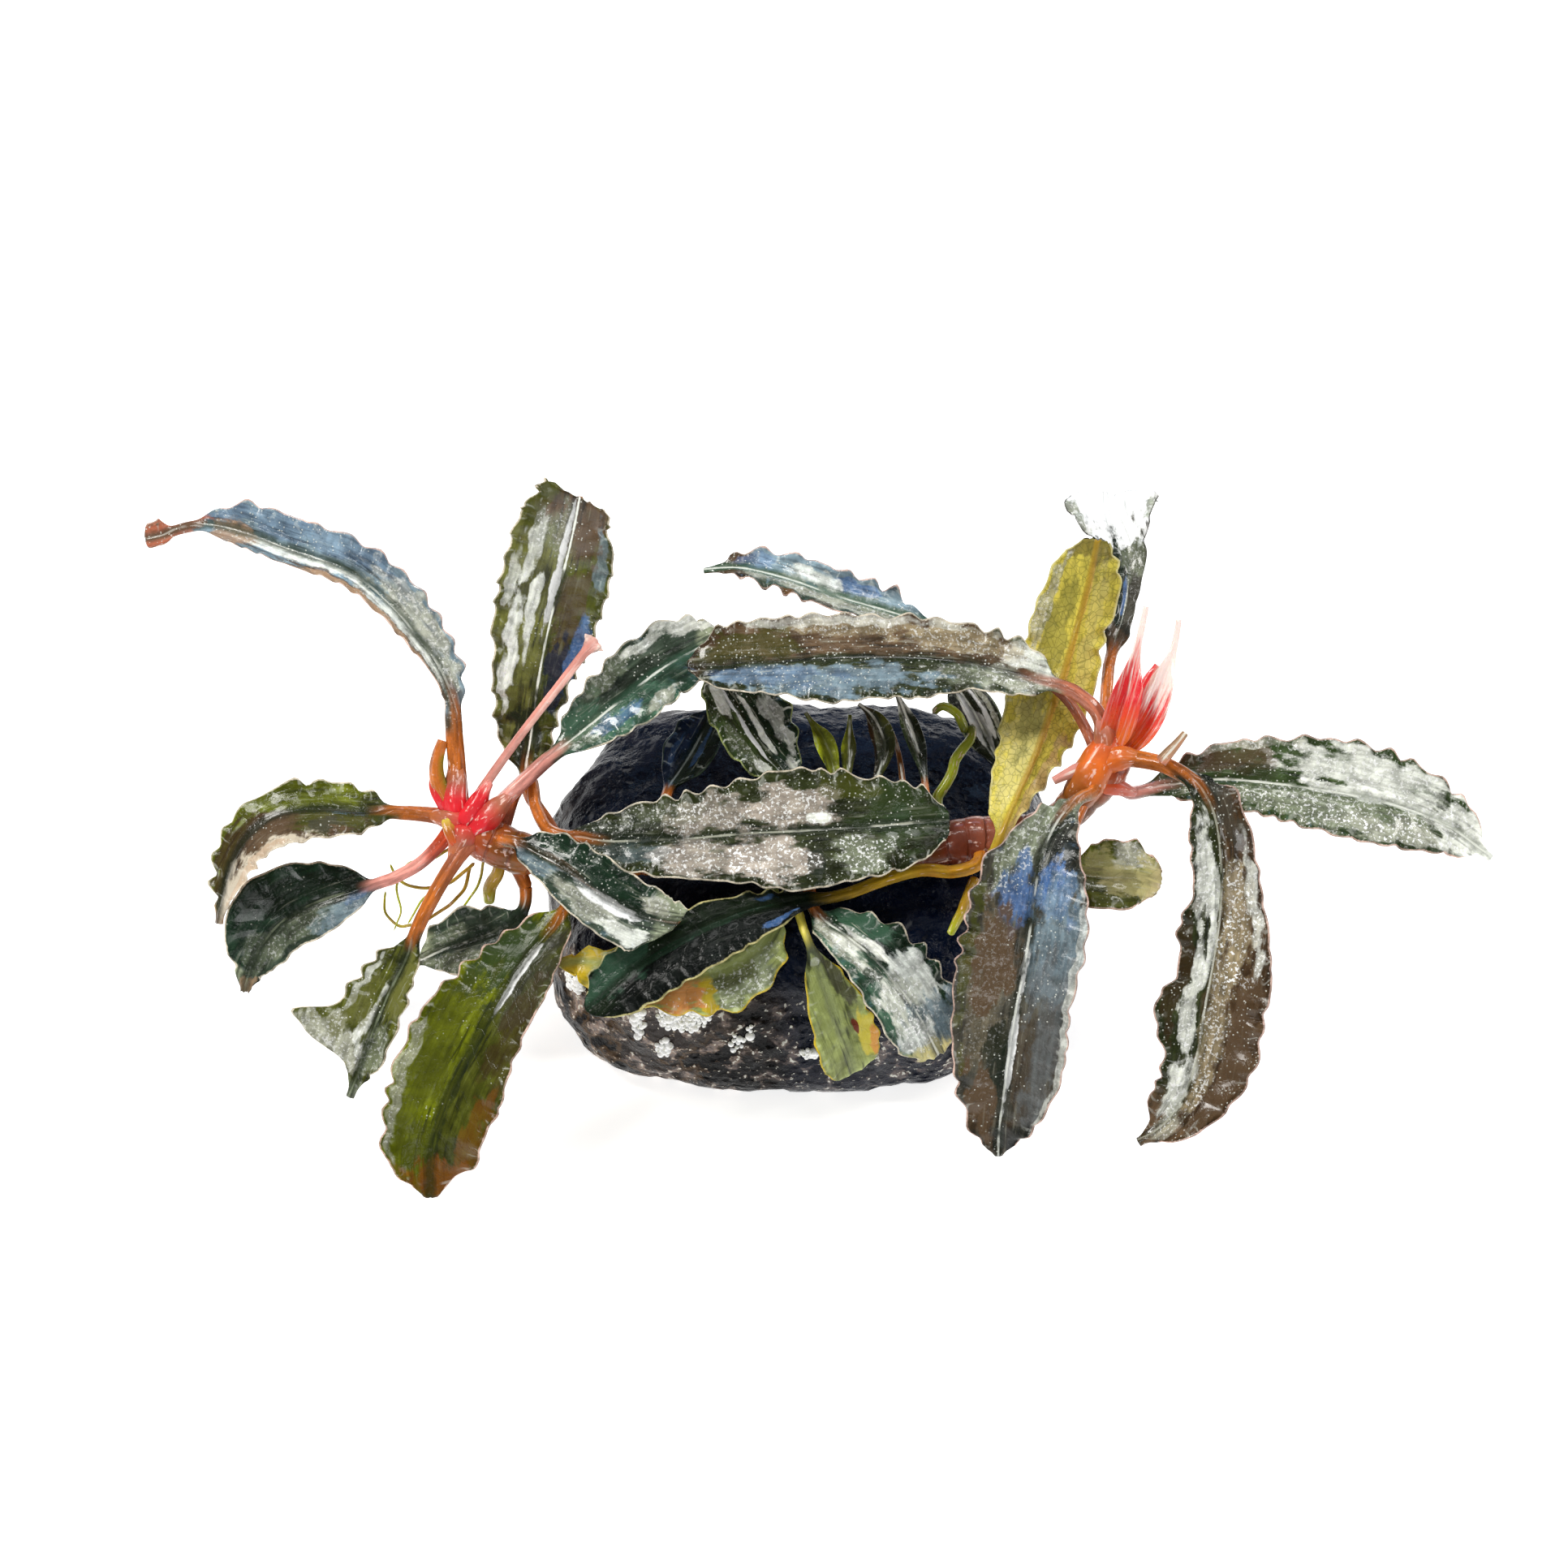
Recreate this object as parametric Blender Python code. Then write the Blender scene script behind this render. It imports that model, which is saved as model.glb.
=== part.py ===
"""A bucephalandra, a water plant with ruffled leaves, rooted on a dark wet stone.

The meshes are in metres, with +Z up. The origin is the middle of the stone's flat
underside. The tables are in millimetres, laid out as the plant is seen from the front
by someone who looks down on it: how far across, how far up the view, and how far
towards the viewer.
"""

import math

import bmesh
import bpy
from mathutils import Vector, noise

MM = 0.001
GAP = 0.3

# The view in which the plant is laid out
LOOK_DOWN = math.radians(50.0)
LOOK_AT = Vector((-1.5, 0.0, 25.4))
LOOK_FROM = 500.0
ACROSS = Vector((1.0, 0.0, 0.0))
UP_THE_VIEW = Vector((0.0, math.sin(LOOK_DOWN), math.cos(LOOK_DOWN)))
TOWARDS = Vector((0.0, -math.cos(LOOK_DOWN), math.sin(LOOK_DOWN)))

# Which way a leaf's upper side faces, in the view's own directions
SKYWARD = Vector((0.0, math.cos(LOOK_DOWN), math.sin(LOOK_DOWN)))
FORWARD = Vector((0.0, 0.0, 1.0))
HALFWAY = Vector((0.0, 0.34, 0.94))
BACKWARD = Vector((0.0, 0.0, -1.0))
LEFTWARD = Vector((-0.7, 0.25, 0.7))
RIGHTWARD = Vector((0.5, 0.1, 0.86))

# The stone
STONE_LENGTH = 48.0
STONE_DEPTH = 36.0
STONE_HEIGHT = 20.0
STONE_SQUARENESS = 3.3
STONE_CUT_SHARE = 0.35
STONE_LUMP = 1.6
STONE_LUMP_LENGTH = 11.0
STONE_EDGE_CUTS = 6

# A leaf
LEAF_THICKNESS = 0.5
KEEL_DEPTH = 0.45
RUFFLE_LENGTH = 3.0
RUFFLE_HEIGHT = 0.3
SCALLOP_SHARE = 0.05
STALK_RADIUS = 0.62
STALK_STEP = 3.0
ROUND_TO_FLAT = 1.5
CORNERS = 8

# The rhizome: across, up the view, towards, radius
RHIZOME = (
    (-31.0, -2.9, 0.1, 1.1),
    (-29.9, -3.7, 0.4, 1.9),
    (-28.0, -4.8, 0.9, 2.1),
    (-24.5, -6.3, 1.5, 2.0),
    (-20.0, -7.0, 1.9, 1.6),
    (-12.0, -6.9, 1.8, 1.5),
    (-4.0, -6.7, 1.6, 1.5),
    (4.0, -6.5, 1.5, 1.5),
    (12.0, -6.1, 1.1, 1.7),
    (17.0, -5.2, 0.3, 2.2),
    (21.0, -4.9, 0.2, 2.0),
    (25.0, -3.6, 0.3, 1.7),
    (27.8, -1.0, 0.9, 1.9),
    (29.6, 1.4, 1.2, 2.3),
    (30.4, 3.2, 1.4, 1.9),
    (31.0, 4.8, 1.6, 1.3),
)
RHIZOME_RING = 4.0
RHIZOME_RING_DEPTH = 0.12
CLEAR_STEP = 0.1

RED = (0.62, 0.06, 0.04)
ORANGE = (0.55, 0.18, 0.04)
PINK = (0.75, 0.35, 0.30)
STRAW = (0.50, 0.42, 0.06)
OLIVE = (0.16, 0.17, 0.03)
DARK_GREEN = (0.03, 0.06, 0.03)
GREY_GREEN = (0.18, 0.22, 0.18)
BLUE_GREY = (0.20, 0.27, 0.33)
BROWN = (0.16, 0.09, 0.05)
SILVER = (0.30, 0.28, 0.24)
NIGHT_BLUE = (0.02, 0.04, 0.09)
PALE_GREEN = (0.40, 0.45, 0.18)
STONE_BLACK = (0.02, 0.02, 0.025)


def clear_scene():
    for old in list(bpy.data.objects):
        bpy.data.objects.remove(old, do_unlink=True)


def plant_collection():
    found = bpy.data.collections.new("bucephalandra")
    bpy.context.scene.collection.children.link(found)
    return found


def place(point):
    """The point in space, in metres, of a point laid out in the view."""
    nearer = 1.0 - point[2] / LOOK_FROM
    flat = ACROSS * point[0] + UP_THE_VIEW * point[1]
    return (LOOK_AT + flat * nearer + TOWARDS * point[2]) * MM


def give_material(piece, colour, roughness):
    finish = bpy.data.materials.new(piece.name)
    finish.use_nodes = True
    shader = finish.node_tree.nodes["Principled BSDF"]
    shader.inputs["Base Color"].default_value = (*colour, 1.0)
    shader.inputs["Roughness"].default_value = roughness
    shader.inputs["Metallic"].default_value = 0.0
    piece.data.materials.append(finish)


def add_mesh(group, name, bm, colour, roughness):
    """A new object from this bmesh, with its faces pointing out."""
    bmesh.ops.recalc_face_normals(bm, faces=bm.faces)
    mesh = bpy.data.meshes.new(name)
    bm.to_mesh(mesh)
    bm.free()
    piece = bpy.data.objects.new(name, mesh)
    group.objects.link(piece)
    mesh.shade_smooth()
    mesh.set_sharp_from_angle(angle=math.radians(50))
    give_material(piece, colour, roughness)
    return piece


def between(rows, i, share):
    """A Catmull-Rom step from row i to the next: every column is smoothed alike."""
    before = rows[max(i - 1, 0)]
    here = rows[i]
    there = rows[i + 1]
    after = rows[min(i + 2, len(rows) - 1)]
    found = []
    for a, b, c, d in zip(before, here, there, after):
        curve = (2 * a - 5 * b + 4 * c - d) * share + (3 * b - a - 3 * c + d) * share ** 2
        found.append(b + 0.5 * share * (c - a + curve))
    return found


def smooth_rows(rows, count):
    """This many rows, evenly spaced along the smooth path through the given ones."""
    fine = 12
    dense = [between(rows, i, k / fine) for i in range(len(rows) - 1) for k in range(fine)]
    dense.append(list(rows[-1]))
    travelled = [0.0]
    for a, b in zip(dense, dense[1:]):
        travelled.append(travelled[-1] + math.dist(a[:3], b[:3]))
    found = []
    k = 0
    for n in range(count):
        want = travelled[-1] * n / (count - 1)
        while k < len(dense) - 2 and travelled[k + 1] < want:
            k += 1
        stretch = max(travelled[k + 1] - travelled[k], 1e-9)
        share = min(max((want - travelled[k]) / stretch, 0.0), 1.0)
        found.append([p + (q - p) * share for p, q in zip(dense[k], dense[k + 1])])
    return found


def path_length(rows):
    return sum(math.dist(a[:3], b[:3]) for a, b in zip(rows, rows[1:]))


def rhizome_clearance(point):
    """How far a point is from the rhizome's bark, in the layout's millimetres."""
    return min(math.dist(point, row[:3]) - row[3] for row in smooth_rows(RHIZOME, 90))


def clear_of_rhizome(rows, radius):
    """The rows with the first one moved out of the bark, towards the second."""
    start = Vector(rows[0][:3])
    step = (Vector(rows[1][:3]) - start).normalized() * CLEAR_STEP
    while rhizome_clearance(start) < GAP + 0.8 * radius:
        start = start + step
    return [[*start, *rows[0][3:]]] + [list(row) for row in rows[1:]]


def across_blade(reach, channel, curl):
    """How far out and up a blade has come, where it folds and then curls."""
    out = 0.0
    up = 0.0
    pieces = 6
    for k in range(pieces):
        angle = channel + curl * (reach * (k + 0.5) / pieces) ** 2
        out += math.cos(angle) * reach / pieces
        up += math.sin(angle) * reach / pieces
    return out, up


def leaf_corner(k, halves, stalk, folds, waves):
    """One of eight corners round a leaf: the left margin, over the top, and back below."""
    angle = math.tau * k / CORNERS
    left_side = math.cos(angle) > -1e-6
    half = halves[0] if left_side else halves[1]
    reach = (1.0, 0.5, 0.0, 0.5)[k % 4]
    channel, curl = folds[0] if left_side else folds[1]
    out, up = across_blade(reach, channel, curl)
    out *= half if left_side else -half
    up = up * half + (waves[0] if left_side else waves[1]) * reach ** 2
    if k in (1, 2, 3):
        up += LEAF_THICKNESS / 2
    if k in (5, 7):
        up -= LEAF_THICKNESS / 2
    if k == 6:
        up -= KEEL_DEPTH
    flat = min(max((max(halves) - stalk) / ROUND_TO_FLAT, 0.0), 1.0)
    flat = flat * flat * (3 - 2 * flat)
    round_out = stalk * math.cos(angle)
    round_up = stalk * math.sin(angle)
    return round_out + (out - round_out) * flat, round_up + (up - round_up) * flat


def join_rings(bm, one, two):
    """Triangles between two rings, split alike above and below so that the blade keeps its thickness."""
    for k in range(CORNERS):
        m = (k + 1) % CORNERS
        if k % 4 < 2:
            bm.faces.new((one[k], one[m], two[m]))
            bm.faces.new((one[k], two[m], two[k]))
        else:
            bm.faces.new((one[k], one[m], two[k]))
            bm.faces.new((one[m], two[m], two[k]))


def close_end(bm, ring):
    """The end of a leaf, closed from its left margin to its right one."""
    bm.faces.new((ring[7], ring[0], ring[1]))
    bm.faces.new((ring[7], ring[1], ring[2], ring[6]))
    bm.faces.new((ring[6], ring[2], ring[3], ring[5]))
    bm.faces.new((ring[5], ring[3], ring[4]))


def leaf_stations(rows, radius):
    """Rows along the stalk and then, two to a ruffle, along the blade."""
    first = next(i for i, row in enumerate(rows) if row[3] > 0)
    stalk_rows = rows[: first]
    blade_rows = rows[max(first - 1, 0):]
    found = []
    if len(stalk_rows) > 1:
        count = max(round(path_length(stalk_rows) / STALK_STEP), 1) + 1
        found = smooth_rows(rows[: first + 1], count + 1)[: -1]
        keep = path_length(stalk_rows)
        found = [row for row in found if math.dist(row[:3], found[0][:3]) < keep * 0.97]
    count = max(round(path_length(blade_rows) / (RUFFLE_LENGTH / 2)), 5) + 1
    return found, smooth_rows(blade_rows, count)


def leaf(group, name, colour, rows, face=SKYWARD, face_tip=None, channel=12.0, curl=0.0,
         left_curl=None, ruffle=1.0, stalk=STALK_RADIUS, skew=0.0, roughness=0.3, free=False):
    """A leaf with its stalk, lofted along its midrib.

    A row holds the midrib's place and the blade's half width to the left and to the
    right of someone who walks along it on its upper side; both are 0 on the stalk.
    """
    rows = [list(row) for row in rows] if free else clear_of_rhizome(rows, stalk)
    on_stalk, on_blade = leaf_stations(rows, stalk)
    stations = on_stalk + on_blade
    face_tip = face if face_tip is None else face_tip
    fold = math.radians(channel)
    right = (fold, math.radians(curl))
    left = (fold, math.radians(curl if left_curl is None else left_curl))
    bm = bmesh.new()
    rings = []
    for i, row in enumerate(stations):
        along = i / (len(stations) - 1)
        here = Vector(row[:3])
        ahead = Vector(stations[min(i + 1, len(stations) - 1)][:3])
        behind = Vector(stations[max(i - 1, 0)][:3])
        run = (ahead - behind).normalized()
        top = face.lerp(face_tip, along)
        top = (top - run * top.dot(run)).normalized()
        side = top.cross(run)
        halves = [max(row[3], 0.0), max(row[4], 0.0)]
        on = i - len(on_stalk)
        beat = (1 if on % 2 else -1) if 0 < on < len(on_blade) - 1 else 0
        height = ruffle * RUFFLE_HEIGHT * beat * min(max(halves) / 2.0, 1.0)
        halves[0] *= 1 + ruffle * SCALLOP_SHARE * beat
        halves[1] *= 1 - ruffle * SCALLOP_SHARE * beat
        radius = stalk * (1 - 0.45 * along)
        ring = []
        for k in range(CORNERS):
            out, up = leaf_corner(k, halves, radius, (left, right), (height, -height))
            forward = skew * out / max(halves[0], 1.0) * along ** 3
            ring.append(bm.verts.new(place(here + side * out + top * up + run * forward)))
        rings.append(ring)
    for one, two in zip(rings, rings[1:]):
        join_rings(bm, one, two)
    close_end(bm, rings[0])
    close_end(bm, rings[-1])
    return add_mesh(group, name, bm, colour, roughness)


def tube(group, name, colour, rows, step, sides_level=1, roughness=0.35):
    """A round stem or root: a curve with its own radius at each point."""
    count = max(round(path_length(rows) / step), 2) + 1
    curve = bpy.data.curves.new(name, "CURVE")
    curve.dimensions = "3D"
    curve.bevel_depth = MM
    curve.bevel_resolution = sides_level
    curve.use_fill_caps = True
    spline = curve.splines.new("POLY")
    spline.points.add(count - 1)
    for point, row in zip(spline.points, smooth_rows(rows, count)):
        point.co = (*place(row), 1.0)
        point.radius = row[3]
    piece = bpy.data.objects.new(name, curve)
    group.objects.link(piece)
    give_material(piece, colour, roughness)
    return piece


def add_stone(group):
    """A rounded stone with a flat underside: a cut cube blown up and lumped."""
    half = Vector((STONE_LENGTH, STONE_DEPTH, STONE_HEIGHT / (2 - STONE_CUT_SHARE) * 2)) / 2
    floor = -half.z * (1 - STONE_CUT_SHARE)
    bm = bmesh.new()
    bmesh.ops.create_cube(bm, size=2.0)
    bmesh.ops.subdivide_edges(bm, edges=bm.edges, cuts=STONE_EDGE_CUTS, use_grid_fill=True)
    for vert in bm.verts:
        size = sum(abs(c) ** STONE_SQUARENESS for c in vert.co) ** (1 / STONE_SQUARENESS)
        rounded = vert.co / size
        spot = Vector(rounded[i] * half[i] for i in range(3))
        lump = noise.noise(spot / STONE_LUMP_LENGTH) * STONE_LUMP
        spot += rounded.normalized() * min(lump, 0.0)
        spot.z = max(spot.z, floor) - floor
        vert.co = spot * MM
    return add_mesh(group, "stone", bm, STONE_BLACK, 0.25)


def add_rhizome(group):
    """The creeping stem, ringed where old leaves grew, with a growing tip at each end."""
    count = round(path_length(RHIZOME) / (RHIZOME_RING / 2)) + 1
    rings = smooth_rows(RHIZOME, count)
    for i, row in enumerate(rings):
        row[3] -= RHIZOME_RING_DEPTH * (i % 2)
    tube(group, "rhizome", ORANGE, rings, RHIZOME_RING / 2, sides_level=2)


def add_left_leaves(group):
    leaf(group, "leaf_arching_left", BLUE_GREY, [
        (-30.0, -3.4, 0.4, 0, 0),
        (-30.2, 0.8, 0.5, 0, 0),
        (-30.5, 4.6, 1.4, 0, 0),
        (-30.8, 8.0, 2.4, 1.6, 1.6),
        (-32.0, 11.0, 2.8, 2.4, 2.2),
        (-34.0, 13.7, 2.8, 2.8, 2.6),
        (-36.3, 16.4, 2.4, 3.0, 2.8),
        (-40.2, 19.6, 1.4, 3.1, 2.8),
        (-46.2, 21.8, -0.2, 3.0, 3.0),
        (-50.0, 23.2, -1.4, 3.0, 3.0),
        (-53.1, 23.9, -2.4, 1.4, 1.4),
        (-55.6, 23.6, -3.2, 0.5, 0.5),
        (-57.8, 22.9, -3.6, 1.7, 1.3),
        (-59.0, 22.6, -3.8, 1.8, 1.0),
    ], face=RIGHTWARD, face_tip=SKYWARD, channel=24, curl=10, left_curl=70)
    leaf(group, "leaf_upright", OLIVE, [
        (-20.6, -6.4, 1.2, 0, 0),
        (-21.8, -3.4, -1.4, 0, 0),
        (-23.4, -1.2, -2.2, 0, 0),
        (-23.9, 0.8, -2.4, 0.7, 0.7),
        (-23.6, 3.1, -2.2, 2.6, 2.0),
        (-23.2, 5.7, -1.6, 3.6, 2.2),
        (-22.6, 10.2, 0.2, 4.5, 3.2),
        (-21.5, 15.5, 2.6, 5.5, 4.4),
        (-20.2, 20.3, 5.2, 5.7, 4.6),
        (-19.4, 23.7, 7.2, 5.4, 4.1),
        (-18.9, 26.4, 8.8, 4.0, 3.0),
    ], face=FORWARD, channel=8, curl=8, skew=1.6)
    leaf(group, "cut_leaf_stalk", PINK, [
        (-29.4, -3.4, 0.8, 0, 0),
        (-28.0, -0.7, 1.4, 0.4, 0.4),
        (-24.4, 4.4, 2.6, 0.6, 0.6),
        (-20.2, 9.8, 3.8, 0.8, 0.8),
        (-17.4, 13.2, 4.4, 1.1, 1.1),
    ], face=FORWARD, channel=0, ruffle=0, stalk=0.5)
    leaf(group, "leaf_inner_left", GREY_GREEN, [
        (-28.4, -4.2, 0.9, 0, 0),
        (-26.4, -2.0, 2.2, 0, 0),
        (-24.0, 0.3, 2.4, 0, 0),
        (-21.9, 2.2, 2.2, 0, 0),
        (-21.0, 2.9, 2.1, 0.9, 0.9),
        (-18.1, 5.3, 1.8, 2.6, 2.6),
        (-14.7, 8.0, 1.2, 3.6, 3.6),
        (-11.3, 10.6, 0.2, 4.0, 3.5),
        (-8.3, 12.3, -1.0, 3.4, 3.3),
        (-6.2, 13.3, -2.0, 2.4, 2.3),
        (-5.2, 13.8, -2.5, 0.8, 0.8),
    ], face=HALFWAY, channel=14, curl=6)
    leaf(group, "leaf_left_upper", OLIVE, [
        (-30.4, -3.3, 0.3, 0, 0),
        (-33.2, -2.8, 0.6, 0, 0),
        (-35.2, -2.7, 0.7, 0, 0),
        (-36.5, -2.6, 0.8, 1.2, 1.2),
        (-39.5, -2.6, 0.9, 2.6, 2.6),
        (-43.2, -2.4, 0.9, 3.4, 2.9),
        (-46.6, -2.9, 0.8, 3.7, 2.9),
        (-49.2, -4.6, 0.6, 3.4, 2.7),
        (-50.9, -7.2, 0.4, 2.8, 2.2),
        (-51.8, -10.2, 0.1, 1.8, 1.3),
        (-52.2, -12.9, -0.3, 0.6, 0.5),
    ], face=SKYWARD, face_tip=LEFTWARD, channel=26, curl=8, left_curl=75, ruffle=0.6)
    leaf(group, "leaf_left_lower", DARK_GREEN, [
        (-30.4, -3.8, 0.2, 0, 0),
        (-32.4, -6.2, 0.2, 0, 0),
        (-34.6, -8.0, -0.2, 0, 0),
        (-37.0, -9.0, -0.8, 0, 0),
        (-38.2, -9.4, -1.1, 1.1, 1.1),
        (-41.0, -10.2, -1.6, 2.6, 3.0),
        (-44.0, -11.3, -2.1, 3.3, 4.3),
        (-46.6, -12.9, -2.7, 2.9, 4.9),
        (-48.4, -15.2, -3.3, 2.6, 3.9),
        (-49.4, -17.4, -3.8, 1.6, 1.9),
        (-49.9, -19.2, -4.2, 0.9, 0.8),
    ], face=HALFWAY, face_tip=FORWARD, channel=6, curl=6, ruffle=0.4)
    leaf(group, "leaf_left_drooping", GREY_GREEN, [
        (-28.6, -4.8, 1.6, 0, 0),
        (-30.6, -7.4, 3.0, 0, 0),
        (-32.4, -10.4, 2.8, 0, 0),
        (-33.8, -13.2, 2.2, 0, 0),
        (-34.2, -14.2, 2.0, 0.9, 0.9),
        (-35.0, -16.4, 1.6, 1.8, 2.4),
        (-36.5, -19.4, 0.9, 2.6, 3.5),
        (-37.6, -22.0, 0.3, 2.6, 4.4),
        (-38.4, -24.1, -0.2, 2.4, 8.2),
        (-38.9, -25.6, -0.6, 2.1, 2.6),
        (-39.6, -27.6, -1.2, 1.2, 1.2),
        (-40.1, -28.9, -1.6, 0.4, 0.4),
    ], channel=16, curl=10)
    leaf(group, "leaf_front_left_large", OLIVE, [
        (-18.6, -7.0, 1.8, 0, 0),
        (-19.0, -8.9, 3.2, 0, 0),
        (-19.8, -10.6, 4.0, 0, 0),
        (-20.6, -12.2, 4.6, 1.4, 1.4),
        (-22.4, -14.5, 5.2, 2.9, 2.8),
        (-24.4, -16.9, 5.6, 4.1, 3.7),
        (-26.7, -20.5, 5.8, 4.4, 5.1),
        (-28.6, -23.9, 5.6, 4.9, 6.0),
        (-30.4, -27.3, 5.2, 5.8, 5.9),
        (-31.6, -30.3, 4.7, 5.2, 5.5),
        (-32.5, -33.0, 4.1, 5.1, 4.8),
        (-32.8, -35.5, 3.5, 3.9, 3.8),
        (-32.7, -37.2, 3.0, 1.9, 1.9),
        (-32.7, -38.2, 2.7, 1.1, 1.1),
    ], channel=8, curl=6, ruffle=0.9)
    leaf(group, "leaf_silver_left", SILVER, [
        (-26.6, -5.4, 1.2, 0, 0),
        (-25.8, -5.2, 4.6, 0, 0),
        (-24.8, -5.4, 5.6, 0.8, 0.8),
        (-23.2, -6.3, 6.6, 2.2, 1.8),
        (-21.5, -7.2, 7.4, 2.9, 2.4),
        (-18.8, -8.9, 8.4, 3.2, 3.4),
        (-16.2, -10.7, 9.0, 3.2, 3.8),
        (-13.2, -12.2, 9.3, 2.9, 4.2),
        (-10.8, -12.8, 9.4, 2.4, 4.2),
        (-9.8, -12.9, 9.4, 1.8, 3.8),
    ], face=HALFWAY, channel=10, curl=20, ruffle=0.5, skew=1.5)
    leaf(group, "leaf_shaded_left", GREY_GREEN, [
        (-25.0, -6.8, 0.8, 0, 0),
        (-23.9, -9.6, -0.2, 0, 0),
        (-24.2, -11.9, -0.6, 1.0, 1.0),
        (-26.4, -13.6, -1.2, 2.8, 2.6),
        (-29.2, -14.6, -1.8, 3.2, 3.0),
        (-31.6, -15.4, -2.4, 2.6, 2.6),
        (-33.2, -16.2, -2.8, 1.4, 1.4),
        (-33.9, -16.5, -3.0, 0.5, 0.5),
    ], face=HALFWAY, channel=10)
    leaf(group, "bract_left", STRAW, [
        (-30.9, -2.8, 0.3, 0, 0),
        (-32.0, -1.4, 0.8, 0.3, 0.3),
        (-32.4, 1.0, 1.1, 0.6, 0.6),
        (-32.1, 3.0, 1.3, 0.5, 0.5),
        (-31.9, 4.0, 1.5, 0.15, 0.15),
    ], face=FORWARD, channel=20, ruffle=0, stalk=0.35)


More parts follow.
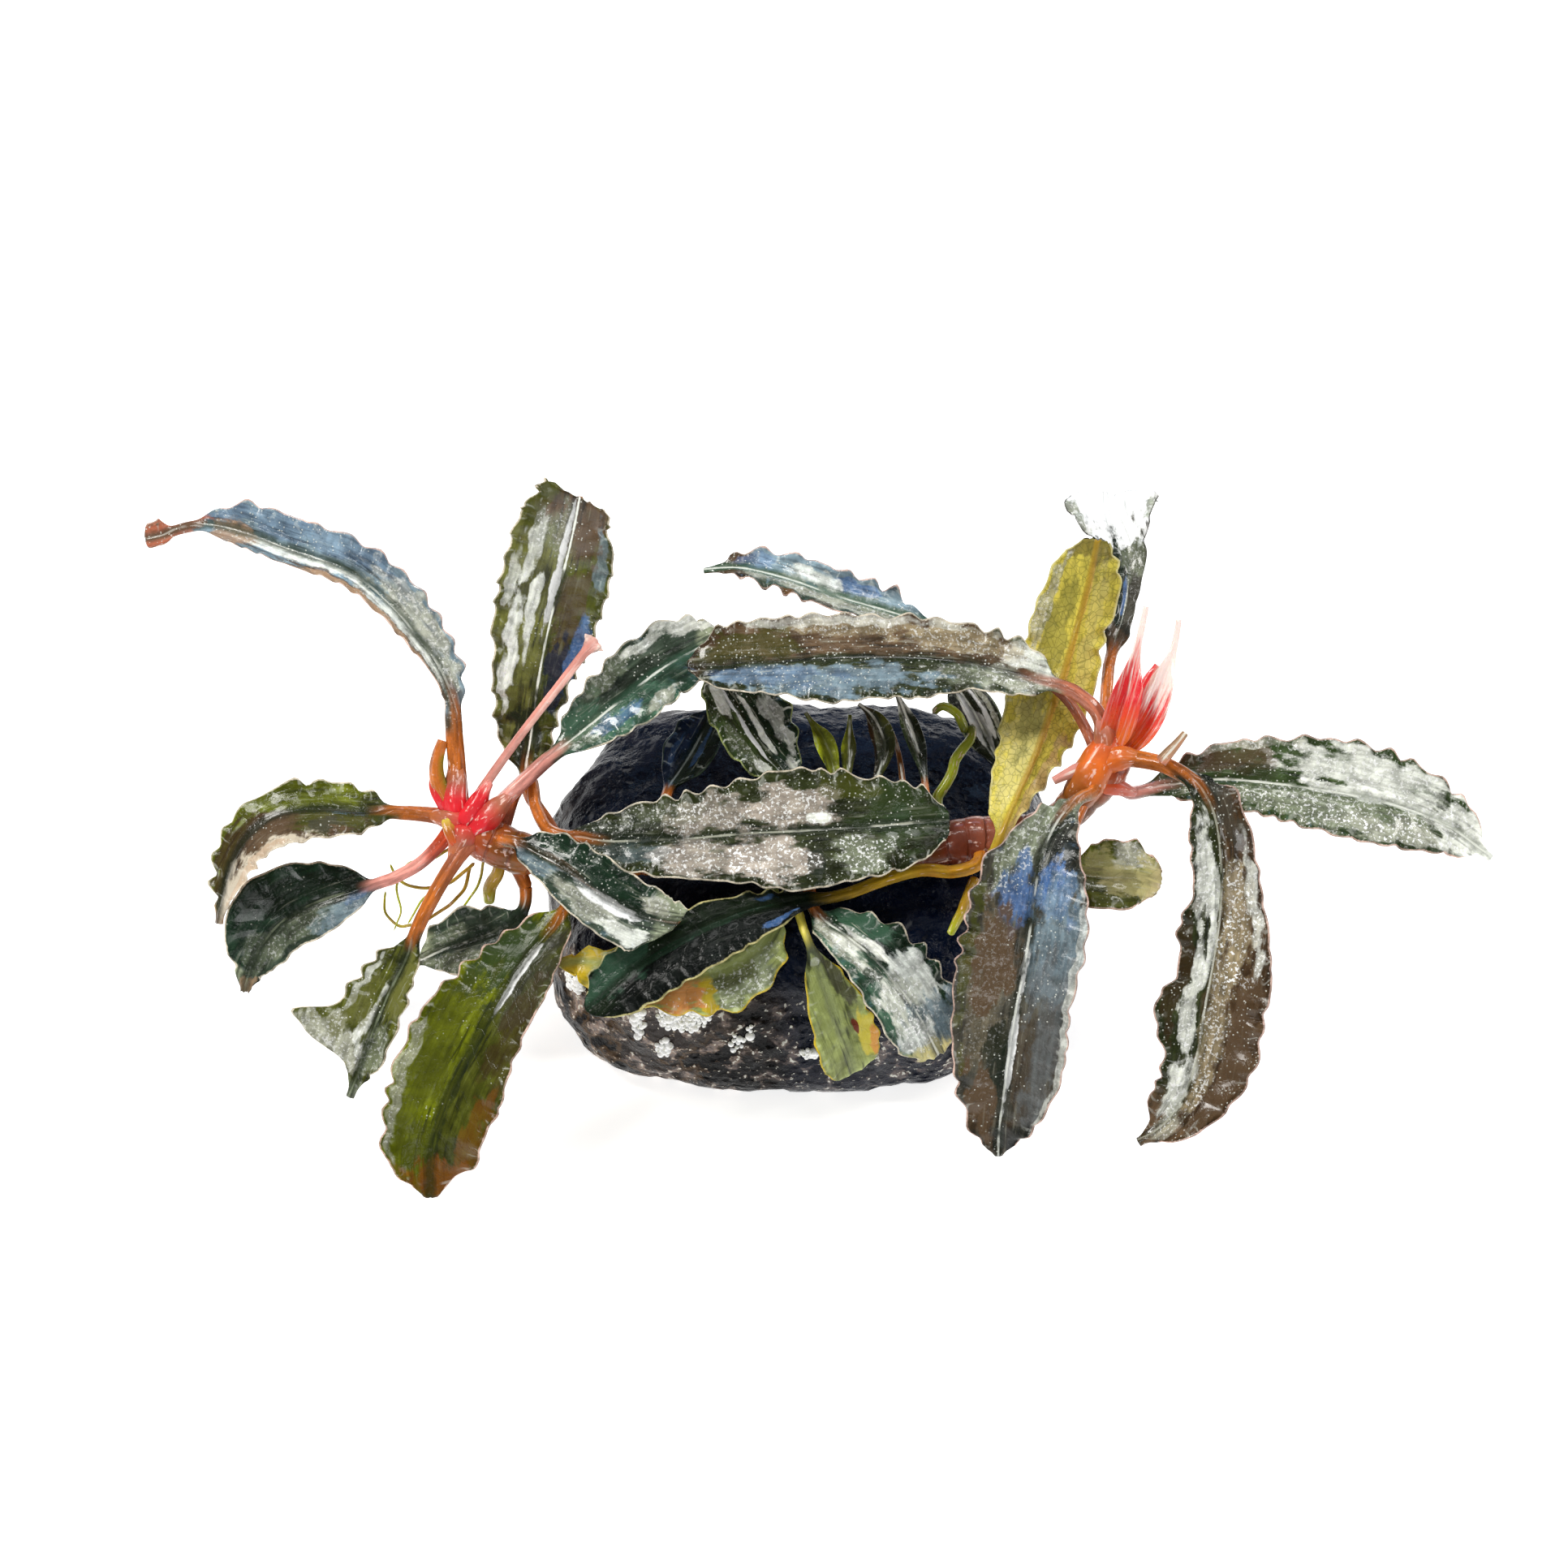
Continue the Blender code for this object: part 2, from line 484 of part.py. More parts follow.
def add_middle_leaves(group):
    leaf(group, "leaf_centre_large", SILVER, [
        (-26.4, -5.4, 0.6, 0, 0),
        (-25.4, -2.4, -0.3, 0, 0),
        (-24.3, 0.3, -0.2, 0, 0),
        (-23.5, 0.5, 0.4, 0, 0),
        (-23.1, -1.6, 1.5, 0, 0),
        (-22.3, -3.6, 3.0, 0, 0),
        (-21.3, -4.5, 3.9, 0, 0),
        (-20.2, -4.8, 4.2, 0.7, 0.7),
        (-19.0, -4.9, 4.3, 1.3, 1.2),
        (-16.2, -5.3, 4.6, 2.7, 2.6),
        (-12.4, -5.2, 5.0, 3.8, 3.7),
        (-8.0, -5.0, 5.3, 4.4, 4.4),
        (-3.4, -4.6, 5.5, 5.2, 5.3),
        (1.0, -4.4, 5.6, 6.0, 6.2),
        (5.6, -4.1, 5.5, 5.4, 5.6),
        (10.0, -3.8, 5.2, 4.4, 4.8),
        (13.6, -3.5, 4.8, 3.3, 3.5),
        (15.3, -3.4, 4.6, 1.7, 2.2),
    ], face=HALFWAY, channel=5, curl=8)
    leaf(group, "leaf_across_top", BROWN, [
        (29.6, 2.8, 1.4, 0, 0),
        (29.5, 5.2, 3.0, 0, 0),
        (28.4, 7.4, 3.6, 0, 0),
        (26.2, 8.8, 3.6, 0, 0),
        (25.0, 9.2, 3.6, 1.0, 1.0),
        (22.0, 10.1, 3.5, 2.3, 2.9),
        (17.6, 11.1, 3.4, 2.9, 3.5),
        (13.0, 11.6, 3.4, 4.3, 3.9),
        (8.6, 11.7, 3.4, 4.4, 4.0),
        (4.0, 11.6, 3.4, 4.8, 4.2),
        (-0.4, 11.3, 3.3, 3.6, 4.2),
        (-5.0, 11.1, 3.1, 2.9, 3.8),
        (-7.6, 11.0, 2.9, 2.0, 2.7),
        (-8.9, 10.9, 2.7, 0.8, 0.9),
    ], face=HALFWAY, channel=6, curl=14)
    leaf(group, "leaf_back_centre", BLUE_GREY, [
        (29.2, 2.2, 1.2, 0, 0),
        (27.6, 5.6, -0.2, 0, 0),
        (25.4, 8.6, -0.1, 0, 0),
        (21.4, 11.0, 0.1, 0, 0),
        (17.0, 13.0, 0.0, 0, 0),
        (13.2, 14.8, -0.4, 0.9, 0.9),
        (8.6, 16.2, -0.7, 2.6, 2.3),
        (4.8, 17.3, -0.9, 3.0, 2.5),
        (1.8, 18.4, -1.1, 2.9, 2.6),
        (-1.2, 19.3, -1.4, 2.5, 2.3),
        (-4.2, 19.9, -1.8, 1.7, 1.7),
        (-7.4, 19.7, -2.2, 0.4, 0.4),
    ], channel=24, curl=10, stalk=0.5)
    leaf(group, "leaf_middle_green", DARK_GREEN, [
        (2.6, -6.4, 1.5, 0, 0),
        (2.0, -3.2, 0.6, 0, 0),
        (1.4, -1.0, -0.4, 0, 0),
        (0.4, 0.6, -1.2, 1.6, 1.6),
        (-1.2, 2.4, -1.8, 3.0, 3.2),
        (-2.8, 4.6, -2.4, 3.4, 4.2),
        (-4.4, 7.2, -2.8, 3.3, 4.0),
        (-6.0, 9.6, -3.2, 2.4, 2.8),
        (-7.2, 11.3, -3.4, 0.7, 0.7),
    ], channel=10)
    leaf(group, "leaf_middle_blue", NIGHT_BLUE, [
        (-11.2, -6.9, 1.8, 0, 0),
        (-11.0, -4.0, 0.4, 0, 0),
        (-10.9, -1.4, -1.4, 0, 0),
        (-10.4, 0.0, -2.4, 1.2, 1.2),
        (-9.2, 1.8, -3.6, 2.3, 2.2),
        (-8.0, 3.8, -5.0, 2.6, 2.4),
        (-7.0, 5.8, -6.2, 1.8, 1.8),
        (-6.4, 7.2, -7.0, 0.5, 0.5),
    ], channel=14, ruffle=0.5)
    leaf(group, "leaf_narrow_dark", DARK_GREEN, [
        (13.4, -6.0, 1.0, 0, 0),
        (13.3, -2.8, 0.6, 0, 0),
        (13.1, -0.6, -0.2, 0, 0),
        (12.9, 1.0, -0.8, 0.7, 0.7),
        (12.3, 3.4, -1.6, 1.2, 1.2),
        (11.2, 6.4, -2.4, 1.1, 1.1),
        (10.4, 8.4, -2.8, 0.3, 0.3),
    ], channel=20, ruffle=0, stalk=0.4)
    leaf(group, "leaf_striped_dark", NIGHT_BLUE, [
        (20.6, -4.9, 0.2, 0, 0),
        (20.8, -2.6, -2.4, 0, 0),
        (20.4, 0.0, -3.0, 0, 0),
        (20.0, 1.4, -3.4, 0.8, 0.8),
        (18.9, 3.8, -4.0, 1.8, 1.8),
        (17.6, 6.5, -4.6, 2.2, 2.2),
        (16.1, 8.7, -5.2, 1.6, 1.6),
        (15.2, 10.0, -5.6, 0.4, 0.4),
    ], channel=12, ruffle=0)
    leaf(group, "leaf_tall_yellow", STRAW, [
        (19.3, -7.3, 1.4, 0, 0),
        (19.5, -6.4, 3.0, 0, 0),
        (20.0, -5.0, 3.6, 0.6, 0.8),
        (20.6, -3.4, 3.2, 0.9, 1.8),
        (21.9, -0.3, 2.0, 1.7, 3.0),
        (23.2, 2.7, 0.6, 2.4, 3.7),
        (24.5, 6.5, -1.0, 3.3, 4.3),
        (25.8, 10.2, -2.0, 3.3, 4.1),
        (26.9, 14.0, -1.8, 2.8, 4.4),
        (27.9, 17.7, -0.8, 3.2, 3.9),
        (28.6, 20.7, 0.6, 2.5, 3.1),
        (29.0, 22.6, 1.6, 1.4, 1.6),
    ], face=BACKWARD, channel=8, curl=8)
    leaf(group, "young_leaf_yellow_left", STRAW, [
        (5.0, -6.5, 1.5, 0, 0),
        (5.1, -2.4, 0.9, 0, 0),
        (4.8, 0.4, 0.2, 0.5, 0.5),
        (3.9, 3.6, -0.6, 1.0, 1.0),
        (2.8, 5.4, -1.0, 0.6, 0.6),
        (2.0, 6.6, -1.2, 0.15, 0.15),
    ], face=FORWARD, channel=25, ruffle=0, stalk=0.35)
    leaf(group, "young_leaf_yellow_right", STRAW, [
        (6.6, -6.4, 1.4, 0, 0),
        (6.4, -2.4, 0.2, 0, 0),
        (5.9, 0.6, -0.6, 0.5, 0.5),
        (6.0, 3.6, -1.4, 0.9, 0.9),
        (6.1, 6.4, -1.8, 0.2, 0.2),
    ], face=FORWARD, channel=25, ruffle=0, stalk=0.35)
    leaf(group, "young_leaf_curved", BROWN, [
        (8.8, -6.2, 1.3, 0, 0),
        (8.6, -2.4, 0.6, 0, 0),
        (8.6, 0.4, -0.2, 0.5, 0.5),
        (9.2, 3.4, -1.0, 0.9, 0.9),
        (8.4, 6.0, -1.6, 0.8, 0.8),
        (6.9, 7.4, -2.0, 0.2, 0.2),
    ], face=FORWARD, channel=20, ruffle=0, stalk=0.35)
    leaf(group, "young_shoot_orange", ORANGE, [
        (11.2, -6.1, 1.1, 0, 0),
        (11.2, -2.8, 0.2, 0.3, 0.3),
        (11.0, 0.0, -1.2, 0.6, 0.6),
        (10.6, 2.8, -2.2, 0.5, 0.5),
        (10.0, 4.8, -2.6, 0.15, 0.15),
    ], face=FORWARD, channel=20, ruffle=0, stalk=0.35)


def add_front_leaves(group):
    leaf(group, "leaf_front_centre", GREY_GREEN, [
        (2.2, -6.5, 1.5, 0, 0),
        (2.2, -9.0, 3.4, 0, 0),
        (2.5, -10.9, 4.4, 0, 0),
        (3.3, -12.3, 5.4, 1.4, 1.4),
        (5.4, -13.8, 6.8, 3.0, 2.6),
        (8.0, -15.9, 7.8, 4.0, 3.5),
        (10.2, -18.3, 8.0, 4.4, 4.2),
        (12.2, -21.1, 7.4, 4.4, 4.4),
        (13.4, -23.4, 6.6, 4.2, 3.8),
        (14.2, -25.0, 6.0, 2.6, 2.6),
    ], channel=8, curl=6)
    leaf(group, "leaf_front_long", DARK_GREEN, [
        (18.2, -5.2, 0.3, 0, 0),
        (17.4, -8.0, 3.2, 0, 0),
        (13.2, -7.9, 4.0, 0, 0),
        (9.4, -8.8, 4.4, 0, 0),
        (6.2, -10.0, 5.2, 0, 0),
        (4.2, -10.5, 5.8, 0.8, 0.7),
        (1.0, -10.8, 6.3, 1.6, 1.2),
        (-3.5, -11.8, 6.9, 3.2, 1.8),
        (-8.0, -13.6, 7.7, 3.9, 2.5),
        (-11.8, -15.7, 8.3, 4.0, 2.8),
        (-14.8, -18.0, 8.5, 3.6, 2.8),
        (-16.9, -19.9, 8.4, 2.6, 2.2),
        (-18.2, -21.0, 8.2, 1.2, 1.0),
    ], face=HALFWAY, channel=6, curl=-6)
    leaf(group, "leaf_front_small", PALE_GREEN, [
        (0.2, -6.6, 1.6, 0, 0),
        (0.8, -9.8, 3.4, 0, 0),
        (1.8, -13.4, 5.4, 0, 0),
        (2.5, -15.2, 6.0, 0.8, 0.8),
        (3.3, -17.6, 5.8, 1.9, 1.7),
        (4.1, -20.0, 5.0, 2.9, 2.5),
        (5.0, -22.6, 3.8, 3.5, 3.1),
        (5.9, -25.0, 2.6, 3.6, 3.4),
        (6.4, -26.7, 1.6, 3.0, 2.6),
    ], channel=10, ruffle=0.6, stalk=0.45)
    leaf(group, "leaf_old_yellow", STRAW, [
        (-1.6, -6.7, 1.6, 0, 0),
        (-0.9, -9.8, 3.2, 0, 0),
        (-0.7, -12.2, 4.4, 0.7, 0.7),
        (-1.9, -14.6, 5.4, 2.6, 1.2),
        (-4.8, -16.9, 5.9, 3.9, 1.6),
        (-8.6, -17.8, 6.0, 3.7, 1.8),
        (-12.4, -17.6, 5.8, 3.2, 1.8),
        (-16.0, -16.8, 5.3, 2.7, 1.6),
        (-18.8, -16.4, 4.8, 2.3, 1.3),
        (-20.8, -16.6, 4.2, 0.8, 0.6),
    ], face=FORWARD, face_tip=HALFWAY, channel=6, ruffle=0.8, stalk=0.4)


def add_right_leaves(group):
    leaf(group, "leaf_back_right", GREY_GREEN, [
        (29.4, 2.6, 0.8, 0, 0),
        (29.8, 5.6, -1.6, 0, 0),
        (29.8, 8.6, -3.0, 0, 0),
        (30.1, 11.2, -4.4, 0, 0),
        (30.6, 13.2, -5.7, 1.4, 1.4),
        (31.4, 15.6, -7.0, 1.3, 1.3),
        (31.9, 19.0, -8.5, 1.6, 1.5),
        (31.6, 21.8, -9.8, 2.4, 2.0),
        (30.8, 24.2, -11.3, 4.1, 3.7),
        (30.5, 25.6, -12.4, 5.1, 4.6),
        (30.4, 26.8, -13.4, 4.8, 4.4),
    ], face=FORWARD, face_tip=SKYWARD, channel=16, curl=10)
    leaf(group, "leaf_right_long", GREY_GREEN, [
        (29.6, 0.4, 1.2, 0, 0),
        (32.2, -0.8, 0.2, 0, 0),
        (33.4, -0.6, -0.2, 0.9, 0.9),
        (35.6, -0.1, -0.8, 1.7, 1.5),
        (40.0, 0.4, -1.4, 3.3, 2.8),
        (44.6, 0.1, -1.6, 4.3, 3.5),
        (49.0, -0.5, -1.8, 4.9, 4.2),
        (53.6, -1.3, -2.2, 5.0, 4.6),
        (58.0, -2.5, -3.0, 4.2, 4.1),
        (61.8, -4.2, -4.0, 2.9, 2.8),
        (64.0, -5.8, -4.8, 1.4, 1.3),
        (65.3, -6.8, -5.4, 0.3, 0.3),
    ], face=HALFWAY, channel=8, curl=6)
    leaf(group, "leaf_right_drooping", BROWN, [
        (30.2, 2.2, 1.4, 0, 0),
        (32.4, 2.4, 4.0, 0, 0),
        (34.2, 2.1, 4.8, 0, 0),
        (36.0, 1.4, 5.4, 0, 0),
        (37.2, 0.7, 5.8, 1.0, 1.0),
        (38.8, -0.8, 6.0, 2.0, 1.8),
        (39.8, -3.0, 5.9, 2.9, 2.8),
        (40.3, -6.3, 5.4, 3.3, 2.9),
        (40.4, -10.0, 4.8, 4.0, 2.7),
        (40.1, -13.8, 4.2, 5.2, 3.8),
        (39.5, -17.6, 3.6, 6.2, 3.1),
        (38.8, -21.3, 3.2, 6.0, 4.7),
        (38.2, -25.0, 2.8, 6.0, 3.3),
        (37.2, -28.4, 2.4, 4.9, 2.9),
        (35.6, -31.0, 2.0, 3.4, 2.9),
        (33.8, -32.5, 1.6, 1.4, 1.4),
        (32.8, -33.1, 1.4, 0.5, 0.5),
    ], channel=10, curl=8, stalk=0.8)
    leaf(group, "leaf_front_right_large", BROWN, [
        (29.2, 1.0, 1.2, 0, 0),
        (28.4, -0.9, 4.4, 0, 0),
        (27.0, -1.6, 6.0, 1.0, 1.0),
        (25.2, -3.6, 7.6, 2.4, 2.4),
        (23.8, -6.9, 9.0, 4.1, 4.4),
        (23.2, -10.1, 9.6, 5.1, 5.8),
        (22.7, -13.8, 9.9, 5.6, 6.1),
        (22.1, -17.6, 9.6, 5.4, 6.3),
        (21.5, -20.6, 8.9, 5.4, 6.1),
        (20.9, -24.3, 7.8, 5.6, 5.5),
        (20.4, -28.1, 6.4, 4.9, 4.6),
        (20.0, -31.1, 5.2, 3.4, 3.3),
        (19.8, -33.3, 4.2, 1.9, 2.0),
        (19.8, -34.3, 3.7, 0.8, 0.8),
    ], channel=8, curl=6)
    leaf(group, "bract_crown_right", PINK, [
        (28.4, 1.6, 1.8, 0.3, 0.3),
        (27.2, 1.5, 3.0, 0.8, 0.8),
        (26.0, 1.1, 3.2, 0.6, 0.6),
        (24.9, 0.6, 3.3, 0.15, 0.15),
    ], face=FORWARD, channel=20, ruffle=0, stalk=0.3)
    leaf(group, "leaf_right_small", OLIVE, [
        (28.4, -0.2, 1.0, 0, 0),
        (28.0, -2.8, 3.4, 0, 0),
        (27.2, -5.6, 3.6, 0, 0),
        (27.9, -7.7, 3.6, 0.8, 0.8),
        (29.4, -8.4, 3.4, 2.6, 2.6),
        (31.6, -8.6, 3.0, 3.5, 3.4),
        (33.6, -8.8, 2.6, 2.9, 2.9),
        (34.8, -9.2, 2.2, 1.3, 1.6),
    ], face=HALFWAY, channel=10, stalk=0.4)
    leaf(group, "bract_right", BROWN, [
        (35.2, 2.4, 7.0, 0.3, 0.3),
        (35.8, 3.2, 7.2, 0.5, 0.5),
        (36.5, 4.0, 7.2, 0.35, 0.35),
        (37.1, 4.7, 7.1, 0.12, 0.12),
    ], face=FORWARD, channel=20, ruffle=0, stalk=0.25, free=True)


def add_bud(group):
    leaf(group, "bud_sheath_left", RED, [
        (30.6, 4.6, 2.2, 1.0, 1.0),
        (31.1, 6.4, 3.0, 1.5, 1.5),
        (31.7, 8.2, 3.3, 1.5, 1.5),
        (32.3, 11.0, 3.4, 0.9, 0.9),
        (32.9, 13.6, 3.4, 0.5, 0.5),
        (33.5, 16.4, 3.4, 0.15, 0.15),
    ], face=FORWARD, channel=38, ruffle=0, stalk=0.5)
    leaf(group, "bud_sheath_right", RED, [
        (31.9, 4.6, 1.8, 0.9, 0.9),
        (33.4, 5.9, 2.0, 1.3, 1.3),
        (34.8, 8.0, 2.1, 1.2, 1.2),
        (35.6, 10.8, 2.2, 0.8, 0.8),
        (36.2, 13.0, 2.2, 0.4, 0.4),
        (36.5, 15.2, 2.2, 0.15, 0.15),
    ], face=FORWARD, channel=38, ruffle=0, stalk=0.5)
    leaf(group, "bud_core", RED, [
        (31.4, 5.2, 1.0, 0.5, 0.5),
        (32.2, 6.8, 0.6, 0.8, 0.8),
        (33.1, 8.6, 0.5, 0.9, 0.9),
        (34.0, 10.2, 0.5, 0.9, 0.9),
        (34.5, 11.0, 0.5, 0.4, 0.4),
    ], face=FORWARD, channel=30, ruffle=0, stalk=0.5)


def add_roots(group):
    tube(group, "root_left_hooked", STRAW, [
        (-28.6, -7.2, -0.4, 0.35),
        (-30.6, -8.9, -1.2, 0.35),
        (-33.4, -9.6, -1.8, 0.32),
        (-35.6, -8.9, -2.2, 0.3),
        (-36.4, -7.4, -2.2, 0.22),
    ], step=1.4)
    tube(group, "root_left_short", STRAW, [
        (-26.6, -8.6, -0.2, 0.6),
        (-27.2, -9.8, -1.4, 0.6),
        (-27.2, -11.0, -2.6, 0.5),
    ], step=0.9)
    tube(group, "root_left_wandering", STRAW, [
        (-29.0, -7.4, -2.0, 0.35),
        (-29.8, -10.0, -3.0, 0.35),
        (-32.4, -12.2, -3.6, 0.32),
        (-35.2, -13.2, -3.8, 0.3),
        (-36.8, -11.8, -4.0, 0.26),
        (-36.8, -9.8, -4.4, 0.2),
    ], step=1.4)
    tube(group, "root_middle_green", PALE_GREEN, [
        (14.4, -3.4, -1.4, 0.42),
        (14.4, -1.2, -2.4, 0.42),
        (15.3, 1.2, -2.6, 0.4),
        (16.6, 3.8, -2.6, 0.38),
        (17.4, 5.6, -2.6, 0.3),
    ], step=1.4)
    tube(group, "root_middle_green_branch", PALE_GREEN, [
        (16.2, 5.2, -2.6, 0.34),
        (15.2, 6.8, -2.8, 0.32),
        (13.8, 7.0, -3.0, 0.25),
    ], step=1.0)
    tube(group, "root_front_yellow", STRAW, [
        (17.6, -8.6, 1.2, 0.5),
        (16.8, -10.8, 2.6, 0.5),
        (16.1, -12.6, 4.2, 0.45),
        (15.3, -14.0, 5.2, 0.35),
    ], step=1.2)


def main():
    clear_scene()
    plant = plant_collection()
    add_stone(plant)
    add_rhizome(plant)
    add_left_leaves(plant)
    add_middle_leaves(plant)
    add_front_leaves(plant)
    add_right_leaves(plant)
    add_bud(plant)
    add_roots(plant)


if __name__ == "__main__":
    main()
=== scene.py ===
"""A bucephalandra rooted on a dark wet stone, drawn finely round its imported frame.

The tables are in millimetres, laid out as the plant is seen from the front by someone who
looks down on it: how far across, how far up the view, and how far towards the viewer.
The meshes are in metres, with +Z up, and the origin is the middle of the stone's underside.
"""

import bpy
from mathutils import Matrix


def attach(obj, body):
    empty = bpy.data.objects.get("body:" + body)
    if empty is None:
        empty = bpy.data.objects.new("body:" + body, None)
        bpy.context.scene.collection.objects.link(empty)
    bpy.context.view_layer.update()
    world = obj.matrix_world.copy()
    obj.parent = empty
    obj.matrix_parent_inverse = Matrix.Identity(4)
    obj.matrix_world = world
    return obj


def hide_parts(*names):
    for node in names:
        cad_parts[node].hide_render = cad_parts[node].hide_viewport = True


bl_info = {
    "name": "Bucephalandra on a stone",
    "version": (1, 0, 0),
    "blender": (4, 5, 0),
    "location": "3D View > Sidebar > Bucephalandra",
    "description": "Grows the plant's leaves, stems, bud and roots on their stone",
    "category": "Add Mesh",
}

import math
from dataclasses import dataclass

import bmesh
import bpy
import numpy as np
from mathutils import Vector, noise
from mathutils.bvhtree import BVHTree

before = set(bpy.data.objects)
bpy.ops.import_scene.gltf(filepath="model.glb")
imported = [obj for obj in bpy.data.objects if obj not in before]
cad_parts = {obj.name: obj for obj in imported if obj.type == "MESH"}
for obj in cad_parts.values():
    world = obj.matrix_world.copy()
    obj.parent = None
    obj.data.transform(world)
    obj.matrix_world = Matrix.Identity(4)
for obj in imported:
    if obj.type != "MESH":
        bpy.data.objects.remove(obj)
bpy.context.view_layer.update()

MM = 0.001

# The view in which the plant is laid out
LOOK_DOWN = math.radians(50.0)
LOOK_AT = np.array((-1.5, 0.0, 25.4))
LOOK_FROM = 500.0
VIEW_WIDTH = 144.9
SENSOR_WIDTH = 36.0
ACROSS = np.array((1.0, 0.0, 0.0))
UP_THE_VIEW = np.array((0.0, math.sin(LOOK_DOWN), math.cos(LOOK_DOWN)))
TOWARDS = np.array((0.0, -math.cos(LOOK_DOWN), math.sin(LOOK_DOWN)))

# Which way a leaf's upper side faces, in the view's own directions
SKYWARD = (0.0, math.cos(LOOK_DOWN), math.sin(LOOK_DOWN))
FORWARD = (0.0, 0.0, 1.0)
HALFWAY = (0.0, 0.34, 0.94)
BACKWARD = (0.0, 0.0, -1.0)
LEFTWARD = (-0.7, 0.25, 0.7)
RIGHTWARD = (0.5, 0.1, 0.86)

# How a leaf is divided: coarse steps of the solid part, and the fine steps within each
COARSE_STALK_STEP = 3.0
COARSE_BLADE_STEP = 1.5
FINE_STEPS = 5
ROUND_TO_FLAT = 1.5
REACHES = (1.0, 0.97, 0.9, 0.8, 0.68, 0.55, 0.42, 0.3, 0.19, 0.09, 0.0)
CURL_STEPS = 8

# How a leaf's surface is worked, in millimetres and shares
SIDE_VEIN_SLANT = 0.8
MIDRIB_TAPER = 0.6
MIDRIB_PLEAT_WIDTH = 0.32
SIDE_PLEAT_AT = 1.25
SIDE_PLEAT_WIDTH = 0.3
SIDE_PLEAT_SHARE = 0.45
STALK_TAPER = 0.45
STALK_FLARE_LENGTH = 1.3
STALK_RIDGES = 5
STALK_RIDGE_HEIGHT = 0.05
RUFFLE_DRIFT = 2.6
RUFFLE_START = 2.5
FRAY_REACH = 5.0
BLUNT_REACH = 3.0
LEAST_EDGE_SHARE = 0.3

# How round stems are made: steps along them in millimetres, and corners round them
RHIZOME_STEP = 0.3
RHIZOME_SIDES = 40
RING_SPACING = 2.0
ROOT_STEP = 0.25
ROOT_SIDES = 14
HAIR_STEP = 0.3
HAIR_SIDES = 8
HAIR_WANDER = 0.12
COLLAR_STEP = 0.2
COLLAR_SIDES = 36
DOME_SHARE = 0.6

NEARLY_NONE = 1e-6


def length(name, description, millimetres):
    """A length that a user can change, given here in millimetres."""
    return bpy.props.FloatProperty(
        name=name, description=description, default=millimetres * MM, min=0.0,
        unit="LENGTH", subtype="DISTANCE", precision=5,
    )


def share(name, description, default):
    """A share from none to all that a user can change."""
    return bpy.props.FloatProperty(
        name=name, description=description, default=default, min=0.0, max=1.0, subtype="FACTOR",
    )


def colour(name, description, red, green, blue):
    """A colour that a user can change."""
    return bpy.props.FloatVectorProperty(
        name=name, description=description, default=(red, green, blue), size=3,
        min=0.0, max=1.0, subtype="COLOR",
    )


class PlantSizes(bpy.types.PropertyGroup):
    """Sizes of the leaves, the stems and the stone"""

    blade_middle: length("Blade by the midrib", "Thickness of a leaf beside its midrib", 0.42)
    blade_edge: length("Blade at the margin", "Thickness of a leaf near its margin", 0.16)
    keel: length("Midrib depth", "How far the midrib stands out below a leaf", 0.42)
    keel_width: length("Midrib width", "Half the width of the midrib below a leaf", 0.38)
    groove: length("Midrib groove", "Depth of the groove along a leaf's upper side", 0.2)
    ruffle_length: length("Ruffle length", "From one ruffle of a margin to the next", 2.5)
    ruffle_height: length("Ruffle height", "How far a margin rises and falls", 0.46)
    scallop: length("Scallop", "How far the margin's outline goes in and out", 0.2)
    quilt: length("Quilting", "How far the blade bulges between its side veins", 0.035)
    quilt_length: length("Side vein spacing", "From one side vein to the next", 1.9)
    fray: length("Frayed tip", "How ragged a torn leaf tip is", 0.9)
    stalk_flare: share("Stalk flare", "How much wider a stalk is where it leaves the stem", 0.55)
    ring_depth: length("Stem rings", "How deep the scars of old leaves ring the stem", 0.14)
    root_plumpness: share("Left roots", "Thickness of the left roots, as a share of the solids'", 0.5)
    root_wander: length("Root wander", "How far a root strays from its line", 0.1)
    stone_grain: length("Stone grain", "Depth of the stone's small hollows", 0.5)
    bead_size: length("Bead size", "Radius of the largest pale beads on the stone", 0.42)


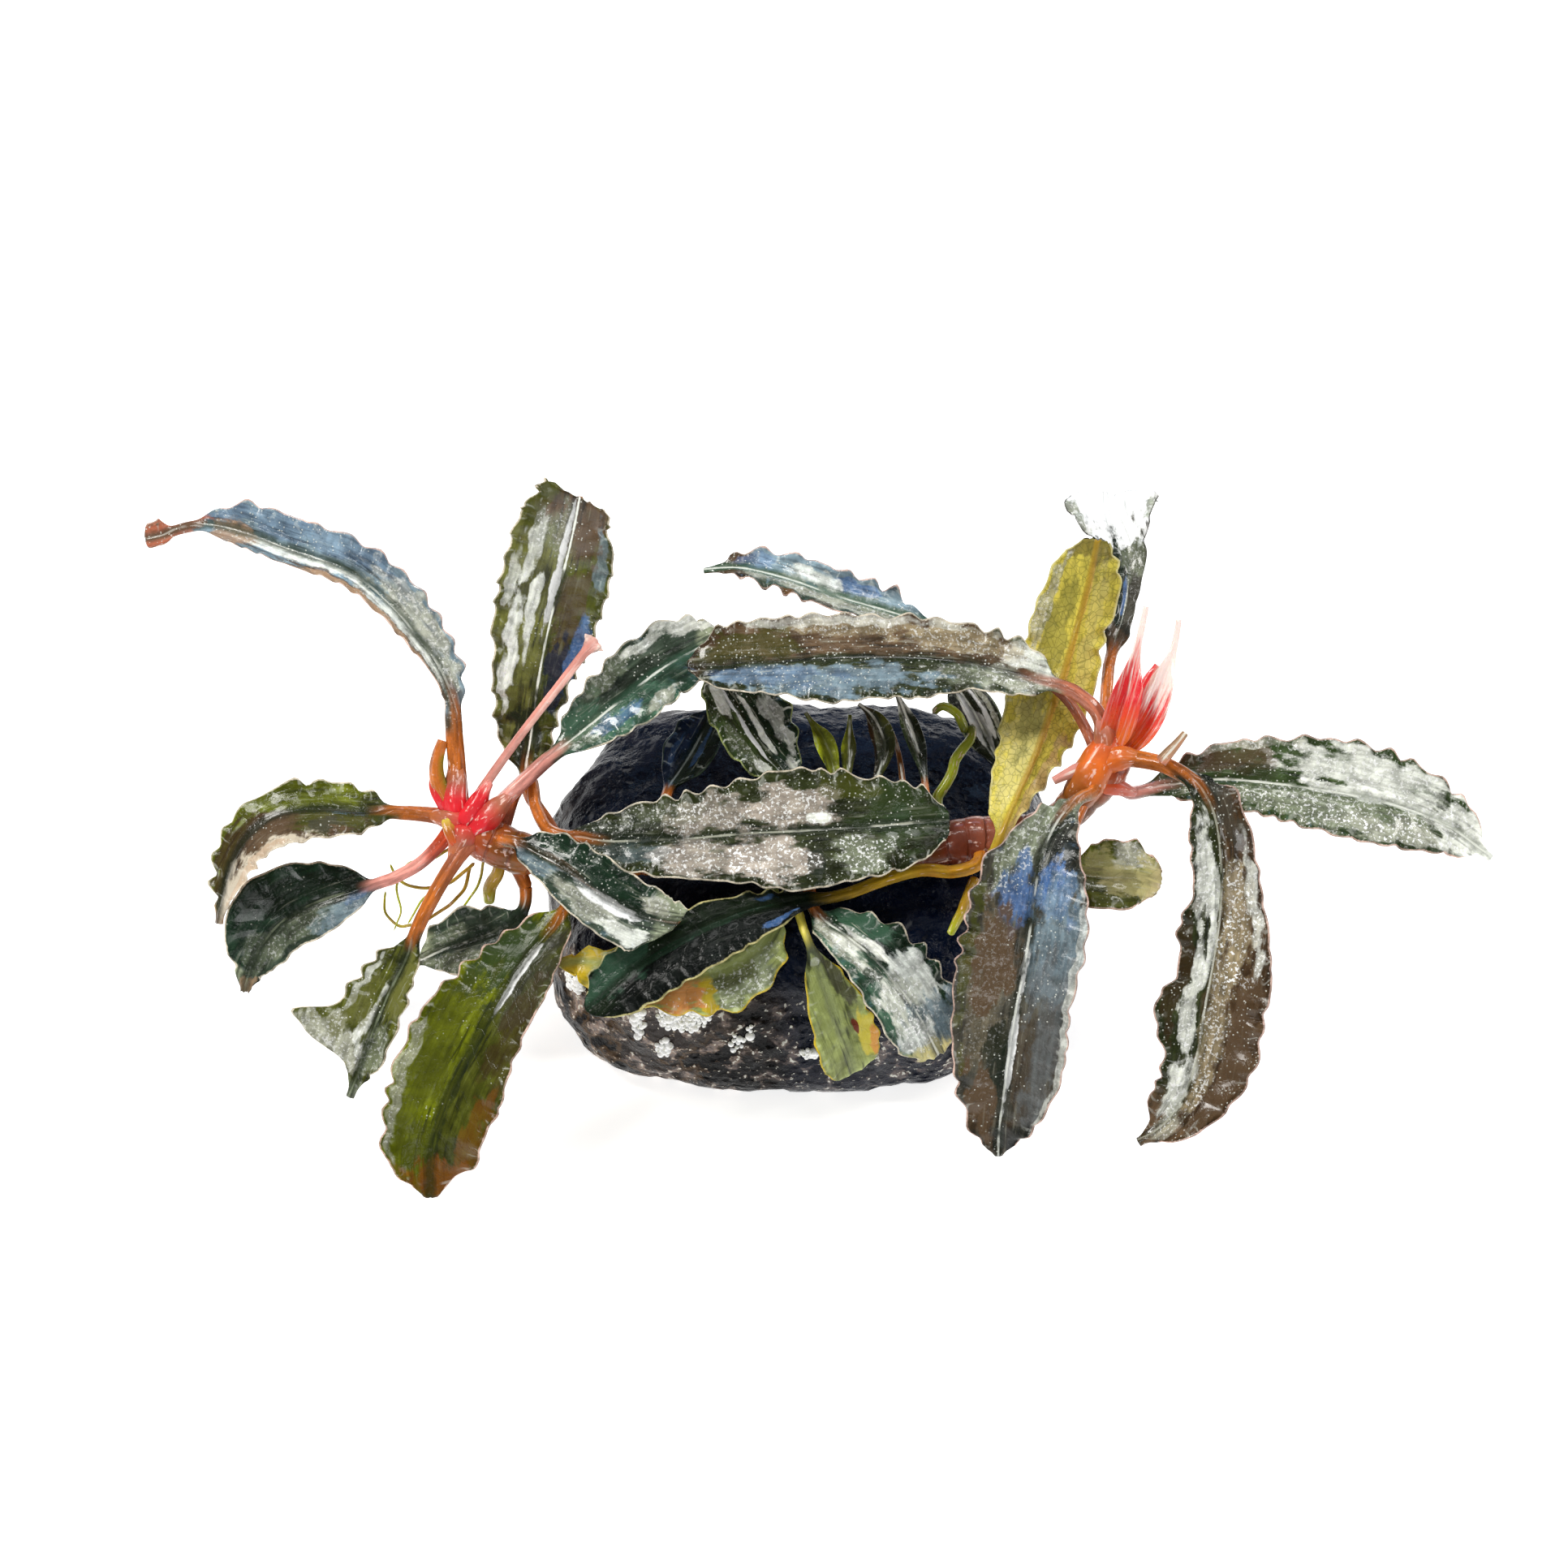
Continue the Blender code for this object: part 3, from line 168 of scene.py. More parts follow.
class PlantColours(bpy.types.PropertyGroup):
    """Colours of the leaves, the stems, the bud and the stone"""

    night: colour("Night", "Near black of a leaf's shaded folds", 0.003, 0.005, 0.004)
    night_green: colour("Night green", "Blackish green", 0.006, 0.012, 0.005)
    deep_green: colour("Deep green", "Dark bottle green", 0.006, 0.024, 0.01)
    leaf_green: colour("Leaf green", "Middling dark green", 0.028, 0.05, 0.012)
    sea_green: colour("Sea green", "Soft blue green", 0.04, 0.1, 0.06)
    grey_green: colour("Grey green", "Dull greyish green", 0.035, 0.055, 0.035)
    ash_green: colour("Ash green", "Pale greyish green", 0.23, 0.265, 0.17)
    dark_olive: colour("Dark olive", "Dark brownish green", 0.018, 0.024, 0.004)
    moss: colour("Moss", "Olive of the older leaves", 0.06, 0.068, 0.006)
    olive: colour("Olive", "Light greyish olive", 0.135, 0.14, 0.03)
    yellow_olive: colour("Yellow olive", "Bright olive with light behind it", 0.105, 0.125, 0.002)
    smoke: colour("Smoke", "Brownish grey", 0.05, 0.047, 0.035)
    # Silver, pinkish silver, frost, white, steel blue and sky blue also tint the painted sheen,
    # highlights and blue reflections on the leaves
    silver: colour("Silver", "Silver bloom of the upper sides", 0.5, 0.51, 0.41)
    pink_silver: colour("Pinkish silver", "Warm silver of the middle leaf", 0.52, 0.45, 0.38)
    frost: colour("Frost", "Nearly white wet sheen", 0.95, 0.98, 0.89)
    white: colour("White", "White of the washed-out tip", 0.92, 0.93, 0.93)
    steel: colour("Steel blue", "Blue grey sheen", 0.19, 0.27, 0.32)
    sky: colour("Sky blue", "Bright blue sheen", 0.08, 0.18, 0.42)
    night_blue: colour("Night blue", "Blackish blue", 0.005, 0.012, 0.035)
    umber: colour("Umber", "Dark leaf brown", 0.045, 0.024, 0.009)
    bark: colour("Bark grey", "Greyish brown", 0.095, 0.058, 0.03)
    # Painted tan sheen on the brown leaves
    gold_sheen: colour("Gold dust", "Tan bloom on the brown leaves", 0.42, 0.34, 0.2)
    russet: colour("Russet", "Dull red brown of the undersides", 0.21, 0.115, 0.055)
    tan: colour("Tan", "Pale brown of the undersides", 0.46, 0.28, 0.16)
    cream: colour("Cream", "Pale margin of the leaves", 0.74, 0.66, 0.52)
    rose_cream: colour("Rosy cream", "Pinkish pale margin", 0.72, 0.50, 0.42)
    rust: colour("Rust", "Orange brown of old tips", 0.16, 0.055, 0.004)
    brick: colour("Brick", "Red brown", 0.42, 0.13, 0.07)
    straw: colour("Straw", "Yellow of the leaf seen from below", 0.66, 0.56, 0.08)
    pale_straw: colour("Pale straw", "Lighter, greyer yellow", 0.64, 0.58, 0.26)
    lime: colour("Lime", "Pale yellowish green", 0.31, 0.36, 0.12)
    yellow: colour("Yellow", "Yellow of a dying margin", 0.62, 0.44, 0.02)
    orange: colour("Orange", "Orange of a dying blade", 0.72, 0.30, 0.09)
    amber: colour("Amber", "Orange brown of the stalks", 0.48, 0.13, 0.018)
    coral: colour("Coral", "Orange red near the crowns", 0.62, 0.08, 0.025)
    crimson: colour("Crimson", "Deep red of the bud and the crowns", 0.70, 0.02, 0.03)
    rose: colour("Rose", "Pink of the cut stalk", 0.70, 0.29, 0.24)
    # Blush is also the tint of the painted glints on the stalks and stems
    blush: colour("Blush", "Nearly white pink", 0.86, 0.62, 0.54)
    sheath: colour("Sheath", "Dark red brown of old sheaths", 0.16, 0.03, 0.012)
    flame: colour("Flame", "Orange of the right crown", 0.68, 0.14, 0.016)
    root_yellow: colour("Root yellow", "Ochre of the thick roots", 0.40, 0.24, 0.012)
    root_green: colour("Root green", "Yellow green of the young roots", 0.40, 0.46, 0.015)
    stone_black: colour("Stone black", "Nearly black of the wet stone", 0.0015, 0.0015, 0.002)
    stone_brown: colour("Stone brown", "Dark brown in the stone", 0.02, 0.013, 0.01)
    # Painted sheen on the stone's front, and a painted blue reflection on its top and at its right
    rosy_grey: colour("Rosy grey", "Wet sheen on the stone's front", 0.27, 0.22, 0.2)
    stone_blue_reflection: colour("Stone blue", "Blue cast on the stone's top", 0.001, 0.004, 0.015)


class StageLooks(bpy.types.PropertyGroup):
    """The floor and the studio light"""

    floor: colour("Floor", "Colour of the pale floor", 0.90, 0.90, 0.90)
    floor_glow: share("Floor glow", "How much the floor shines by itself, like a light table", 0.8)
    sky_light: share("Light all round", "Strength of the even light from everywhere", 0.22)
    window_blue: colour("Window", "Colour of the cool light behind", 0.40, 0.66, 1.0)


def paint(name):
    """A colour from the panel."""
    return tuple(getattr(bpy.context.scene.plant_colours, name))


def size(name):
    """A size from the panel, in millimetres."""
    return getattr(bpy.context.scene.plant_sizes, name) / MM


def share_of(name):
    """A share from the panel."""
    return getattr(bpy.context.scene.plant_sizes, name)


class Wire:
    """A value or a colour on its way through a finish: sums written with it add Math nodes."""

    def __init__(self, finish, socket):
        self.finish = finish
        self.socket = socket

    def __add__(self, other):
        return self.finish.maths("ADD", self, other)

    def __radd__(self, other):
        return self.finish.maths("ADD", other, self)

    def __sub__(self, other):
        return self.finish.maths("SUBTRACT", self, other)

    def __rsub__(self, other):
        return self.finish.maths("SUBTRACT", other, self)

    def __mul__(self, other):
        return self.finish.maths("MULTIPLY", self, other)

    def __rmul__(self, other):
        return self.finish.maths("MULTIPLY", other, self)

    def __truediv__(self, other):
        return self.finish.maths("DIVIDE", self, other)

    def __rtruediv__(self, other):
        return self.finish.maths("DIVIDE", other, self)

    def __pow__(self, other):
        return self.finish.maths("POWER", self, other)

    def __abs__(self):
        return self.finish.maths("ABSOLUTE", self)


class Finish:
    """A material that is being mixed, node by node."""

    def __init__(self, name):
        self.material = bpy.data.materials.new(name)
        self.material.use_nodes = True
        self.tree = self.material.node_tree
        self.shader = self.tree.nodes["Principled BSDF"]

    def feed(self, socket, value):
        if isinstance(value, Wire):
            self.tree.links.new(value.socket, socket)
        elif isinstance(value, tuple) and socket.type == "RGBA":
            socket.default_value = (*value[:3], 1.0)
        else:
            socket.default_value = value

    def node(self, kind, settings=None, values=None, out=0):
        """Adds a node: first its settings, then the values or the links of its sockets."""
        made = self.tree.nodes.new(kind)
        for name, value in (settings or {}).items():
            if name == "stops":
                ramp = made.color_ramp.elements
                ramp[0].color = (*value[0][1], 1.0)
                ramp[1].color = (*value[-1][1], 1.0)
                for position, tint in value[1:-1]:
                    ramp.new(position).color = (*tint, 1.0)
            else:
                setattr(made, name, value)
        for key, value in (values or {}).items():
            self.feed(made.inputs[key], value)
        return Wire(self, made.outputs[out])

    def maths(self, operation, *terms):
        return self.node("ShaderNodeMath", {"operation": operation}, dict(enumerate(terms)))

    def smooth(self, value, start, end):
        """0 before start and 1 after end, with a soft step between; end may come first."""
        return self.node(
            "ShaderNodeMapRange", {"interpolation_type": "SMOOTHSTEP"},
            {"Value": value, "From Min": start, "From Max": end, "To Min": 0.0, "To Max": 1.0},
        )

    def mix(self, amount, one, two):
        """One colour where amount is 0 and the other where it is 1."""
        one = paint(one) if isinstance(one, str) else one
        two = paint(two) if isinstance(two, str) else two
        return self.node(
            "ShaderNodeMix", {"data_type": "RGBA", "clamp_factor": True},
            {0: amount, 6: one, 7: two}, out=2,
        )

    def tone(self, tint, strength):
        """A colour made darker or lighter."""
        return self.node(
            "ShaderNodeVectorMath", {"operation": "SCALE"}, {"Vector": tint, "Scale": strength}
        )

    def attribute(self, name):
        return self.node("ShaderNodeAttribute", {"attribute_name": name}, out=2)

    def place(self):
        return self.node("ShaderNodeTexCoord", out=3)

    def noise(self, grain, detail=2.0, where=None):
        """Cloudy noise whose lumps are about this many millimetres across."""
        values = {"Scale": 1.0, "Detail": detail, "Roughness": 0.55}
        if where is None:
            where = self.place()
            values["Scale"] = 1.0 / (grain * MM)
        values["Vector"] = where
        return self.node("ShaderNodeTexNoise", {}, values)

    def cells(self, grain, feature="F1", out="Distance"):
        """Cells of about this many millimetres: how far each point is from its middle or edge."""
        return self.node(
            "ShaderNodeTexVoronoi", {"feature": feature},
            {"Vector": self.place(), "Scale": 1.0 / (grain * MM)}, out=out,
        )

    def stretched(self, run, out):
        """Coordinates for streaks that follow a leaf or a stem."""
        return self.node("ShaderNodeCombineXYZ", {}, {"X": run, "Y": out, "Z": 0.0})

    def speckles(self, grain, density, plumpness):
        """Small round dots scattered over the surface."""
        near = self.cells(grain)
        pick = self.cells(grain, out="Color")
        chance = self.node("ShaderNodeSeparateColor", {}, {"Color": pick})
        keep = self.maths("GREATER_THAN", chance, 1.0 - density)
        return self.smooth(near, plumpness, plumpness * 0.45) * keep

    def finish(self, skin, roughness, height, depth, coat=None, **plain):
        """Joins the colour, the roughness and the relief to the shader."""
        bump = self.node(
            "ShaderNodeBump", {},
            {"Strength": 1.0, "Distance": depth * MM, "Height": height},
        )
        self.feed(self.shader.inputs["Base Color"], skin)
        self.feed(self.shader.inputs["Roughness"], roughness)
        self.feed(self.shader.inputs["Normal"], bump)
        if coat is not None:
            self.feed(self.shader.inputs["Coat Weight"], coat)
        for name, value in plain.items():
            self.feed(self.shader.inputs[name.replace("_", " ")], value)
        return self.material


# Shapes


def place(points):
    """The points in space, in metres, of points laid out in the view."""
    points = np.asarray(points, float)
    nearer = 1.0 - points[:, 2:3] / LOOK_FROM
    flat = points[:, :1] * ACROSS + points[:, 1:2] * UP_THE_VIEW
    return (LOOK_AT + flat * nearer + points[:, 2:3] * TOWARDS) * MM


def between(rows, i, along):
    """A Catmull-Rom step from row i to the next: every column is smoothed alike."""
    before = rows[max(i - 1, 0)]
    here = rows[i]
    there = rows[i + 1]
    after = rows[min(i + 2, len(rows) - 1)]
    found = []
    for a, b, c, d in zip(before, here, there, after):
        curve = (2 * a - 5 * b + 4 * c - d) * along + (3 * b - a - 3 * c + d) * along ** 2
        found.append(b + 0.5 * along * (c - a + curve))
    return found


def smooth_rows(rows, count):
    """This many rows, evenly spaced along the smooth path through the given ones."""
    fine = 12
    dense = [between(rows, i, k / fine) for i in range(len(rows) - 1) for k in range(fine)]
    dense.append(list(rows[-1]))
    travelled = [0.0]
    for a, b in zip(dense, dense[1:]):
        travelled.append(travelled[-1] + math.dist(a[:3], b[:3]))
    found = []
    k = 0
    for n in range(count):
        want = travelled[-1] * n / (count - 1)
        while k < len(dense) - 2 and travelled[k + 1] < want:
            k += 1
        stretch = max(travelled[k + 1] - travelled[k], 1e-9)
        part = min(max((want - travelled[k]) / stretch, 0.0), 1.0)
        found.append([p + (q - p) * part for p, q in zip(dense[k], dense[k + 1])])
    return found


def path_length(rows):
    """How long the path through the rows is."""
    return sum(math.dist(a[:3], b[:3]) for a, b in zip(rows, rows[1:]))


def unit(vectors):
    """The same directions, each one long."""
    return vectors / np.maximum(np.linalg.norm(vectors, axis=1, keepdims=True), 1e-9)


def wobble(position, seed):
    """Soft noise along a line, from about -1 to 1."""
    return noise.noise(Vector((position, seed * 7.31, seed * 1.7))) * 1.6


def easing(value):
    """0 up to 0 and 1 from 1 on, with a soft step between."""
    value = np.clip(value, 0.0, 1.0)
    return value * value * (3 - 2 * value)


def coarse_stations(rows):
    """Rows along the stalk and then along the blade, as the solid leaf has them."""
    first = next(i for i, row in enumerate(rows) if row[3] > 0)
    stalk_rows = rows[: first]
    blade_rows = rows[max(first - 1, 0):]
    on_stalk = []
    if len(stalk_rows) > 1:
        count = max(round(path_length(stalk_rows) / COARSE_STALK_STEP), 1) + 1
        on_stalk = smooth_rows(rows[: first + 1], count + 1)[: -1]
        keep = path_length(stalk_rows) * 0.97
        on_stalk = [row for row in on_stalk if math.dist(row[:3], on_stalk[0][:3]) < keep]
    count = max(round(path_length(blade_rows) / COARSE_BLADE_STEP), 5) + 1
    return on_stalk, smooth_rows(blade_rows, count)


def across_blade(reach, channel, curl):
    """How far out and up a blade has come, where it folds and then curls."""
    steps = (np.arange(CURL_STEPS) + 0.5) / CURL_STEPS
    angles = channel + curl * (reach * steps) ** 2
    return np.cos(angles).sum() * reach / CURL_STEPS, np.sin(angles).sum() * reach / CURL_STEPS


def new_piece(name, points, faces, values, finish, node=None):
    """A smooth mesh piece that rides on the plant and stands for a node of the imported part."""
    mesh = bpy.data.meshes.new(name)
    mesh.from_pydata(points.tolist(), [], faces)
    for key, column in values.items():
        mesh.attributes.new(key, "FLOAT", "POINT").data.foreach_set(
            "value", np.asarray(column, np.float32)
        )
    mesh.shade_smooth()
    mesh.update()
    piece = bpy.data.objects.new(name, mesh)
    bpy.context.scene.collection.objects.link(piece)
    mesh.materials.append(finish)
    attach(piece, "root")
    if node is not None:
        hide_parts(node)
    return piece


def loft_faces(rings, ring):
    """Quads between rings of equal counts, with both ends closed."""
    faces = []
    for i in range(rings - 1):
        for k in range(ring):
            m = (k + 1) % ring
            faces.append((i * ring + k, i * ring + m, (i + 1) * ring + m, (i + 1) * ring + k))
    half = ring // 2
    for start, turn in ((0, 1), ((rings - 1) * ring, -1)):
        for k in range(half):
            corners = [start + k, start + k + 1, start + (ring - k - 1) % ring,
                       start + (ring - k) % ring]
            corners = list(dict.fromkeys(corners))
            if len(corners) > 2:
                faces.append(tuple(corners[:: -turn]))
    return faces


@dataclass
class Leaf:
    """A leaf's shape: rows of place and half widths, base to tip, and how it folds."""

    node: str
    rows: tuple
    face: tuple = SKYWARD
    face_tip: tuple = None
    channel: float = 12.0
    curl: float = 0.0
    left_curl: float = None
    ruffle: float = 1.0
    stalk: float = 0.62
    skew: float = 0.0
    fray: float = 0.25
    blunt: float = 1.0


def ring_columns():
    """Each point of a ring: its reach, its side (left is +1), above or below, and its angle."""
    quarter = len(REACHES) - 1
    columns = []
    for k in range(4 * quarter):
        turn, step = divmod(k, quarter)
        reach = REACHES[step] if turn % 2 == 0 else REACHES[quarter - step]
        side = 1.0 if turn in (0, 3) else -1.0
        level = 0.0 if k % (2 * quarter) == 0 else (1.0 if k < 2 * quarter else -1.0)
        columns.append((reach, side, level, math.tau * k / (4 * quarter)))
    return np.array(columns).T


def ruffle(s, seed, which):
    """How far a margin goes up and out, from about -1 to 1, this far along the blade."""
    swing = math.tau * s / size("ruffle_length") + RUFFLE_DRIFT * wobble(s / 5.0, seed + which)
    force = 0.8 + 0.8 * wobble(s / 3.3, seed + 10 + which)
    up = force * (math.sin(swing) + 0.22 * math.sin(2 * swing + 1.0))
    return up, force * math.sin(swing + 0.9)


def tatters(s, seed, which):
    """How deep a margin is torn, this far along the blade."""
    return abs(wobble(s * 1.1, seed + 20 + which)) + 0.5 * abs(wobble(s * 2.7, seed + 30))


def leaf_mesh(leaf, seed):
    """The points, faces and surface values of one leaf."""
    on_stalk, on_blade = coarse_stations(leaf.rows)
    coarse = on_stalk + on_blade
    coarse = [list(row) + [i / (len(coarse) - 1)] for i, row in enumerate(coarse)]
    dense = [
        between(coarse, i, k / FINE_STEPS)
        for i in range(len(coarse) - 1)
        for k in range(FINE_STEPS)
    ]
    dense = np.array(dense + [coarse[-1]])
    middle = dense[:, :3]
    order = dense[:, 5:6]
    run = unit(np.gradient(middle, axis=0))
    face = np.array(leaf.face, float)
    face_tip = face if leaf.face_tip is None else np.array(leaf.face_tip, float)
    top = face + (face_tip - face) * order
    top = unit(top - run * (top * run).sum(1, keepdims=True))
    side = np.cross(top, run)

    steps = np.linalg.norm(np.diff(middle, axis=0), axis=1)
    travelled = np.concatenate([[0.0], np.cumsum(steps)])
    start = travelled[len(on_stalk) * FINE_STEPS]
    blade_mm = travelled - start
    on_the_stalk = blade_mm / max(start, NEARLY_NONE)
    on_the_blade = blade_mm / max(travelled[-1] - start, NEARLY_NONE)
    along = np.where(blade_mm >= 0, on_the_blade, on_the_stalk)

    halves = np.maximum(dense[:, 3:5], 0.0)
    widest = halves.max(1)
    grow = np.minimum(widest / 2.0, 1.0) * easing(blade_mm / RUFFLE_START) * leaf.ruffle
    tip_mm = travelled[-1] - travelled
    grow = grow * (0.35 + 0.65 * easing(tip_mm / 2.0))
    waves = []
    edges = []
    for which in (0, 1):
        beat = np.array([ruffle(s, seed, which) for s in blade_mm])
        waves.append(beat[:, 0] * grow * size("ruffle_height"))
        frayed = np.array([tatters(s, seed, which) for s in blade_mm])
        frayed = frayed * size("fray") * leaf.fray * easing(1 - tip_mm / FRAY_REACH)
        frayed = frayed * np.minimum(widest / 2, 1)
        edge = halves[:, which] + beat[:, 1] * grow * size("scallop") - frayed
        edges.append(np.maximum(edge, halves[:, which] * LEAST_EDGE_SHARE))

    reach, hand, level, angle = ring_columns()
    channel = math.radians(leaf.channel)
    right_curl = math.radians(leaf.curl)
    left_curl = right_curl if leaf.left_curl is None else math.radians(leaf.left_curl)
    profile = np.array([
        across_blade(r, channel, left_curl if s > 0 else right_curl)
        for r, s in zip(reach, hand)
    ]).T
    left = hand > 0
    half = np.where(left, edges[0][:, None], edges[1][:, None])
    wave = np.where(left, waves[0][:, None], waves[1][:, None])
    out = hand * profile[0] * half
    away = reach * half
    slant = blade_mm[:, None] - SIDE_VEIN_SLANT * away
    quilt = np.sin(math.tau * slant / size("quilt_length") + hand * 0.9) * size("quilt")
    quilt = quilt * 4 * reach * (1 - reach) * easing((widest[:, None] - 0.8) / 1.5)
    thick = size("blade_edge") + (size("blade_middle") - size("blade_edge")) * (1 - reach) ** 1.6
    thick = thick * np.where(reach > 0.99, 0.0, np.where(reach > 0.96, 0.85, 1.0))
    thick = np.minimum(thick, 0.35 * widest[:, None] + 0.1)
    rib = np.exp(-(away / size("keel_width")) ** 2)
    side_pleats = np.exp(-((away - SIDE_PLEAT_AT) / SIDE_PLEAT_WIDTH) ** 2) * (widest[:, None] > 2)
    pleats = np.exp(-(away / MIDRIB_PLEAT_WIDTH) ** 2) + SIDE_PLEAT_SHARE * side_pleats
    groove = pleats * size("groove") * (level > 0)
    taper = 1 - MIDRIB_TAPER * np.clip(along, 0, 1)[:, None]
    up = profile[1] * half + wave * reach ** 4.0 + quilt + level * thick / 2
    up = up - groove * taper - rib * (level < 0) * size("keel") * taper

    radius = leaf.stalk * (1 - STALK_TAPER * order)
    near_stem = np.exp(-travelled[:, None] / STALK_FLARE_LENGTH)
    flare = 1 + share_of("stalk_flare") * near_stem * (start > 1.0)
    flat = easing((widest[:, None] - radius) / ROUND_TO_FLAT)
    ridge = 1 + STALK_RIDGE_HEIGHT * np.cos(angle * STALK_RIDGES)
    out = radius * flare * ridge * np.cos(angle) * (1 - flat) + out * flat
    up = radius * flare * ridge * np.sin(angle) * (1 - flat) + up * flat
    forward = leaf.skew * out / np.maximum(halves[:, :1], 1.0) * order ** 3
    blunt = easing(1 - tip_mm / BLUNT_REACH)[:, None] * flat
    ragged = np.array([wobble(k * 0.45, seed + 40) for k in range(len(reach))]) * leaf.fray
    forward = forward - blunt * reach ** 2 * 0.3 * half * leaf.blunt + blunt * ragged * 0.5

    points = middle[:, None] + side[:, None] * out[..., None] + top[:, None] * up[..., None]
    points = points + run[:, None] * forward[..., None]
    rings, ring = out.shape
    values = {
        "along": np.repeat(along, ring),
        "across": (hand * reach * flat + np.cos(angle) * (1 - flat)).ravel(),
        "under": np.broadcast_to(0.5 - 0.5 * level, out.shape).ravel(),
        "run_mm": np.repeat(blade_mm, ring),
        "out_mm": (hand * away * flat + radius * np.cos(angle) * (1 - flat)).ravel(),
        "edge_mm": (half - away + (1 - flat) * 2).ravel(),
    }
    return place(points.reshape(-1, 3)), loft_faces(rings, ring), values


def grow_leaf(leaf):
    """Makes one leaf with its stalk, in the place of its solid."""
    seed = sum(ord(letter) for letter in leaf.node) % 97
    points, faces, values = leaf_mesh(leaf, seed)
    finish = leaf_finish(leaf.node, LOOKS[leaf.node])
    return new_piece(leaf.node + "_fine", points, faces, values, finish, leaf.node)


def grow_leaves(leaves):
    """Every leaf of one table."""
    for leaf in leaves:
        grow_leaf(leaf)


def tube_mesh(rows, step, sides, swell=None, wander=0.0, seed=0):
    """A round stem: its radius is each row's fourth column, and swell changes it on the way."""
    count = max(round(path_length(rows) / step), 4) + 1
    fine = np.array(smooth_rows(rows, count))
    middle = fine[:, :3].copy()
    steps = np.linalg.norm(np.diff(middle, axis=0), axis=1)
    travelled = np.concatenate([[0.0], np.cumsum(steps)])
    if wander:
        for axis in range(3):
            middle[:, axis] += [wander * wobble(s / 1.6, seed + axis) for s in travelled]
    run = unit(np.gradient(middle, axis=0))
    top = np.tile((0.0, 0.3, 0.95), (count, 1))
    top = unit(top - run * (top * run).sum(1, keepdims=True))
    side = np.cross(top, run)
    angle = math.tau * np.arange(sides) / sides
    radius = np.tile(fine[:, 3:4], (1, sides))
    if swell is not None:
        radius = radius + np.array([[swell(s, a) for a in angle] for s in travelled])
    ends = np.minimum(travelled, travelled[-1] - travelled)[:, None]
    rounding = np.maximum(DOME_SHARE * fine[:, 3:4], NEARLY_NONE)
    towards_end = (1 - ends / rounding).clip(0, 1)
    radius = radius * np.sqrt(np.clip(1 - towards_end ** 2, 0.02, 1))
    points = middle[:, None] + side[:, None] * (radius * np.cos(angle))[..., None]
    points = points + top[:, None] * (radius * np.sin(angle))[..., None]
    values = {
        "along": np.repeat(travelled / travelled[-1], sides),
        "run_mm": np.repeat(travelled, sides),
        "turn": np.tile(angle, count),
    }
    return place(points.reshape(-1, 3)), loft_faces(count, sides), values


# Finishes


@dataclass
class Look:
    """A leaf's colours and sheens.

    A patch is its place along and across, its size both ways, its colour and its strength.
    """

    left: str
    right: str
    base: str = "night_green"
    flank: str = "night_green"
    tip: str = "umber"
    under: str = "russet"
    under_vein: str = "umber"
    stalk: tuple = ("amber", "brick")
    rim: str = "cream"
    rib: str = "frost"
    rib_share: float = 0.6
    dots: float = 0.5
    # The streaks, the glints over the sheen and those on the ruffle crests are painted highlights; the
    # flank colour and its share paint shade beside the midrib
    streaks: float = 0.35
    flank_share: float = 0.75
    glint_share: float = 0.5
    comb: float = 0.2
    web: float = 0.28
    gloss: float = 1.0
    patches: tuple = ()
    on_both_sides: bool = False


# The tints whose patches are painted sheen, highlights and reflections, and those of them that get few
# painted glints
GLARES = ("frost", "white", "silver", "pink_silver", "sky", "steel", "gold_sheen", "ash_green")
CALM_GLARES = ("steel", "sky", "white")


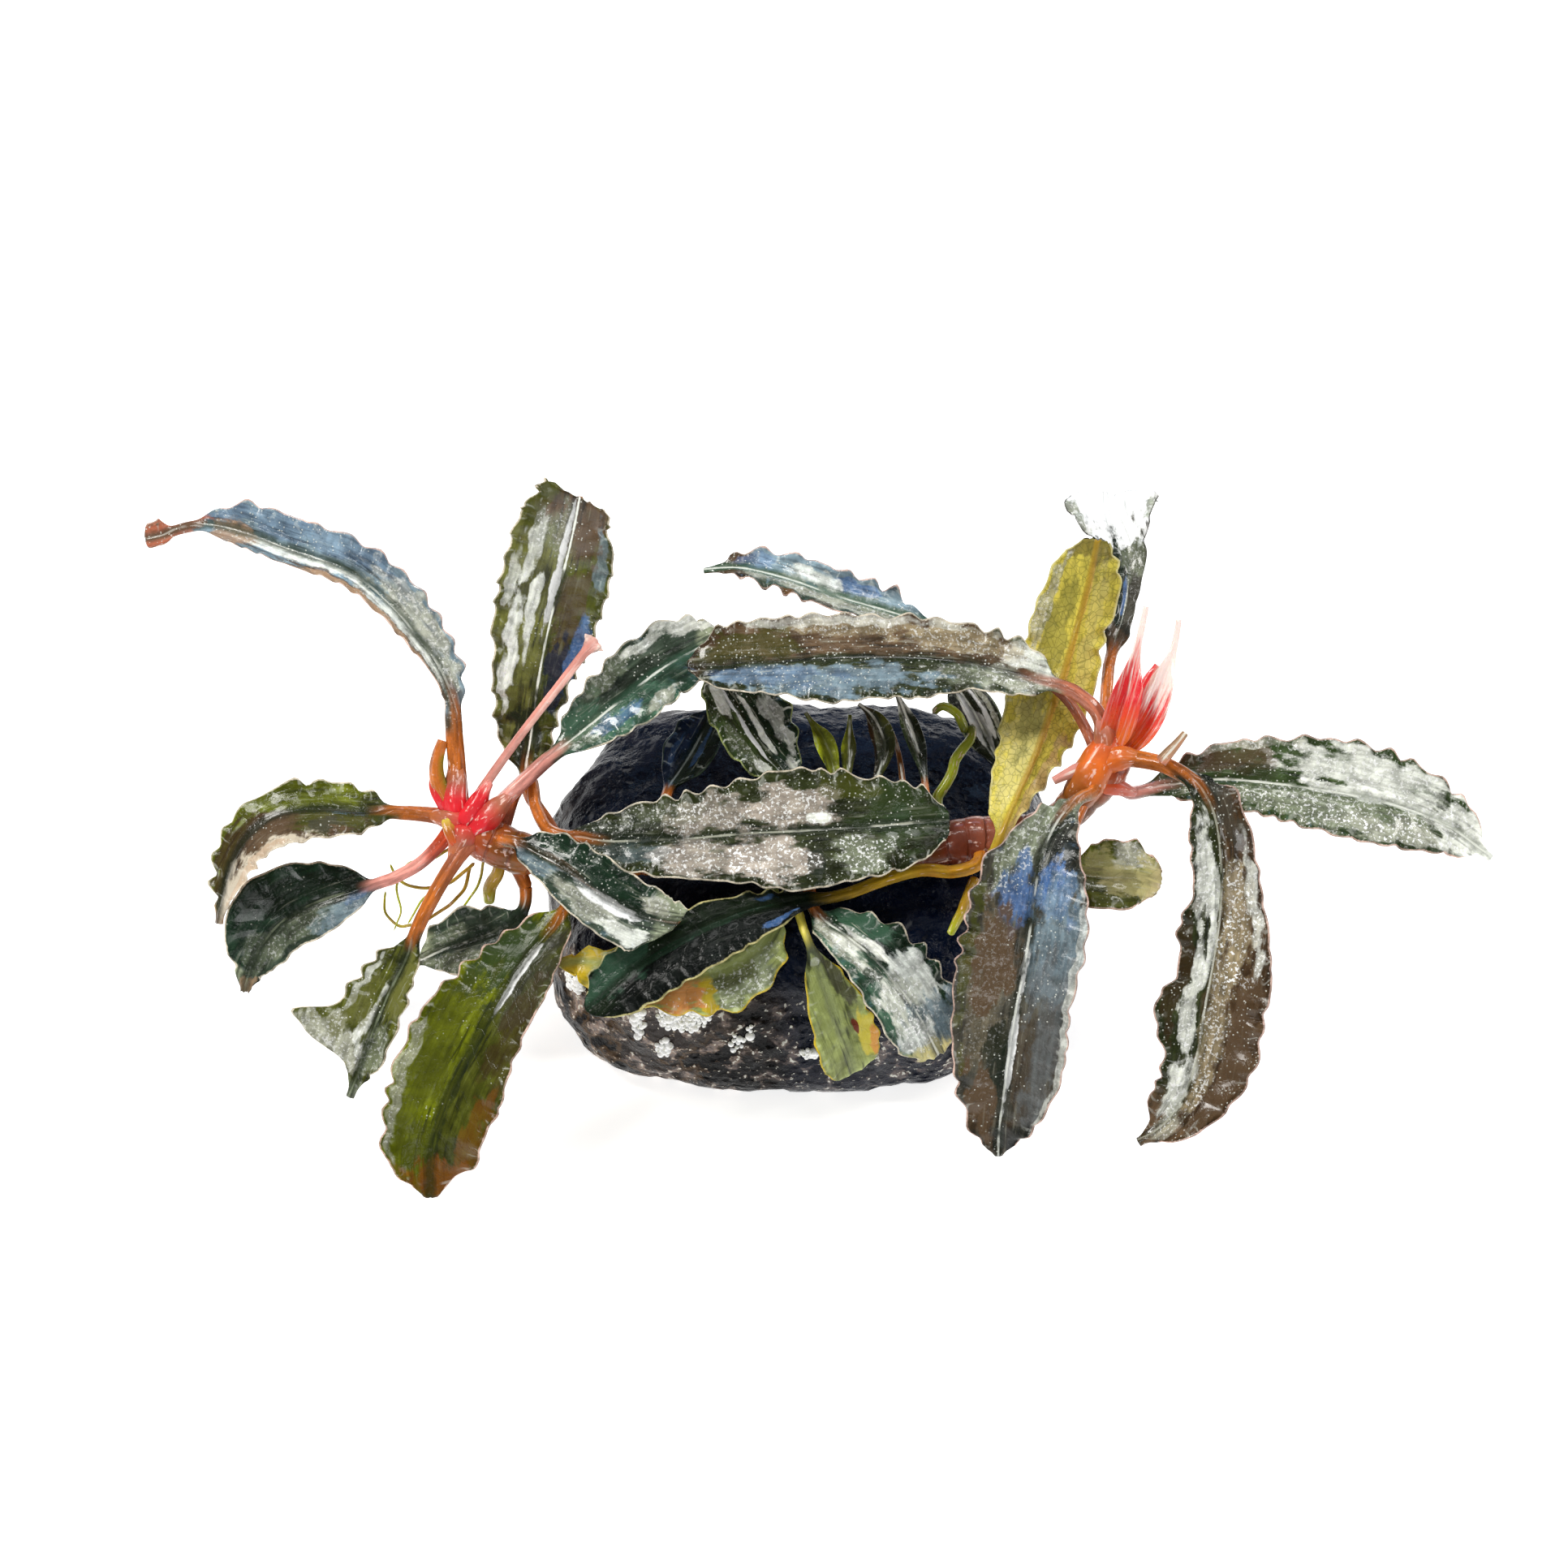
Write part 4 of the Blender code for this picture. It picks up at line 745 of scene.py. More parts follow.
def leaf_finish(name, look):
    """The wet skin of a leaf: two halves, painted streaky sheen and glints, painted shade by the
    midrib, veins, dots, rim and underside.
    """
    f = Finish(name)
    along = f.attribute("along")
    across = f.attribute("across")
    signed = f.attribute("out_mm")
    out = abs(signed)
    run = f.attribute("run_mm")
    edge = f.attribute("edge_mm")
    cloud = f.smooth(f.noise(4.5, 3.0), 0.3, 0.7)
    fleck = f.smooth(f.noise(1.1, 3.0), 0.3, 0.7)
    grain = f.noise(0.3, 2.0)
    band = f.smooth(f.noise(1.0, 4.0, f.stretched(run * 0.36, signed * 0.75)), 0.34, 0.66)
    streak = f.noise(1.0, 2.5, f.stretched(run * 0.25, signed * 2.4))
    thread = f.smooth(streak, 0.34, 0.66)
    drift = cloud - 0.5
    ragged = (band - 0.5) * 1.1 + (thread - 0.5) * 0.2 + drift * 0.4 + (grain - 0.5) * 0.6
    shading = (0.65 + 0.35 * thread) * (0.7 + 0.5 * fleck)

    def with_patches(skin):
        # Each patch in a sheen tint is painted sheen, highlight or reflection; wet gathers their
        # strength for the painted glints
        wet = 0.0
        for place_along, place_across, long, wide, tint, strength in look.patches:
            far = ((along - place_along) / long) ** 2.0 + ((across - place_across) / wide) ** 2.0
            amount = f.smooth(far + ragged, 1.22, 0.55) * strength
            if tint in GLARES:
                wet = wet + amount * (0.15 if tint in CALM_GLARES else 1.0)
                tint = "white" if tint == "white" else f.tone(paint(tint), shading)
            skin = f.mix(amount, skin, tint)
        # Painted white glints scattered over the painted sheen
        return f.mix(f.smooth(grain, 0.54, 0.62) * look.glint_share * wet, skin, "white")

    skin = f.mix(f.smooth(across + drift * 0.2, -0.06, 0.06), look.right, look.left)
    skin = f.mix(f.smooth(along + drift * 0.3, 0.2, 0.0), skin, look.base)
    skin = f.mix(f.smooth(along + drift * 0.25, 0.86, 1.0), skin, look.tip)
    skin = f.tone(skin, (0.5 + 0.8 * cloud) * (0.8 + 0.4 * thread) * (0.75 + 0.5 * fleck))
    by_rib = f.smooth(out, 2.6, 0.6)
    # Painted shade in dark streaks along the midrib
    skin = f.mix(f.smooth(streak, 0.45, 0.36) * (0.1 + 0.4 * by_rib), skin, "night")
    skin = with_patches(skin)
    # Painted pale streak highlights, strongest by the midrib
    skin = f.mix(f.smooth(streak, 0.58, 0.7) * look.streaks * (0.2 + 0.8 * by_rib), skin, "silver")
    # More painted shade in streaks by the midrib
    skin = f.mix(f.smooth(streak, 0.43, 0.33) * 0.3 * by_rib, skin, "night")
    slant = (run - out * SIDE_VEIN_SLANT) / 1.7 + drift * 0.8
    vein = f.smooth(abs(f.maths("FRACT", slant) - 0.5), 0.07, 0.0)
    skin = f.mix(vein * 0.12, skin, "night_green")
    # Painted shade of the channel beside the midrib, in the flank colour
    skin = f.mix(f.smooth(out + (fleck - 0.5) * 0.2, 0.8, 0.15) * look.flank_share, skin, look.flank)
    # The midrib line in the rib colour: partly the pale midrib itself, partly a painted highlight
    # along it
    rib = f.smooth(out + (fleck - 0.5) * 0.06, 0.15, 0.05)
    skin = f.mix(rib * f.smooth(cloud, 0.2, 0.7) * look.rib_share, skin, look.rib)
    sparse = 0.8 - 0.8 * look.dots
    dots = f.speckles(0.38, 0.4 + 0.4 * look.dots, 0.28) * f.smooth(cloud, sparse, sparse + 0.3)
    skin = f.mix(dots * 0.5, skin, "frost")

    # Painted glints on the crests of the margin's ruffles
    crest = f.smooth(abs(f.maths("FRACT", run / 1.5 + drift * 1.5) - 0.5), 0.14, 0.04)
    comb = crest * f.smooth(edge, 1.5, 0.5) * f.smooth(fleck, 0.35, 0.8)
    skin = f.mix(comb * look.comb, skin, "frost")

    web = f.smooth(f.cells(0.6, "DISTANCE_TO_EDGE"), 0.1, 0.0)
    belly = f.tone(paint(look.under), (0.7 + 0.4 * cloud) * (0.8 + 0.3 * thread))
    if look.on_both_sides:
        belly = with_patches(belly)
    belly = f.mix(web * look.web, belly, look.under_vein)
    belly = f.mix(vein * 0.2, belly, look.under_vein)
    belly = f.mix(f.smooth(out, 0.4, 0.15) * 0.7, belly, look.stalk[0])
    below = f.smooth(f.attribute("under"), 0.45, 0.6)
    skin = f.mix(below, skin, belly)

    rim = f.smooth(edge + (grain - 0.5) * 0.2, 0.24, 0.1)
    skin = f.mix(rim * (0.35 + 0.65 * fleck), skin, look.rim)
    stem = f.mix(f.smooth(along + drift * 0.4, -0.3, -0.95), look.stalk[0], look.stalk[1])
    stem = f.tone(stem, (0.65 + 0.6 * thread) * (0.75 + 0.4 * cloud))
    # Painted glints along the stalk
    gleam = f.noise(1.0, 2.0, f.stretched(run * 0.6, signed * 4.5))
    stem = f.mix(f.smooth(gleam, 0.62, 0.7) * 0.65, stem, "blush")
    rib_base = f.smooth(along, 0.16, 0.02) * f.smooth(out, 0.75, 0.3)
    skin = f.mix(rib_base * 0.8, skin, stem)
    on_stalk = f.smooth(along, 0.03, -0.01)
    skin = f.mix(on_stalk, skin, stem)

    roughness = 0.2 + fleck * 0.14 + below * 0.15 - dots * 0.1
    height = fleck * 0.2 + grain * 0.12 + dots * 0.14 + streak * (0.15 + 0.3 * by_rib) - vein * 0.05
    inner = f.smooth(edge, 0.2, 1.4)
    coat = (0.05 + cloud * 0.5) * (0.3 + 0.7 * inner) * (1.0 - below * 0.6) * look.gloss
    return f.finish(skin, roughness, height, 0.22, coat, Coat_Roughness=0.06,
                    Specular_IOR_Level=0.1 + 0.12 * look.gloss)


def stem_finish(name, tints, rings=0.0):
    """The moist skin of the stem and the roots, from one colour to the next along it, with painted
    glints.
    """
    f = Finish(name)
    along = f.attribute("along")
    run = f.attribute("run_mm")
    turn = f.attribute("turn")
    cloud = f.noise(2.4, 3.0)
    fleck = f.noise(0.5, 2.0)
    streak = f.noise(1.0, 2.0, f.stretched(run * 0.4, turn * 1.6))
    stops = [(i / (len(tints) - 1), paint(tint)) for i, tint in enumerate(tints)]
    skin = f.node("ShaderNodeValToRGB", {"stops": stops}, {"Fac": along + (cloud - 0.5) * 0.12})
    skin = f.tone(skin, (0.55 + 0.8 * cloud) * (0.8 + 0.4 * streak))
    # Painted glints along the stem
    gleam = f.noise(1.0, 2.0, f.stretched(run * 0.8, turn * 2.6))
    skin = f.mix(f.smooth(gleam + (fleck - 0.5) * 0.35, 0.61, 0.68) * 0.7, skin, "blush")
    height = cloud * 0.5 + fleck * 0.2 + streak * 0.3
    if rings:
        ring = f.maths("FRACT", run / RING_SPACING + (cloud - 0.5) * 0.7)
        scar = f.smooth(abs(ring - 0.5), 0.12, 0.02)
        skin = f.mix(scar * rings, skin, "sheath")
        height = height - scar * 0.4
    return f.finish(skin, 0.22 + fleck * 0.25, height, 0.25, 0.3, Coat_Roughness=0.08,
                    Specular_IOR_Level=0.25, Subsurface_Weight=0.1, Subsurface_Scale=0.001)


def bud_finish(name, clear_tip, pale_from, foot="flame", body="crimson"):
    """Fleshy sheaths with paler streaks, fading to pale and clear at their points."""
    f = Finish(name)
    along = f.attribute("along")
    run = f.attribute("run_mm")
    cloud = f.noise(2.0, 2.0)
    fleck = f.noise(0.5, 2.0)
    streak = f.noise(1.0, 2.0, f.stretched(run * 0.22, f.attribute("out_mm") * 3.2))
    skin = f.mix(f.smooth(along + (cloud - 0.5) * 0.3, 0.06, 0.42), foot, body)
    skin = f.mix(f.smooth(streak, 0.5, 0.66) * 0.7, skin, "rose")
    fade = f.smooth(along + (streak - 0.5) * 0.9, pale_from, pale_from + 0.3) * clear_tip
    skin = f.mix(fade, skin, "blush")
    f.feed(f.shader.inputs["Alpha"], 1.0 - fade * 0.45)
    return f.finish(skin, 0.2 + fleck * 0.2, streak * 0.8 + fleck * 0.2, 0.2, 0.6,
                    Coat_Roughness=0.08, Subsurface_Weight=0.2, Subsurface_Scale=0.0015)


def stone_finish(name):
    """Wet, hammered, nearly black rock, brown and seamed at the left; painted blue reflection at the
    right and on top.
    """
    f = Finish(name)
    cloud = f.noise(9.0, 4.0)
    lump = f.noise(2.2, 4.0)
    fleck = f.noise(0.5, 3.0)
    pits = f.cells(1.3)
    across, deep, high = (
        f.node("ShaderNodeSeparateXYZ", {}, {"Vector": f.place()}, out=axis) for axis in range(3)
    )
    skin = f.mix(f.smooth(cloud + (lump - 0.5) * 0.6, 0.38, 0.58), "stone_black", "stone_brown")
    # Painted blue reflection on the stone's top and at its right
    on_top = f.smooth(high, 0.013, 0.0185)
    reflected_blue = on_top + f.smooth(across + (cloud - 0.5) * 0.01, -0.004, 0.001)
    skin = f.mix(reflected_blue * 0.85, skin, "stone_blue_reflection")
    skin = f.tone(skin, 0.3 + lump * 1.4)
    leftward = f.smooth(across, -0.003, -0.012) * f.smooth(high, 0.016, 0.008)
    seam = f.smooth(abs(cloud + (lump - 0.5) * 0.3 - 0.47), 0.045, 0.0)
    skin = f.mix(seam * leftward * 0.75, skin, "bark")
    # Painted sheen, glints and sparkles on the stone's front
    glint = f.smooth(fleck + (lump - 0.5) * 0.9, 0.56, 0.68)
    front = f.smooth(high, 0.017, 0.011) * (0.35 + 0.65 * f.smooth(deep, 0.004, -0.006))
    sheen = f.smooth(lump + (fleck - 0.5) * 0.2, 0.52, 0.62) * (0.45 + 0.55 * leftward)
    skin = f.mix(sheen * 0.75 * front, skin, "rosy_grey")
    skin = f.mix(glint * (0.1 + 0.25 * leftward) * front, skin, "tan")
    spark = f.smooth(fleck + (lump - 0.5) * 0.5, 0.62, 0.69)
    skin = f.mix(spark * 0.5 * front, skin, "frost")
    roughness = f.smooth(lump, 0.3, 0.75) * 0.3 + 0.15
    height = lump * 0.9 + fleck * 0.22 - f.smooth(pits, 0.45, 0.1) * 0.35 + cloud * 0.8
    coat = f.smooth(cloud, 0.45, 0.65) * (0.25 - 0.2 * on_top)
    return f.finish(skin, roughness, height, 0.8, coat, Coat_Roughness=0.08,
                    Specular_IOR_Level=0.1)


def bead_finish(name):
    """Small pale beads that catch the light."""
    f = Finish(name)
    fleck = f.noise(0.4, 2.0)
    skin = f.mix(f.smooth(fleck, 0.3, 0.45), "silver", "white")
    return f.finish(skin, 0.12 + fleck * 0.2, fleck, 0.08, 0.8, Coat_Roughness=0.05)


def floor_finish(name):
    """The pale floor, which shines a little by itself."""
    f = Finish(name)
    looks = bpy.context.scene.stage_looks
    mottle = f.noise(60.0, 3.0)
    skin = f.tone(tuple(looks.floor), 0.99 + mottle * 0.02)
    return f.finish(skin, 0.85 + mottle * 0.1, mottle, 0.05, Emission_Color=tuple(looks.floor),
                    Emission_Strength=looks.floor_glow)


# The tables: a leaf's row is across, up the view, towards, left half width, right half width

# The rhizome: across, up the view, towards, radius
RHIZOME = (
    (-31.0, -2.9, 0.1, 1.1),
    (-29.9, -3.7, 0.4, 1.9),
    (-28.0, -4.8, 0.9, 2.1),
    (-24.5, -6.3, 1.5, 2.0),
    (-20.0, -7.0, 1.9, 1.6),
    (-12.0, -6.9, 1.8, 1.5),
    (-4.0, -6.7, 1.6, 1.5),
    (4.0, -6.5, 1.5, 1.5),
    (12.0, -6.1, 1.1, 1.7),
    (17.0, -5.2, 0.3, 2.2),
    (21.0, -4.9, 0.2, 2.0),
    (25.0, -3.6, 0.3, 1.7),
    (27.8, -1.0, 0.9, 1.9),
    (29.6, 1.4, 1.2, 2.3),
    (30.4, 3.2, 1.4, 1.9),
    (31.0, 4.8, 1.6, 1.3),
)
RHIZOME_TINTS = (
    "coral", "rust", "amber", "rust", "sheath", "rust", "rust", "sheath", "brick", "rust", "coral",
)

LEFT_LEAVES = (
    Leaf("leaf_arching_left", (
        (-30.0, -3.4, 0.4, 0, 0),
        (-30.2, 0.8, 0.5, 0, 0),
        (-30.5, 4.6, 1.4, 0, 0),
        (-30.8, 8.0, 2.4, 1.6, 1.6),
        (-32.0, 11.0, 2.8, 2.4, 2.2),
        (-34.0, 13.7, 2.8, 2.9, 2.8),
        (-36.3, 16.4, 2.4, 3.1, 3.1),
        (-40.2, 19.6, 1.4, 3.2, 3.1),
        (-46.2, 21.8, -0.2, 3.0, 3.1),
        (-50.0, 23.2, -1.4, 2.8, 2.9),
        (-53.1, 23.9, -2.4, 1.5, 1.4),
        (-55.6, 23.6, -3.2, 0.7, 0.6),
        (-57.6, 22.9, -3.6, 1.9, 1.6),
        (-59.0, 22.6, -3.8, 2.0, 1.6),
    ), face=RIGHTWARD, face_tip=HALFWAY, channel=24, curl=10, left_curl=60, stalk=0.85, fray=0.1),
    Leaf("leaf_upright", (
        (-20.6, -6.4, 1.2, 0, 0),
        (-21.8, -3.4, -1.4, 0, 0),
        (-23.4, -1.2, -2.2, 0, 0),
        (-23.9, 0.8, -2.4, 0.7, 0.7),
        (-23.6, 3.1, -2.2, 2.6, 2.0),
        (-23.2, 5.7, -1.6, 3.6, 2.2),
        (-22.6, 10.2, 0.2, 4.5, 3.2),
        (-21.5, 15.5, 2.6, 5.5, 4.4),
        (-20.2, 20.3, 5.2, 5.7, 4.6),
        (-19.4, 23.7, 7.2, 5.4, 4.1),
        (-18.9, 26.4, 8.8, 4.0, 3.0),
    ), face=FORWARD, channel=8, curl=8, skew=1.6, fray=0.9, blunt=-0.5),
    Leaf("cut_leaf_stalk", (
        (-29.4, -3.4, 0.8, 0, 0),
        (-28.0, -0.7, 1.4, 0.4, 0.4),
        (-24.4, 4.4, 2.6, 0.6, 0.6),
        (-20.2, 9.8, 3.8, 0.8, 0.8),
        (-18.2, 12.4, 4.2, 0.9, 0.9),
        (-17.3, 13.3, 4.4, 1.4, 1.4),
    ), face=FORWARD, channel=0, ruffle=0, stalk=0.5),
    Leaf("leaf_inner_left", (
        (-28.4, -4.2, 0.9, 0, 0),
        (-26.4, -2.0, 2.2, 0, 0),
        (-24.0, 0.3, 2.4, 0, 0),
        (-21.9, 2.2, 2.2, 0, 0),
        (-21.0, 2.9, 2.1, 0.9, 0.9),
        (-18.1, 5.3, 1.8, 2.6, 2.6),
        (-14.7, 8.0, 1.2, 3.6, 3.6),
        (-11.3, 10.6, 0.2, 4.0, 3.5),
        (-8.3, 12.3, -1.0, 3.4, 3.3),
        (-6.2, 13.3, -2.0, 2.4, 2.3),
        (-5.2, 13.8, -2.5, 0.8, 0.8),
    ), face=HALFWAY, channel=14, curl=6, stalk=0.75),
    Leaf("leaf_left_upper", (
        (-30.4, -3.3, 0.3, 0, 0),
        (-33.2, -2.8, 0.6, 0, 0),
        (-35.2, -2.7, 0.7, 0, 0),
        (-36.5, -2.6, 0.8, 1.2, 1.2),
        (-39.5, -2.6, 0.9, 2.6, 2.6),
        (-43.2, -2.4, 0.9, 3.4, 2.9),
        (-46.6, -2.9, 0.8, 3.7, 2.9),
        (-49.2, -4.6, 0.6, 3.4, 2.7),
        (-50.9, -7.2, 0.4, 2.8, 2.2),
        (-51.8, -10.2, 0.1, 1.8, 1.3),
        (-52.2, -12.9, -0.3, 0.6, 0.5),
    ), face=SKYWARD, face_tip=LEFTWARD, channel=8, curl=14, left_curl=-10, ruffle=0.8,
        stalk=0.7, fray=0.5),
    Leaf("leaf_left_lower", (
        (-30.4, -3.8, 0.2, 0, 0),
        (-32.4, -6.2, 0.2, 0, 0),
        (-34.6, -8.0, -0.2, 0, 0),
        (-37.0, -9.0, -0.8, 0, 0),
        (-38.2, -9.4, -1.1, 1.1, 1.1),
        (-41.0, -10.2, -1.6, 2.6, 3.0),
        (-44.0, -11.3, -2.1, 3.3, 4.3),
        (-46.6, -12.9, -2.7, 2.9, 4.9),
        (-48.4, -15.2, -3.3, 2.6, 3.9),
        (-49.4, -17.4, -3.8, 1.6, 1.9),
        (-49.9, -19.2, -4.2, 0.9, 0.8),
    ), face=HALFWAY, face_tip=FORWARD, channel=6, curl=6, ruffle=0.4, fray=1.0),
    Leaf("leaf_left_drooping", (
        (-28.6, -4.8, 1.6, 0, 0),
        (-30.6, -7.4, 3.0, 0, 0),
        (-32.4, -10.4, 2.8, 0, 0),
        (-33.8, -13.2, 2.2, 0, 0),
        (-34.2, -14.2, 2.0, 0.9, 0.9),
        (-35.0, -16.4, 1.6, 1.8, 2.4),
        (-36.5, -19.4, 0.9, 2.6, 3.5),
        (-37.6, -22.0, 0.3, 2.6, 4.4),
        (-38.4, -24.1, -0.2, 2.4, 8.2),
        (-38.9, -25.6, -0.6, 2.1, 2.6),
        (-39.6, -27.6, -1.2, 1.2, 1.2),
        (-40.1, -28.9, -1.6, 0.4, 0.4),
    ), channel=16, curl=10, stalk=0.72, fray=0.6),
    Leaf("leaf_front_left_large", (
        (-18.6, -7.0, 1.8, 0, 0),
        (-19.0, -8.9, 3.2, 0, 0),
        (-19.8, -10.6, 4.0, 0, 0),
        (-20.6, -12.2, 4.6, 1.4, 1.4),
        (-22.4, -14.5, 5.2, 2.9, 2.8),
        (-24.4, -16.9, 5.6, 4.1, 3.7),
        (-26.7, -20.5, 5.8, 4.4, 5.1),
        (-28.6, -23.9, 5.6, 4.9, 6.0),
        (-30.4, -27.3, 5.2, 5.8, 5.9),
        (-31.6, -30.3, 4.7, 5.2, 5.5),
        (-32.5, -33.0, 4.1, 5.1, 4.8),
        (-32.8, -35.5, 3.5, 3.9, 3.8),
        (-32.7, -37.2, 3.0, 1.9, 1.9),
        (-32.7, -38.2, 2.7, 1.1, 1.1),
    ), channel=8, curl=6, ruffle=0.9, fray=0.4),
    Leaf("leaf_silver_left", (
        (-26.6, -5.4, 1.2, 0, 0),
        (-25.8, -5.2, 4.6, 0, 0),
        (-24.8, -5.4, 5.6, 0.8, 0.8),
        (-23.2, -6.3, 6.6, 2.2, 1.8),
        (-21.5, -7.2, 7.4, 2.9, 2.4),
        (-18.8, -8.9, 8.4, 3.2, 3.4),
        (-16.2, -10.7, 9.0, 3.2, 3.8),
        (-13.2, -12.2, 9.3, 2.9, 4.2),
        (-10.8, -12.8, 9.4, 2.4, 4.2),
        (-9.8, -12.9, 9.4, 1.8, 3.8),
    ), face=HALFWAY, channel=10, curl=20, ruffle=0.5, skew=1.5, fray=0.5),
    Leaf("leaf_shaded_left", (
        (-25.0, -6.8, 0.8, 0, 0),
        (-23.9, -9.6, -0.2, 0, 0),
        (-24.2, -11.9, -0.6, 1.0, 1.0),
        (-26.4, -13.6, -1.2, 2.8, 2.6),
        (-29.2, -14.6, -1.8, 3.2, 3.0),
        (-31.6, -15.4, -2.4, 2.6, 2.6),
        (-33.2, -16.2, -2.8, 1.4, 1.4),
        (-33.9, -16.5, -3.0, 0.5, 0.5),
    ), face=HALFWAY, channel=10),
    Leaf("bract_left", (
        (-30.9, -1.8, 1.0, 0.4, 0.4),
        (-31.8, -0.2, 1.2, 0.8, 0.8),
        (-32.1, 1.4, 1.3, 0.9, 0.8),
        (-31.9, 2.8, 1.3, 0.7, 0.6),
        (-31.5, 4.0, 1.4, 0.2, 0.2),
    ), face=FORWARD, channel=20, ruffle=0, stalk=0.9),
)

